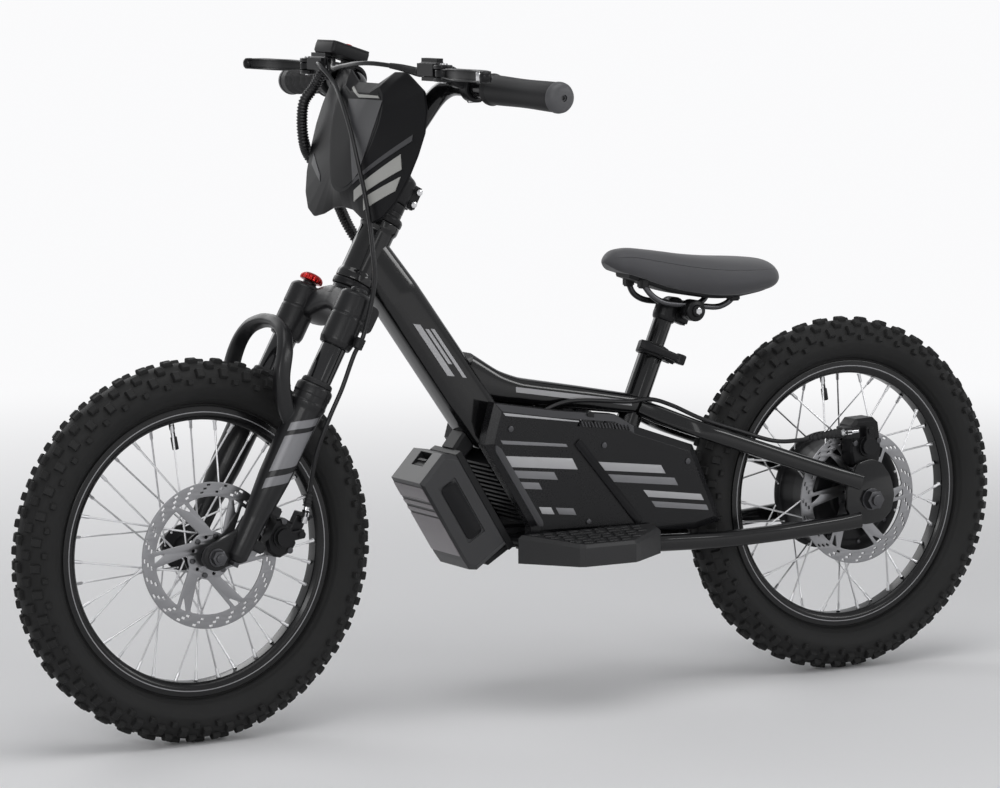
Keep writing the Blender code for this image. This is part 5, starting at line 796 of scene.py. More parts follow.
def stemAndHeadset():
    # clamp and cups turned round the steerer, and rounded blocks out to the bar
    shells = []
    clamp = [(0.0002, stemTop + 0.006), (0.009, stemTop + 0.006), (0.0104, stemTop + 0.0045),
        (0.014, stemTop + 0.003), (0.0172, stemTop + 0.0006), (0.0188, stemTop - 0.002),
        (0.0188, stemLow + 0.0015), (0.0178, stemLow), (0.0002, stemLow)]
    shells.append(lathed(clamp, 0.0012, 4, 56, fork))
    shells.append(box((0.004, -0.015, stemLow + 0.002), (0.036, 0.015, stemTop - 0.002), fork, 0.004, 3))
    shells.append(box((0.025, -0.023, stemLow + 0.0005), (stemReach - 0.0003, 0.023, stemTop + 0.003),
        fork, 0.004, 3))
    for y in (-0.0056, 0.0056):
        shells.append(box((-0.0265, y - 0.0044, stemLow + 0.001), (-0.01, y + 0.0044, stemTop - 0.001),
            fork, 0.0018, 3))
    piece("stem_body", shells, alloy, steered, "stem")
    face = [box((stemReach + 0.0003, -0.022, stemLow + 0.001), (stemReach + 0.0155, 0.022, stemTop + 0.0025),
        fork, 0.004, 3)]
    piece("stem_face", face, alloy, steered, "stem_faceplate")
    bolts = fork @ shift(-0.0215, 0, 0) @ turn(-90, "X")
    heads = []
    for s in (stemLow + 0.007, stemTop - 0.007):
        heads.append(rod(0.0036, 0.0095, 0.0135, bolts @ shift(0, -s, 0), 20))
        heads.append(rod(0.003, -0.0125, 0.0, bolts @ shift(0, -s, 0), 20))
    for y in (-0.0165, 0.0165):
        for s in (stemLow + 0.0055, stemTop - 0.0015):
            front = fork @ shift(stemReach + 0.0145, y, s) @ turn(90, "Y")
            heads.append(rod(0.0034, 0.0, 0.004, front, 20))
    piece("stem_bolts", heads, steel, steered)
    lower = [(0.0146, raceTop + 0.0003), (0.0218, raceTop + 0.0003), (0.0225, raceTop + 0.0018),
        (0.0225, raceTop + 0.0068), (0.0215, raceTop + 0.0083), (0.0146, raceTop + 0.0083)]
    piece("headset_cup_lower", [lathedRing(lower, 0.0006, 3, 56, fork)], alloy, "main_frame", "headset_lower")
    upper = [(0.0146, headHigh + 0.0003), (0.0218, headHigh + 0.0003), (0.0225, headHigh + 0.0015),
        (0.0225, headHigh + 0.006), (0.0212, headHigh + 0.0085), (0.018, headHigh + 0.01),
        (0.018, headHigh + 0.0145), (0.0174, headHigh + 0.015), (0.018, headHigh + 0.0155),
        (0.018, spacerTop - 0.001), (0.0172, spacerTop), (0.0146, spacerTop)]
    piece("headset_cup_upper", [lathedRing(upper, 0.0006, 3, 56, fork)], alloy, "main_frame", "headset_upper")


def frameTubes():
    # rounded boxes carried along soft bends, and the head and seat tubes as closed profiles turned
    sink = placeAlong((math.cos(math.radians(56.2)), 0, math.sin(math.radians(56.2))), (0.0255, 0, 0.211))
    head = steerOrigin + steerUp * 0.3783
    rear = -(0.022 + 0.0003 + 0.014)
    down = [(head, 0.0382, 0.047, 0.011), (steerOrigin + (-0.2138, 0, 0.2863), 0.045, 0.05, 0.011),
        ((0.06, 0, 0.3165), 0.046, 0.052, 0.011), (spot(sink, rear, 0, 0.094), 0.04, 0.028, 0.007),
        (spot(sink, rear, 0, 0.018), 0.04, 0.028, 0.006), ((-0.032, 0, 0.202), 0.04, 0.026, 0.006),
        ((-0.094, 0, 0.188), 0.04, 0.024, 0.006)]
    piece("down_tube_weldment", [boxTube(down, 0.022, 0.004)], paint, "main_frame", "down_tube")
    top = [((0.092, 0, 0.385), 0.038, 0.05, 0.01), ((0.055, 0, 0.3695), 0.038, 0.036, 0.009),
        ((0.025, 0, 0.362), 0.038, 0.03, 0.009), ((-0.06, 0, 0.3482), 0.036, 0.027, 0.008),
        ((-0.152, 0, 0.3332), 0.03, 0.022, 0.007)]
    piece("top_tube_weldment", [boxTube(top, 0.02, 0.004)], paint, "main_frame", "top_tube")
    seatTop = (0.4035 - seatFoot[2]) / seatUp[2]
    low = (0.188 - seatFoot[2]) / seatUp[2]
    post = [(0.0113, seatTop), (0.0143, seatTop), (0.0143, low), (0.0113, low)]
    piece("seat_tube_weldment", [lathedRing(post, 0.0005, 3, 48, seatFrame)], paint, "main_frame", "seat_tube")
    r = 0.02
    neck = [(0.0165, headHigh), (r + 0.0012, headHigh), (r + 0.002, headHigh - 0.001),
        (r + 0.002, headHigh - 0.008), (r, headHigh - 0.012), (r, headLow + 0.012),
        (r + 0.002, headLow + 0.008), (r + 0.002, headLow + 0.001), (r + 0.0012, headLow), (0.0165, headLow)]
    piece("head_tube_weldment", [lathedRing(neck, 0.0012, 4, 56, fork)], paint, "main_frame", "head_tube")
    wide, high = 0.016, 0.019
    rearX, z = -0.424, axleZ
    seatStay = [((-0.138, 0.0125, 0.333), wide - 0.003, high, 0.005), ((-0.158, 0.0225, 0.3235), wide - 0.002,
        high + 0.002, 0.0055), ((-0.2004, 0.0475, 0.3055), wide, high, 0.0055),
        ((rearX + 0.1196, 0.055, z + 0.0578), wide, high, 0.0055), ((rearX + 0.0399, 0.063, z + 0.0298),
        wide - 0.002, high, 0.005), ((rearX + 0.014, 0.064, z + 0.0208), wide - 0.004, high, 0.004)]
    chainStay = [((-0.086, 0.021, 0.187), wide, high, 0.0055), ((-0.13, 0.044, 0.179), wide, high, 0.0055),
        ((-0.2246, 0.05, 0.1765), wide, high, 0.0055), ((rearX + 0.1215, 0.058, z - 0.0312), wide, high,
        0.0055), ((rearX + 0.0397, 0.062, z - 0.0262), wide - 0.002, high, 0.005),
        ((rearX + 0.014, 0.064, z - 0.0236), wide - 0.004, high, 0.004)]
    outline = [(0.026, -0.022), (0.034, -0.01), (0.034, 0.016), (0.026, 0.03), (0.019, 0.044), (0.0, 0.048),
        (-0.015, 0.043), (-0.028, 0.026), (-0.034, 0.004), (-0.03, -0.016), (-0.016, -0.028), (0.01, -0.03)]
    dropout = plate([softened(outline, 0.005, 4)], 0.0058, shift(rearX, 0.064, z) @ turn(90, "X"), 0.0008)
    for stay, name in ((boxTube(seatStay, 0.02, 0.004), "seat_stay"), (boxTube(chainStay, 0.02, 0.004),
            "chain_stay")):
        shells = [stay] + ([dropout] if name == "chain_stay" else [])
        for side, shells in (("left", shells), ("right", [flipped(shell) for shell in shells])):
            piece(name + "_tube_" + side, shells, paint, "main_frame", name + "_" + side)


stanchionPaint = finish("stanchionGloss", (0.008, 0.008, 0.009), 0.14, metal=0.2, spread=0.05, fine=500,
    bump=0.02, coat=0.3, coatRough=0.05)
forkCrown()
forkLowers()
handlebar()
piece("grip_sleeve_left", [gripShape(1, 0.0, 0.0172)], gripRubber, steered, "grip_left")
piece("throttle_sleeve", [gripShape(-1, 0.0005, 0.0205)], gripRubber, "throttle", "throttle_grip")
capRubber = finish("capRubber", (0.075, 0.075, 0.08), 0.46, spread=0.12, fine=1400, bump=0.1)
piece("grip_cap_left", [endCap(1)], capRubber, steered)
piece("grip_cap_right", [endCap(-1)], capRubber, "throttle")
stemAndHeadset()
frameTubes()
print("fork, bar and frame made")

def dress(material, *names):
    # CAD nodes whose shape is right keep it and take a finish
    for name in names:
        for place in nodes[name].material_slots:
            place.material = material


def skin(points, outward, thick=0.00022, lift=0.00004, sunk=0.0002):
    # thin skin: each row goes out along the upper face and back along the lower one, so the shell is closed
    outward = np.broadcast_to(np.asarray(outward, float), points.shape)
    upper, lower = points + outward * (lift + thick), points - outward * sunk
    return gridShell(np.concatenate([upper, lower[:, ::-1]], 1))


def coverFinish():
    # matt saddle cover: leather cells over the grain, in the bump and a little in the colour
    material = finish("saddleVinyl", (0.062, 0.062, 0.067), 0.6, spread=0.12, fine=700, broad=9, bump=0.2,
        depth=0.0001, tone=0.2, specular=0.4, sheen=0.2)
    tree = material.node_tree
    shader = tree.nodes["Principled BSDF"]
    where = add(tree, "TexCoord").outputs["Object"]
    cells = add(tree, "TexVoronoi", [("Vector", where), ("Scale", 620.0)],
        feature="SMOOTH_F1").outputs["Distance"]
    grain = add(tree, "Bump", [("Strength", 0.28), ("Distance", 0.00025), ("Height", cells),
        ("Normal", shader.inputs["Normal"].links[0].from_socket)])
    tree.links.new(grain.outputs[0], shader.inputs["Normal"])
    return material


panelPlastic = finish("panelGloss", (0.0075, 0.0075, 0.0085), 0.27, spread=0.1, fine=520, bump=0.06,
    depth=0.0001, edge=0.001, coat=0.1, coatRough=0.12, specular=0.22)
bandPlastic = finish("panelBand", (0.05, 0.05, 0.054), 0.38, spread=0.12, fine=700, bump=0.1, specular=0.35)
ribPlastic = finish("batteryFace", (0.24, 0.222, 0.235), 0.34, spread=0.1, fine=1200, bump=0.08, specular=0.4)
greyPlastic = finish("batteryGrey", (0.026, 0.026, 0.028), 0.36, spread=0.1, fine=1500, bump=0.16, edge=0.0011)
insertBlack = finish("insertGloss", (0.006, 0.006, 0.007), 0.2, spread=0.05, fine=600, bump=0.03,
    edge=0.0004, specular=0.2)
treadBlack = finish("footrestPlastic", (0.011, 0.011, 0.012), 0.42, spread=0.16, fine=1200, bump=0.2,
    edge=0.0011, wear=0.25, worn=(0.09, 0.09, 0.095))
finGrey = finish("controllerFins", (0.008, 0.008, 0.009), 0.45, spread=0.1, fine=1500, bump=0.1,
    edge=0.0004, specular=0.2)
silverVinyl = finish("silverStripe", (0.42, 0.42, 0.43), 0.36, metal=0.2, spread=0.08, fine=1800, bump=0.05)
greyVinyl = finish("greyStripe", (0.2, 0.2, 0.21), 0.36, metal=0.25, spread=0.08, fine=1800, bump=0.05)
saddleCover = coverFinish()


# knots give distance from the nose, half width, top height and skirt height
saddle = {"nose": -0.097, "length": 0.216, "rows": 110, "noseRound": 0.016, "tailRound": 0.034,
    "seamAngle": 61.0, "seamDepth": 0.0007, "shellShare": 0.62, "shellDrop": 0.0045, "railRadius": 0.0035,
    "knots": [(0.0, 0.015, 0.5095, 0.4965), (0.012, 0.0195, 0.5145, 0.4915), (0.031, 0.0268, 0.5165, 0.4857),
    (0.054, 0.0312, 0.514, 0.4776), (0.076, 0.0362, 0.5108, 0.4703), (0.098, 0.0438, 0.5074, 0.465),
    (0.119, 0.0522, 0.5048, 0.4613), (0.14, 0.06, 0.5028, 0.4598), (0.157, 0.0655, 0.5016, 0.4606),
    (0.176, 0.0688, 0.5004, 0.4634), (0.193, 0.07, 0.499, 0.4662), (0.206, 0.0698, 0.4975, 0.468),
    (0.216, 0.069, 0.496, 0.469)]}


def saddleAt(d):
    # half width, top and skirt at distances d, with both ends rounded off by quarter ellipses
    knots = np.array(saddle["knots"])
    dense = smoothPath(knots[:, [0, 1, 2]], 0.0005)
    half, top = (np.interp(d, dense[:, 0], dense[:, k]) for k in (1, 2))
    edge = np.interp(d, *smoothPath(knots[:, [0, 3, 3]], 0.0005).T[:2])
    fromTail = saddle["length"] - d
    nose = np.sqrt(1 - (1 - np.clip(d / saddle["noseRound"], 0.004, 1)) ** 2)
    tail = np.clip(1 - (1 - np.clip(fromTail / saddle["tailRound"], 0.002, 1)) ** 2.3, 0, 1) ** 0.5
    deep = np.clip(1 - (1 - np.clip(fromTail / 0.013, 0.004, 1)) ** 2, 0, 1) ** 0.5
    middle = edge + 0.4 * (top - edge)
    thick = np.minimum(nose, deep)
    return half * nose * tail, middle + (top - middle) * thick, middle + (edge - middle) * thick


def cushion():
    # section: y = half width times sine, z = cosine above and a fuller cosine below cut off flat at the skirt
    s = saddle
    u = np.linspace(0, math.pi, s["rows"])
    d = s["length"] * (1 - np.cos(u)) / 2
    half, top, edge = (v[:, None] for v in saddleAt(d))
    degrees = np.arange(0, 360, 4.0)
    fine = np.concatenate([s["seamAngle"] + np.arange(-2, 2.1, 0.5), 360 - s["seamAngle"]
        - np.arange(-2, 2.1, 0.5)])
    degrees = np.unique(np.concatenate([degrees, fine]))
    a = np.radians(degrees)[None]
    y = half * np.sign(np.sin(a)) * np.abs(np.sin(a)) ** 0.86
    middle = edge + 0.38 * (top - edge)
    c = np.cos(a)
    z = middle + np.where(c > 0, (top - middle) * c, np.maximum((middle - edge) * c * 1.5, edge - middle))
    off = np.minimum(np.abs(degrees - s["seamAngle"]), np.abs(360 - degrees - s["seamAngle"]))
    groove = s["seamDepth"] * np.exp(-(off / 0.8) ** 2) * np.clip((half - 0.012) / 0.01, 0, 1)
    y, z = y - groove * np.sin(a), z - groove * np.cos(a)
    ring = np.stack(np.broadcast_arrays(s["nose"] - d[:, None], y, z), -1)
    cover = piece("saddle_cover", [gridShell(ring)], saddleCover, "seat", "saddle_cushion", sharp=50)
    d = np.linspace(0.026, s["length"] - 0.006, 60)
    half, top, edge = saddleAt(d)
    rings = [np.stack([s["nose"] - d, w * half, edge + lift], -1) for w, lift in ((s["shellShare"], 0.001),
        (0.6, -0.0022), (0.54, -s["shellDrop"]), (-0.54, -s["shellDrop"]), (-0.6, -0.0022),
        (-s["shellShare"], 0.001))]
    shells = [gridShell(np.stack(rings, 1))]
    for side in (1, -1):
        shells.append(box((-0.146, side * 0.016 - 0.0055, 0.4705), (-0.135, side * 0.016 + 0.0055, 0.482),
            None, 0.0016, 3))
        shells.append(box((-0.2625, side * 0.028 - 0.0055, 0.4515), (-0.249, side * 0.028 + 0.0055, 0.4625),
            None, 0.0016, 3))
    piece("saddle_base", shells, plastic, "seat", "saddle_shell")
    points = [(-0.1405, 0.016, 0.4755), (-0.149, 0.021, 0.4615), (-0.164, 0.022, 0.453),
        (-0.238, 0.022, 0.444), (-0.25, 0.025, 0.449), (-0.256, 0.028, 0.456)]
    route = respaced(softened(points, 0.01, 9, closed=False), 0.002)
    for side, name in ((1, "left"), (-1, "right")):
        piece("saddle_wire_" + name, [swept(route * (1, side, 1), s["railRadius"], 18)], darkSteel, "seat",
            "saddle_rail_" + name)


seatPostSizes = {"radius": 0.0111, "top": 0.0563, "bottom": -0.15, "cradle": (-0.2035, 0, 0.4425),
    "collar": -0.0042}


def seatPost():
    # post with its clamp head, the cross barrel under the rails, and the collar with its lever
    s = seatPostSizes
    top = seatFrame @ shift(0, 0, s["top"])
    post = rod(s["radius"], s["bottom"], s["top"], seatFrame, 40)
    marks = [turned([(0.01115, h - 0.0003), (0.01125, h), (0.01115, h + 0.0003), (0.0108, h)], 40, seatFrame,
        closed=True) for h in (-0.035, -0.03)]
    piece("seat_post_tube", [post] + marks, paint, "seat", "seatpost")
    head = [(0.0002, -0.001), (0.012, -0.001), (0.0138, -0.0025), (0.014, -0.018), (0.0132, -0.022),
        (0.0117, -0.024), (0.0002, -0.024)]
    shells = [lathed(head, 0.0012, 4, 40, top), box((-0.03, -0.0075, -0.02), (-0.01, 0.0075, -0.004),
        top, 0.0025, 3)]
    cross = placeAlong((0, 1, 0), s["cradle"])
    barrel = [(0.0002, -0.036), (0.006, -0.036), (0.007, -0.035), (0.007, -0.0322), (0.0112, -0.032),
        (0.0125, -0.0305), (0.0125, -0.0265), (0.0119, -0.0258), (0.0125, -0.0251), (0.0125, -0.0142),
        (0.0115, -0.013), (0.007, -0.013)]
    barrel = np.array(barrel + [(r, -h) for r, h in reversed(barrel)])
    shells.append(lathed(barrel, 0.0006, 3, 40, cross))
    for side in (1, -1):
        shells.append(box((-0.0085, side * 0.022 - 0.0055, 0.002), (0.0085, side * 0.022 + 0.0055, 0.0085),
            shift(*s["cradle"]), 0.0014, 3))
    piece("saddle_cradle", shells, alloy, "seat", "saddle_clamp")
    nuts = [rod(0.0042, 0.035, 0.0372, cross @ turn(flip, "X"), 6, 0.0004) for flip in (0, 180)]
    piece("cradle_nuts", nuts, steel, "seat")
    collar = seatFrame @ shift(0, 0, s["collar"])
    ring = [(0.0146, -0.007), (0.0178, -0.007), (0.0185, -0.006), (0.0185, 0.0055), (0.0176, 0.007),
        (0.0146, 0.007)]
    shells = [lathedRing(ring, 0.0008, 3, 48, collar)]
    for side in (1, -1):
        low, high = sorted((side * 0.001, side * 0.0085))
        shells.append(box((-0.031, low, -0.0065), (-0.015, high, 0.0065), collar, 0.002, 3))
    piece("seat_clamp_ring", shells, alloy, "main_frame", "seat_collar")
    pin = collar @ shift(-0.025, 0, 0) @ turn(-90, "X")
    shells = [rod(0.0055, -0.016, -0.0087, pin, 24, 0.0012), rod(0.0026, -0.01, 0.0175, pin, 20)]
    piece("seat_clamp_bolt", shells, steel, "main_frame")
    hub = collar @ shift(-0.025, 0.0238, 0)
    shells = [lathed([(0.0002, -0.0058), (0.0054, -0.0058), (0.0062, -0.0046), (0.0062, 0.0046),
        (0.0054, 0.0058), (0.0002, 0.0058)], 0.0008, 4, 32, hub)]
    arm = [((-0.026, 0.024, 0), 0.005, 0.009, 0.002), ((-0.008, 0.025, 0), 0.0046, 0.009, 0.002),
        ((0.014, 0.0234, 0), 0.0042, 0.01, 0.0019), ((0.024, 0.021, 0), 0.0042, 0.0112, 0.0019),
        ((0.03, 0.019, 0), 0.0036, 0.01, 0.0016)]
    shells.append(placed(boxTube(arm, 0.01, 0.0015), collar))
    piece("seat_lever_arm", shells, alloy, "seat_lever", "seat_qr_lever")


# side panels keep their CAD trays, and these lines in (x, z) stand on their outer faces
panel = {"face": 0.052, "line": [(-0.03, 0.305), (-0.113, 0.206)], "fins": 15, "finFrom": (-0.0375, 0.3243),
    "finTo": (-0.099, 0.3166), "finLean": 24,
    "silver": [[(0.064, 0.295), (-0.024, 0.286), (-0.031, 0.273), (0.056, 0.282)],
               [(-0.056, 0.28), (-0.142, 0.27), (-0.148, 0.26), (-0.064, 0.2695)],
               [(-0.118, 0.243), (-0.196, 0.2325), (-0.2, 0.225), (-0.125, 0.2345)],
               [(0.02, 0.234), (0.004, 0.2322), (-0.0005, 0.224), (0.0155, 0.2258)],
               [(0.0655, 0.3438), (-0.033, 0.3282), (-0.033, 0.3268), (0.0625, 0.3402)]],
    "grey": [[(0.054, 0.278), (0.0, 0.2722), (-0.0052, 0.263), (0.0485, 0.269)],
             [(0.0465, 0.2645), (0.02, 0.2615), (0.0155, 0.2535), (0.0415, 0.2565)],
             [(-0.068, 0.265), (-0.16, 0.254), (-0.165, 0.245), (-0.076, 0.2555)],
             [(-0.002, 0.2315), (-0.025, 0.229), (-0.0292, 0.221), (-0.0065, 0.2235)],
             [(-0.129, 0.2295), (-0.2035, 0.2195), (-0.2065, 0.213), (-0.1345, 0.222)],
             [(0.069, 0.313), (-0.016, 0.303), (-0.018, 0.2995), (0.066, 0.3085)]],
    "bandOuter": [(0.0725, 0.3545), (-0.003, 0.3418), (-0.0836, 0.3318), (-0.109, 0.3172)],
    "bandInner": [(0.0655, 0.3445), (-0.002, 0.333), (-0.0808, 0.3232), (-0.106, 0.3088)]}


def onFace(outline, low, high, y):
    # flat outline in (x, z), standing between two heights on a face that looks along +Y or -Y
    face = shift(0, y + (low + high) / 2 * np.sign(y), 0) @ turn(90, "X")
    return plate([outline], high - low, face, 0.00004)


def panelTrim(side, name):
    # cooling fins, front moulding, diagonal strip, screws and stripes of cut vinyl
    p = panel
    y = side * p["face"]
    fin = box((-0.0008, -0.001, -0.0034), (0.0008, 0.0013, 0.0034), None, 0.0003, 1)
    spots = np.linspace(p["finFrom"], p["finTo"], p["fins"])
    places = [shift(x, y, z) @ turn(p["finLean"], "Y") for x, z in spots]
    piece("panel_fins_" + name, [repeated(fin, places)], bandPlastic, "main_frame")
    run = np.array(p["line"])
    along = unit(run[1] - run[0])
    across = np.array([-along[1], along[0]])
    strip = softened([run[0] + across * 0.0048, run[1] + across * 0.0048, run[1] - across * 0.0048,
        run[0] - across * 0.0048], 0.002, 4)
    front = softened([(0.076, 0.3085), (0.069, 0.304), (0.0155, 0.2175), (0.015, 0.2115), (0.0215, 0.2125),
        (0.0765, 0.3015)], 0.002, 4)
    piece("panel_strip_" + name, [onFace(strip, -0.0005, 0.0022, y)], insertBlack, "main_frame", None)
    piece("panel_front_" + name, [onFace(front, -0.0005, 0.002, y)], bandPlastic, "main_frame")
    for kind, material in (("silver", silverVinyl), ("grey", greyVinyl)):
        shells = [onFace(np.array(outline), 0.0, 0.00025, y) for outline in p[kind]]
        piece("panel_" + kind + "_" + name, shells, material, "main_frame")
    outer, inner = np.array(p["bandOuter"]), np.array(p["bandInner"])
    share = np.array([0.08, 0.92])[None, :, None]
    flat = outer[:, None] * (1 - share) + inner[:, None] * share
    deep = 0.046 + (p["face"] - 0.046) * np.broadcast_to(share, flat[..., :1].shape)
    band = np.concatenate([flat[..., :1], side * deep, flat[..., 1:]], -1)
    piece("panel_band_" + name, [skin(band, (0.09, side * 0.84, 0.53), 0.0003, 0.0)], bandPlastic, "main_frame")
    screws = [rod(0.0034, -0.001, 0.0014, shift(x, y, z) @ turn(-90 * side, "X"), 20, 0.0006)
        for x, z in ((0.056, 0.325), (-0.178, 0.272), (-0.045, 0.212), (-0.066, 0.298))]
    piece("panel_screws_" + name, screws, darkSteel, "main_frame")


batteryFrame = np.eye(4)
batteryFrame[:3, 0], batteryFrame[:3, 2] = (0.8572, 0, -0.515), (0.515, 0, 0.8572)
batteryFrame[:3, 3] = (0.0523, 0, 0.1923)
battery = {"face": 0.0553, "half": 0.0375,
    "fields": ((0.1065, 0.0095), (0.09, 0.003), (0.08, 0.003), (0.048, 0.026))}


def batteryTrim():
    # two pale fields on the front face, the upper one framed, and the dark inserts in both sides
    b = battery
    shells = []
    for middle, half in b["fields"]:
        cover = batteryFrame @ placeAlong((1, 0, 0), (b["face"] + 0.0001, 0, middle))
        corner = np.array([(1, 1), (-1, 1), (-1, -1), (1, -1)]) * (half, 0.0335)
        shells.append(plate([softened(corner, 0.002, 4)], 0.0006, cover, 0.0001))
    field = batteryFrame @ placeAlong((1, 0, 0), (b["face"], 0, 0.1065))
    frameRing = [softened([(x, y), (-x, y), (-x, -y), (x, -y)], 0.003, 5) for x, y in ((0.009, 0.032),
        (0.0078, 0.0308))]
    shells.append(plate(frameRing, 0.0012, field, 0.0003))
    piece("battery_face", shells, ribPlastic, "battery")
    inserts = []
    for side in (1, -1):
        window = softened([(0.0175, 0.0315), (0.0385, 0.0315), (0.0385, 0.1025), (0.0175, 0.1025)], 0.007, 7)
        place = batteryFrame @ shift(0, side * (b["half"] - 0.0011), 0) @ turn(90, "X")
        inserts.append(plate([window], 0.0012, place, 0.0003))
    piece("battery_inserts", inserts, insertBlack, "battery")


footrest = {"inner": 0.0535, "top": 0.2045, "fall": 0.0075, "outer": 0.115, "pitch": 0.0165,
    "front": ((0.055, 0.1106), (0.0349, -0.0088)), "rear": ((0.074, 0.1087), (-0.1128, -0.0653))}


def footrestTrim(side, name):
    # rows of small raised pads over the tread, each lying on its slope
    f = footrest
    pad = box((-0.0058, -0.003, -0.0006), (0.0058, 0.003, 0.0011), None, 0.0006, 1)
    slope = math.degrees(math.atan2(f["fall"], f["outer"] - f["inner"]))
    places = []
    for row, y in enumerate(np.arange(0.0605, 0.108, 0.0092)):
        front, rear = np.interp(y, *f["front"]) - (row % 2) * 0.006, np.interp(y, *f["rear"])
        for x in np.arange(front, rear, -f["pitch"]):
            height = f["top"] - f["fall"] * (y - f["inner"]) / (f["outer"] - f["inner"])
            places.append(shift(x, side * y, height) @ turn(-side * slope, "X"))
    piece("footrest_pads_" + name, [repeated(pad, places)], treadBlack, "main_frame")


cushion()
seatPost()
for side, name in ((1, "left"), (-1, "right")):
    panelTrim(side, name)
    footrestTrim(side, name)
batteryTrim()
dress(panelPlastic, "body_panel_left", "body_panel_right")
dress(treadBlack, "footrest_left", "footrest_right")
dress(finGrey, "controller")
dress(plastic, "battery_dock", "battery_latch")
dress(greyPlastic, "battery_pack")
print("saddle, panels, battery and footrests made")


def patch(corners, rows=14, cols=10):
    # bilinear grid between four corners in two dimensions
    a, b, c, d = (np.asarray(corner, float) for corner in corners)
    u, v = np.meshgrid(np.linspace(0, 1, rows), np.linspace(0, 1, cols), indexing="ij")
    u, v = u[..., None], v[..., None]
    return a * (1 - u) * (1 - v) + b * u * (1 - v) + c * u * v + d * (1 - u) * v


# outlines in (across, up), and the plate is worked out in polar coordinates about its middle
numberPlate = {"middle": 0.1, "crown": 0.015, "half": 0.126, "high": 0.178, "raise": 0.008, "wall": 0.0028,
    "outer": [(0, .163), (.024, .163), (.052, .177), (.073, .178), (.11, .16), (.122, .139), (.127, .115),
    (.125, .09), (.118, .06), (.106, .036), (.088, .018), (.068, .01), (.046, .014), (.024, .022), (0, .024)],
    "inner": [(0, .15), (.022, .15), (.04, .158), (.05, .15), (.056, .135), (.056, .12), (.054, .11),
    (.05, .095), (.04, .072), (.032, .058), (.026, .049), (.02, .044), (.014, .041), (.007, .039), (0, .038)],
    "pale": [[(.03, .03), (.03, .042), (.1, .088), (.107, .072)], [(.052, .022), (.05, .035), (.108, .064),
    (.104, .048)]],
    # grey: the two thin stripes are print; the broad quad over the inner field is painted light, a lighter tone
    # on the facet that faces the light
    "grey": [[(.026, .048), (.029, .055), (.112, .111), (.113, .104)], [(-.06, .048), (-.064, .056),
    (-.104, .08), (-.104, .068)], [(.026, .052), (.035, .062), (.053, .143), (-.024, .142)]],
    # the pale line along the top of the inner crease is a painted highlight
    "paintedHighlight": [[(.0, .1475), (.042, .1475), (.046, .145), (.002, .144)], [(-.024, .157), (.0, .1475),
    (.002, .144), (-.024, .1545)]]}
plateRise = np.array([0.037, 0, 0.18]) / math.hypot(0.037, 0.18)
plateOut = np.array([plateRise[2], 0, -plateRise[0]])


def crown(y, h):
    # depth of a shallow arch across the plate, fuller towards its top
    p = numberPlate
    return p["crown"] * (1 - (y / p["half"]) ** 2) * (0.35 + 0.65 * h / p["high"])


def polarEdge(outline, lift):
    # angle, radius and depth along a mirrored outline of straight facets whose corners are softened
    half = np.array(outline, float)
    full = np.concatenate([half, (half[1:-1] * (-1, 1))[::-1]])
    soft = softened(np.column_stack([full, crown(full[:, 0], full[:, 1]) + lift]), 0.0016, 3)
    loop = np.concatenate([soft, soft[:1]])
    length = walked(loop)
    marks = np.unique(np.concatenate([length[:-1], np.linspace(0, length[-1], 400)[:-1]]))
    y, h, depth = (np.interp(marks, length, loop[:, k]) for k in range(3))
    angle, reach = np.arctan2(h - numberPlate["middle"], y), np.hypot(y, h - numberPlate["middle"])
    order = np.argsort(angle)
    return angle[order], reach[order], depth[order]


outerEdge, innerEdge = polarEdge(numberPlate["outer"], 0.0), polarEdge(numberPlate["inner"],
    numberPlate["raise"])


def plateAt(y, h):
    # flat facets: depth runs straight from the middle to the inner outline and from there to the outer one
    p = numberPlate
    angle, reach = np.arctan2(h - p["middle"], y), np.hypot(y, h - p["middle"])
    (far, low), (near, high) = ([np.interp(angle, edge[0], line, period=tau) for line in edge[1:]]
        for edge in (outerEdge, innerEdge))
    top = crown(0.0, p["middle"]) + p["raise"]
    outside = high + (low - high) * np.clip((reach - near) / (far - near), 0, 1)
    depth = np.where(reach > near, outside, top + (high - top) * np.clip(reach / near, 0, 1))
    base = np.array([0.04, 0, 0.39])
    return moved(base + y[..., None] * (0, 1.0, 0) + h[..., None] * plateRise + depth[..., None]
        * plateOut, fork)


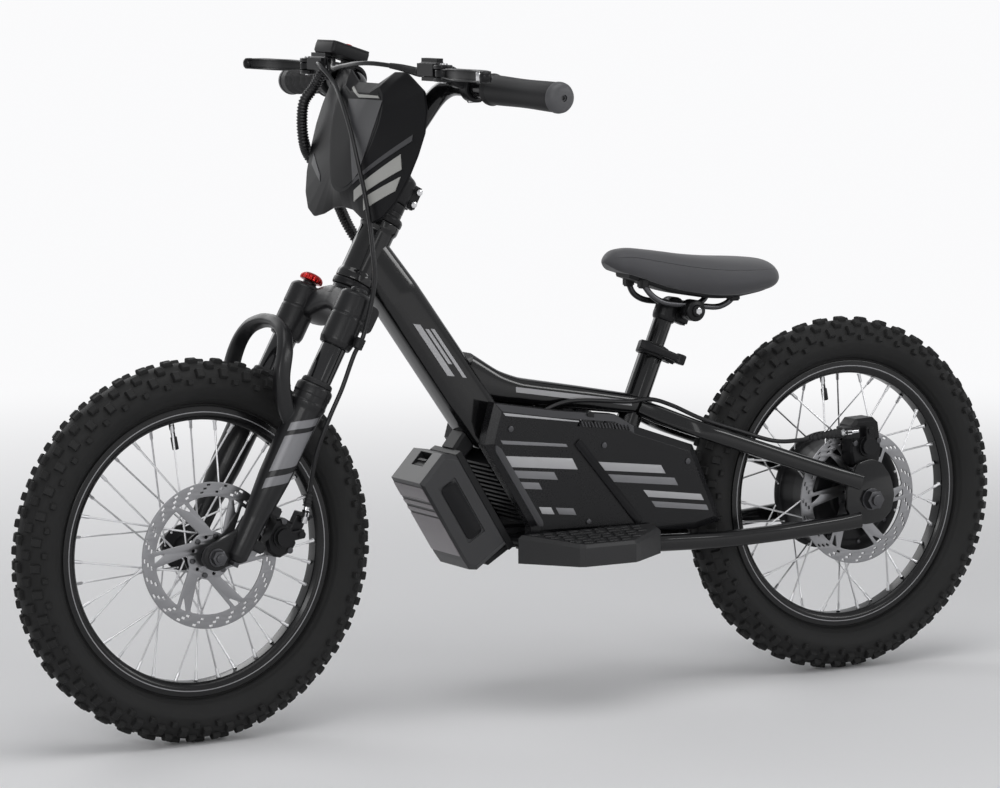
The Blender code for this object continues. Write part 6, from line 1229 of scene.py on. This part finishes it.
def makePlate():
    # rings at shares of the inner and outer edges' reach, front and back, joined round a rim
    p = numberPlate
    angle = np.linspace(-math.pi, math.pi, 481)[:-1]
    far, near = (np.interp(angle, edge[0], edge[1], period=tau) for edge in (outerEdge, innerEdge))
    inside = np.linspace(0.02, 1, 12)[:, None] * near
    outside = near + (far - near) * np.linspace(0, 1, 12)[1:, None]
    reach = np.concatenate([inside, outside])
    y, h = reach * np.cos(angle), p["middle"] + reach * np.sin(angle)
    front = plateAt(y, h)
    out = fork[:3, :3] @ plateOut
    back = front - out * p["wall"]
    rim = (front[-1:] + back[-1:]) / 2
    centre = front.reshape(-1, 3).mean(0)
    rim = rim + (rim - centre) * 0.004
    piece("number_plate_shell", [gridShell(np.concatenate([front, rim, back[::-1]]))], plateGloss, steered,
        "number_plate", sharp=5)
    pad = np.linspace(0.02, 0.93, 12)[:, None] * near
    y, h = pad * np.cos(angle), p["middle"] + pad * np.sin(angle)
    field = plateAt(y, h)
    shell = gridShell(np.concatenate([field + out * 0.0003, field[::-1] - out * 0.0002]))
    piece("number_plate_field", [shell], plateSatin, steered)
    # the grey patches hold print and also the painted light of one lit facet
    for kind, material in (("pale", paleVinylAndPaintedHighlight), ("grey", plateGreyDecalAndPaintedLight)):
        shells = [skin(plateAt(*np.moveaxis(patch(corners, 36, 28), -1, 0)), out, 0.0006)
            for corners in p[kind]]
        piece("number_plate_" + kind, shells, material, steered)
    # a pale line along the inner crease: painted highlight
    paintedHighlights = [skin(plateAt(*np.moveaxis(patch(corners), -1, 0)), out, 0.0009) for corners in p["paintedHighlight"]]
    piece("number_plate_painted_highlight", paintedHighlights, paleVinylAndPaintedHighlight, steered)
    pegs = [rod(0.004, 0.0558, 0.064, fork @ shift(0, y, clampS - 0.002) @ turn(90, "Y"), 16)
        for y in (-0.016, 0.016)]
    piece("plate_pegs", pegs, plastic, steered)


plateGloss = finish("plateGloss", (0.006, 0.006, 0.007), 0.38, spread=0.08, fine=500, bump=0.04, specular=0.12)
plateSatin = finish("plateSatin", (0.01, 0.01, 0.011), 0.48, spread=0.1, fine=900, bump=0.06, specular=0.12)
# grey stripes of print, and the painted light on the inner field's lit facet
plateGreyDecalAndPaintedLight = finish("plateGreyDecalAndPaintedLight", (0.046, 0.046, 0.05), 0.4, spread=0.1, fine=900, bump=0.06)
# pale stripes of print, also used for the painted highlight along the plate's crease
paleVinylAndPaintedHighlight = finish("paleStripeAndPaintedHighlight", (0.4, 0.4, 0.38), 0.36, spread=0.08, fine=1600, bump=0.04)


pivotX, pivotY, pivotZ = 0.1973, 0.16, 0.72803
control = {"left": {"side": 1, "reach": 0.105}, "right": {"side": -1, "reach": 0.138},
    "blade": [(0, 0.001), (0.003, 0.02), (0.007, 0.035), (0.0105, 0.05), (0.0112, 0.07), (0.01, 0.09),
              (0.0115, 0.106), (0.016, 0.12)],
    "width": (0.011, 0.0115, 0.011, 0.0105, 0.0105, 0.011, 0.0115, 0.012),
    "height": (0.0085, 0.0105, 0.0122, 0.0125, 0.0125, 0.0125, 0.0122, 0.011)}


def lever(name):
    # channel blade: two thin flanges and a web, each a flat box carried along the curve of the blade
    c, side = control, control[name]["side"]
    stations = [((pivotX + f, side * (pivotY + o), pivotZ), w, h, 0.0032) for (f, o), w,
        h in zip(c["blade"], c["width"], c["height"])]
    eye = [(0.0002, -0.0041), (0.008, -0.0041), (0.009, -0.0032), (0.009, 0.0032), (0.008, 0.0041),
        (0.0002, 0.0041)]
    place = shift(pivotX, side * pivotY, pivotZ)
    tip = shift(*stations[-1][0])
    ball = [(0.0002, -0.0062), (0.004, -0.0062), (0.0064, -0.0034), (0.0068, 0.0), (0.0064, 0.0034),
        (0.004, 0.0062), (0.0002, 0.0062)]
    shells = [boxTube([((x, y, z + lift * h), w, 0.0019, 0.0007) for (x, y, z), w, h, r in stations], 0.012,
        0.0006, (1, 0, 0)) for lift in (0.44, -0.44)]
    shells += [boxTube([((x - 0.0016, y, z), w * 0.62, h * 0.94, 0.0012) for (x, y, z), w, h, r in stations],
        0.012, 0.0006, (1, 0, 0)), lathed(eye, 0.0008, 4, 32, place), lathed(ball, 0.0012, 4, 28, tip)]
    piece("lever_blade_" + name, shells, alloy, name + "_lever", "brake_lever_" + name)
    if side > 0:
        pin = [rod(0.0048, -0.0046, 0.0046, tip @ shift(-0.0022, -side * 0.015, 0), 20, 0.0006)]
        piece("lever_pin_" + name, pin, steel, name + "_lever")


def perch(name):
    # split clamp on the bar, an arm to the lever's fork, two cheeks and the cable barrel
    side, reach = control[name]["side"], control[name]["reach"]
    bar = barFrame(side)
    root = bar[:3, 3]
    ring = [(0.0113, -0.007), (0.015, -0.007), (0.016, -0.006), (0.016, 0.006), (0.015, 0.007), (0.0113, 0.007)]
    shells = [lathedRing(ring, 0.0008, 3, 40, bar),
        boxTube([((root[0] + 0.01, side * 0.156, root[2] + 0.008), 0.013, 0.015, 0.003),
        ((root[0] + 0.02, side * 0.155, root[2] + 0.006), 0.014, 0.015, 0.003),
        ((pivotX - 0.012, side * 0.152, pivotZ), 0.02, 0.016, 0.004), ((pivotX - 0.004, side * 0.15, pivotZ),
        0.02, 0.015, 0.004)], 0.006, 0.0015), box((-0.0115, min(side * 0.108, side * 0.154), -0.009),
        (0.007, max(side * 0.108, side * 0.154), 0.0155), shift(pivotX, 0, pivotZ), 0.0055, 5)]
    for low, high in ((-0.0088, -0.0046), (0.0046, 0.0088)):
        cheek = [(-0.0105, -0.0135), (0.006, -0.0135), (0.009, -0.002), (0.0075, 0.0065), (0.0, 0.0092),
            (-0.0085, 0.006), (-0.011, -0.004)]
        outline = softened([(x, side * y) for x, y in cheek], 0.003, 4)
        if side < 0:
            outline = outline[::-1]
        shells.append(plate([outline], high - low, shift(pivotX, side * pivotY,
            pivotZ + (low + high) / 2), 0.0007))
    piece("perch_body_" + name, shells, alloy, steered, "brake_perch_" + name)
    barrel = placeAlong((0, -side, 0), (pivotX - 0.002, side * 0.12, pivotZ))
    reachIn = 0.12 - reach if reach < 0.12 else 0.004
    shells = [rod(0.0062, 0.0, max(reachIn - 0.01, 0.003), barrel, 24, 0.0008),
        rod(0.0042, 0.0, max(reachIn, 0.009), barrel, 20, 0.0008)]
    pin = shift(pivotX, side * pivotY, pivotZ)
    shells += [rod(0.0038, 0.0088, 0.0108, pin, 20, 0.0006), rod(0.0034, -0.0104, -0.0088, pin, 6, 0.0003)]
    clampBolt = bar @ shift(-0.0135, 0, 0) @ turn(90, "X")
    shells.append(rod(0.003, -0.0078, 0.0078, clampBolt, 16, 0.0005))
    piece("perch_fittings_" + name, shells, steel, steered)


def throttleHousing():
    # closed profile turned round the bar, with a screw on each side
    place = gripPlace(-1) @ shift(0, 0, -0.0003)
    body = [(0.0113, -0.018), (0.018, -0.018), (0.0196, -0.0165), (0.02, -0.015), (0.02, -0.0095),
        (0.0194, -0.009), (0.02, -0.0085), (0.02, -0.0015), (0.019, 0.0), (0.0113, 0.0)]
    shells = [lathedRing(body, 0.0007, 3, 48, place)]
    piece("throttle_body", shells, plastic, steered, "throttle_housing")
    screws = [rod(0.0022, 0.0188, 0.0204, place @ shift(0, 0, -0.009) @ turn(a, "Z") @ turn(90, "Y"), 14,
        0.0004) for a in (40, 220)]
    piece("throttle_screws", screws, darkSteel, steered)


controlBox = {"place": (0.1746, -0.12, 0.7441), "tilt": -18, "half": 0.024, "button": (0.001, 0.015)}


def displayUnit():
    # a soft square lofted through scaled copies of itself, under a bezel with a pane and a button
    c = controlBox
    place = shift(*c["place"]) @ turn(c["tilt"], "Y")
    square = softened(np.array([(1, 1), (-1, 1), (-1, -1), (1, -1)]) * c["half"], 0.005, 6)
    window = softened([(0.019, 0.008), (-0.019, 0.008), (-0.019, -0.02), (0.019, -0.02)], 0.002, 4)
    rings = [np.column_stack([square * k, np.full(len(square), z)]) for k, z in ((0.86, -0.0075),
        (0.95, -0.0068), (1.0, -0.0045), (1.0, 0.0035), (0.99, 0.0046))]
    shells = [gridShell(moved(np.array(rings), place)),
        plate([square * 0.985, window, circlePoints(0.0044, 28, c["button"])], 0.0028,
        place @ shift(0, 0, 0.0059), 0.0006), box((-0.02, -0.006, -0.03), (-0.004, 0.006, -0.006),
        place, 0.002, 3)]
    ring = [(0.0113, -0.006), (0.0148, -0.006), (0.0155, -0.005), (0.0155, 0.005), (0.0148, 0.006),
        (0.0113, 0.006)]
    shells.append(lathedRing(ring, 0.0006, 3, 36, barFrame(-1, -c["place"][1])))
    piece("display_case", shells, plastic, steered, "display")
    piece("display_glass", [plate([window * 0.985 + (0, -0.0001)], 0.001, place @ shift(0, 0, 0.0051),
        0.0002)], insertBlack, steered)
    button = [(0.0002, 0.0066), (0.0038, 0.0066), (0.0038, 0.008), (0.0034, 0.0086), (0.002, 0.0088),
        (0.0002, 0.0087)]
    piece("display_button", [lathed(button, 0.0003, 3, 28, place @ shift(*c["button"], 0))], red, "button",
        "power_button")
    lead = smoothPath([(0.1858, -0.11, 0.755), (0.188, -0.1145, 0.7505), (0.1905, -0.119, 0.745),
        (0.1935, -0.1215, 0.7385), (0.1955, -0.12, 0.733), (0.194, -0.115, 0.729)], 0.001)
    piece("display_lead", [swept(lead, 0.0013, 10)], hoseRubber, steered)


def knob():
    # domed cap whose rim is fluted: radius times 1 plus a small cosine that fades up the dome
    place = leg(-1) @ shift(0, 0, 0.3303)
    profile = softened([(0.0002, 0.0098), (0.0045, 0.0096), (0.0085, 0.0088), (0.0112, 0.007),
        (0.0128, 0.0046), (0.0131, 0.0022), (0.0126, 0.0004), (0.0002, 0.0002)], 0.001, 4, closed=False)
    angle = np.arange(144) * tau / 144
    flute = 1 + 0.035 * np.cos(18 * angle) * np.clip((profile[:, :1] - 0.0095) / 0.003, 0, 1)
    ring = np.stack(np.broadcast_arrays(profile[:, :1] * flute * np.cos(angle), profile[:, :1] * flute
        * np.sin(angle), profile[:, 1:2]), -1)
    piece("fork_dial", [gridShell(moved(ring, place))], red, "knob", "fork_knob", sharp=45)


def axles():
    # spindle with a domed nut, washer and cone at each end
    for name, x, half, radius, nut, cone, body, node, low in (("front", wheel["x"], 0.069, 0.005,
            (0.0088, 0.0588, 0.0673), (0.0085, 0.042, 0.0502), "sliders", "front_axle", 0.0502),
            ("rear", -wheel["x"], 0.082, 0.0068, (0.0118, 0.0673, 0.0783), (0.0098, 0.048, 0.0607),
            "main_frame", "motor_axle", 0.0607)):
        place = wheelPlace(x)
        shells = [rod(radius, -half, half, place, 28, 0.0012)]
        for flip in (0, 180):
            end = place @ turn(flip, "X")
            start = cone[1] if not (name == "rear" and flip) else 0.042
            r, a, b = nut
            shells += [rod(cone[0], start, cone[2], end, 32, 0.0008), rod(r, a + 0.0012, b, end, 6, 0.001),
                lathedRing([(radius, a), (r + 0.0012, a), (r + 0.0012, a + 0.0014), (radius, a + 0.0014)],
                0.0003, 3, 36, end)]
        piece(name + "_spindle", shells, darkSteel, body, node, sharp=40)


hose = {"radius": 0.0025, "step": 0.003, "conduit": 0.006, "ripple": 0.00055, "pitch": 0.0034}
frontBarrel = [spot(fork, -0.0335, 0.066, 0.0765), spot(fork, -0.029, 0.066, 0.0925)]
rearBarrel = np.array([(-0.402, 0.0672, 0.2933), (-0.3785, 0.0672, 0.2923)])


def beyond(barrel, reach):
    # a point on a barrel's line, past its end
    return barrel[1] + unit(barrel[1] - barrel[0]) * reach


def boot(route, start, end, wide, thin, rings=0, depth=0.0):
    # tapered sleeve over part of a route, with ripples when it has rings
    length = walked(route)
    marks = np.linspace(start, end, 72)
    path = np.stack([np.interp(marks, length, route[:, k]) for k in range(3)], -1)
    share = np.linspace(0, 1, 72)
    radius = wide + (thin - wide) * share ** 0.8 + depth * np.cos(share * rings * tau)
    radius[0] *= 0.82
    radius[-1] = max(thin * 0.9, hose["radius"] + 0.0002)
    return swept(path, radius, 24)


def cables():
    # circles carried along smooth routes in metres, from each lever and the display to where they end
    h = hose
    front = smoothPath([(0.1953, -0.1377, 0.72803), (0.1953, -0.1297, 0.72803), (0.20595, -0.118, 0.73181),
        (0.20995, -0.1, 0.72781), (0.21125, -0.07, 0.71241), (0.22045, -0.033, 0.69281),
        (0.22845, 0.002, 0.66411), (0.23775, 0.037, 0.63021), (0.23995, 0.056, 0.59981),
        (0.24295, 0.074, 0.56661), (0.24335, 0.0815, 0.53501), (0.24325, 0.0845, 0.49971), clipAt + steerUp
        * 0.014, clipAt - steerUp * 0.014, (0.28345, 0.083, 0.38751), (0.29845, 0.081, 0.35561),
        (0.31195, 0.076, 0.31681), beyond(frontBarrel, 0.018), beyond(frontBarrel, 0.008),
        beyond(frontBarrel, 0.0003)], h["step"])
    upper = smoothPath([(0.1953, 0.1047, 0.72803), (0.1953, 0.0967, 0.72803), (0.20795, 0.08, 0.73281),
        (0.22215, 0.05, 0.73631), (0.22755, 0.02, 0.73571), (0.22385, -0.02, 0.73211),
        (0.22125, -0.05, 0.72881), (0.20595, -0.08, 0.73281), (0.19495, -0.102, 0.73581),
        (0.19635, -0.116, 0.72891), (0.19845, -0.12, 0.72191)], h["step"])
    rear = smoothPath([(.05, .0275, .305), (.05, .0325, .305), (.04, .035, .312), (.02, .03, .328),
        (-.005, .026, .34), (-.03, .024, .3465), (-.06, .0235, .347), (-.115, .0235, .342),
        (-.145, .0245, .343), (-.17, .031, .335), (-.2004, .0475, .319), (-.25, .0511, .3019),
        (-0.295, 0.055, 0.2878), (-0.33, 0.059, 0.2868), beyond(rearBarrel, 0.02), beyond(rearBarrel, 0.008),
        beyond(rearBarrel, 0.0003)], h["step"])
    line = piece("front_hose", [swept(front, h["radius"], 14)], hoseRubber, None, "brake_cable_front")
    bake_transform(line)
    piece("upper_hose", [swept(upper, h["radius"], 14)], hoseRubber, steered, "brake_cable_upper")
    piece("rear_hose", [swept(rear, h["radius"], 14)], hoseRubber, "main_frame", "brake_cable_rear")
    piece("lever_boots", [boot(upper, 0.0, 0.042, 0.0056, 0.0031), boot(front, 0.0, 0.022, 0.005, 0.0031)],
        gripRubber, steered)
    piece("rear_boot", [boot(rear[::-1], 0.0, 0.04, 0.0058, 0.0034, 7, 0.0006)], gripRubber, "main_frame")
    piece("front_boot", [boot(front[::-1], 0.0, 0.016, 0.005, 0.0032, 4, 0.0005)], gripRubber, "sliders")
    conduit = smoothPath([(0.19845, -0.12, 0.72221), (0.20295, -0.1225, 0.71381), (0.20795, -0.125, 0.70431),
        (0.21945, -0.1265, 0.68881), (0.22195, -0.1275, 0.66651), (0.21895, -0.129, 0.64311),
        (0.20795, -0.137, 0.62581), (0.19495, -0.128, 0.60481), (0.18995, -0.105, 0.57581),
        (0.18645, -0.084, 0.54881), (0.16995, -0.067, 0.51281), (0.15685, -0.055, 0.47881),
        (0.15095, -0.048, 0.45681), (0.14995, -0.039, 0.44431), (0.14995, -0.0345, 0.44291),
        (0.14995, -0.0275, 0.44291)], 0.0007)
    radius = h["conduit"] + h["ripple"] * np.clip(np.cos(walked(conduit) * tau / h["pitch"]) * 1.6, -1, 1)
    sleeve = piece("wiring_sleeve", [swept(conduit, radius, 20)], hoseRubber, None, "wiring_conduit", sharp=60)
    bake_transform(sleeve)
    adjusters = []
    for low, high in (frontBarrel, rearBarrel):
        length = float(np.linalg.norm(high - low))
        place = placeAlong(high - low, low)
        adjusters += [rod(0.0034, -0.002, length, place, 20, 0.0005), rod(0.0047, length * 0.35, length * 0.62,
            place, 6, 0.0006), rod(0.0044, length * 0.66, length * 0.78, place, 6, 0.0005)]
    piece("front_adjuster", adjusters[:3], steel, "sliders")
    piece("rear_adjuster", adjusters[3:], steel, "main_frame")


def caliperBolts():
    # socket heads on the outer faces of both calipers, in each wheel's turned frame
    for end, x, turnBy, reach, outer, body in (("front", wheel["x"], -168.5, 0.08, 0.0595, "sliders"),
            ("rear", -wheel["x"], -88, 0.0625, 0.0607, "main_frame")):
        place = wheelPlace(x) @ turn(turnBy, "Z")
        heads = [rod(0.0034, -0.0012, 0.002, place @ shift(reach + 0.005, y, outer), 20, 0.0006)
            for y in (-0.0165, 0.0165)]
        piece(end + "_caliper_bolts", heads, darkSteel, body)


def stripes():
    # flat trim on the down tube's and top tube's sides and on the fork legs
    shells = []
    down = np.array([-0.5796, -0.8149])
    rise = np.array([-0.8149, 0.5796])
    for start, length, low, high in ((0.0, 0.074, -0.0085, -0.002), (0.014, 0.05, 0.0, 0.0035),
            (0.018, 0.07, 0.0055, 0.009)):
        first = np.array([0.156, 0.4515]) + down * start
        flat = patch([first + rise * low, first + down * length + rise * low,
            first + down * (length + high - low) + rise * high, first + down * (high - low)
            + rise * high], 4, 2)
        for side in (1, -1):
            grid = np.stack([flat[..., 0], np.full(flat.shape[:2], side * 0.0229), flat[..., 1]], -1)
            shells.append(skin(grid, (0, side, 0)))
    piece("down_tube_stripes", shells, silverVinyl, "main_frame", None)
    shells = []
    for side in (1, -1):
        rows = [(0.03, 0.0192, 0.3645), (-0.03, 0.0187, 0.3545), (-0.06, 0.0181, 0.3496),
            (-0.125, 0.016, 0.339)]
        grid = np.array([[(x, side * y, z - 0.003), (x, side * y, z + 0.003)] for x, y, z in rows])
        shells.append(skin(grid, (0, side, 0)))
    piece("top_tube_stripes", shells, silverVinyl, "main_frame", None)
    shells = []
    for side in (1, -1):
        for low, high, lean in ((0.118, 0.16, 0.016), (0.098, 0.11, 0.016), (0.166, 0.176, 0.016)):
            angle = np.radians(np.linspace(-52, 38, 14))
            share = np.linspace(0, 1, 12)[:, None]
            along = low + (high - low) * share + lean * (angle[None] / angle.max() * 0.5)
            reach = np.interp(along, (0.082, 0.105, 0.15, 0.185), (0.0158, 0.0176, 0.0184, 0.019))
            grid = np.stack(np.broadcast_arrays(reach * np.sin(angle) * -1,
                side * reach * np.cos(angle), along), -1)
            out = np.stack(np.broadcast_arrays(-np.sin(angle) + 0 * along, side * np.cos(angle) + 0 * along,
                0 * along), -1)
            shells.append(skin(moved(grid, leg(side)), out @ fork[:3, :3].T))
    piece("fork_stripes", shells, greyVinyl, "sliders", None)


makePlate()
for name in ("left", "right"):
    lever(name)
    perch(name)
throttleHousing()
displayUnit()
knob()
axles()
cables()
stripes()
caliperBolts()
dress(alloy, "front_caliper", "rear_caliper", "front_caliper_arm", "rear_caliper_arm")
print("plate, controls and cables made")

view = {"place": (2.2355, 3.8742, 0.8765), "yaw": -29.542, "pitch": -6.638, "roll": -0.369, "focal": 3962.0}


light = {"world": 0.3, "glossy": 0.38, "glow": 0.96, "near": 0.9, "far": 3.4,
    "lamps": {"overhead": ((0.2, 0.6, 2.6), (0, 0, 0.3), (2.4, 1.6), 24),
              "left_front": ((2.4, 2.4, 1.5), (0.1, 0, 0.35), (0.5, 1.9), 20),
              "left_rear": ((-2.2, 2.2, 1.4), (-0.1, 0, 0.35), (0.4, 1.9), 16),
              "right_side": ((0.2, -2.6, 1.6), (0, 0, 0.35), (2.0, 1.2), 15),
              "low_strip": ((0.3, 3.0, 0.35), (0.0, 0, 0.3), (2.6, 0.35), 5)}}


def floorFinish():
    # pale floor that keeps the shadow near the bike and glows evenly for camera rays further off
    material = finish("paleFloor", (0.86, 0.86, 0.87), 0.75, spread=0.05, fine=60, broad=1.5, bump=0.02,
        tone=0.01, specular=0.2)
    tree = material.node_tree
    shader = tree.nodes["Principled BSDF"]
    where = add(tree, "TexCoord").outputs["Object"]
    reach = add(tree, "VectorMath", [(0, where)], operation="LENGTH").outputs["Value"]
    share = add(tree, "MapRange", [("Value", reach), ("From Min", light["near"]), ("From Max", light["far"])],
        interpolation_type="SMOOTHSTEP").outputs[0]
    rays = add(tree, "LightPath")
    seen = maths(tree, "MAXIMUM", rays.outputs["Is Camera Ray"], rays.outputs["Is Transmission Ray"])
    seen = maths(tree, "MAXIMUM", seen, rays.outputs["Is Glossy Ray"])
    glow = add(tree, "Emission", [("Color", (light["glow"], light["glow"], light["glow"] + 0.01, 1))])
    both = add(tree, "MixShader", [(0, maths(tree, "MULTIPLY", share, seen)), (1, shader.outputs[0]),
        (2, glow.outputs[0])])
    tree.links.new(both.outputs[0], tree.nodes["Material Output"].inputs[0])
    return material


def makeCamera():
    # looks along the yaw from the bike's right and the pitch, then rolls about that line
    yaw, pitch, roll = (math.radians(view[k]) for k in ("yaw", "pitch", "roll"))
    look = np.array([math.sin(yaw) * math.cos(pitch), -math.cos(yaw) * math.cos(pitch), math.sin(pitch)])
    right = unit(np.cross(look, (0, 0, 1)))
    up = np.cross(right, look)
    right, up = right * math.cos(roll) + up * math.sin(roll), up * math.cos(roll) - right * math.sin(roll)
    data = bpy.data.cameras.new("camera")
    data.sensor_width = 36
    data.lens = view["focal"] * 36 / 1000
    data.clip_start, data.clip_end = 0.1, 400
    camera = bpy.data.objects.new("camera", data)
    place = np.eye(4)
    place[:3, 0], place[:3, 1], place[:3, 2], place[:3, 3] = right, up, -look, view["place"]
    camera.matrix_world = Matrix(place.tolist())
    bpy.context.scene.collection.objects.link(camera)
    bpy.context.scene.camera = camera


def softLight(name, place, aim, size, power):
    # a rectangular lamp at its place that looks at its aim
    data = bpy.data.lights.new(name, "AREA")
    data.shape = "RECTANGLE"
    data.size, data.size_y = size
    data.energy = power
    lamp = bpy.data.objects.new(name, data)
    lamp.matrix_world = Matrix(placeAlong(place - np.array(aim, float), place).tolist())
    lamp.visible_camera = False
    bpy.context.scene.collection.objects.link(lamp)


def makeStage():
    # floor, studio world and lamps
    reach = 60.0
    floor = bpy.data.meshes.new("floor")
    floor.from_pydata([(-reach, -reach, 0), (reach, -reach, 0), (reach, reach, 0), (-reach, reach, 0)], [],
        [(0, 1, 2, 3)])
    floor.materials.append(floorFinish())
    ground = bpy.data.objects.new("floor", floor)
    bpy.context.scene.collection.objects.link(ground)
    world = bpy.data.worlds.new("studio")
    world.use_nodes = True
    tree = world.node_tree
    background = tree.nodes["Background"]
    rays = add(tree, "LightPath")
    seen = maths(tree, "MAXIMUM", rays.outputs["Is Camera Ray"], rays.outputs["Is Transmission Ray"])
    seen = maths(tree, "MAXIMUM", seen, maths(tree, "MULTIPLY", rays.outputs["Is Glossy Ray"], light["glossy"]))
    background.inputs["Color"].default_value = (0.94, 0.95, 0.97, 1)
    tree.links.new(maths(tree, "MULTIPLY_ADD", seen, 1.0 - light["world"], light["world"]),
        background.inputs["Strength"])
    bpy.context.scene.world = world
    for name, (place, aim, size, power) in light["lamps"].items():
        softLight(name, place, aim, size, power)


makeCamera()
makeStage()
bpy.context.scene.view_settings.view_transform = "Standard"
print("finished")
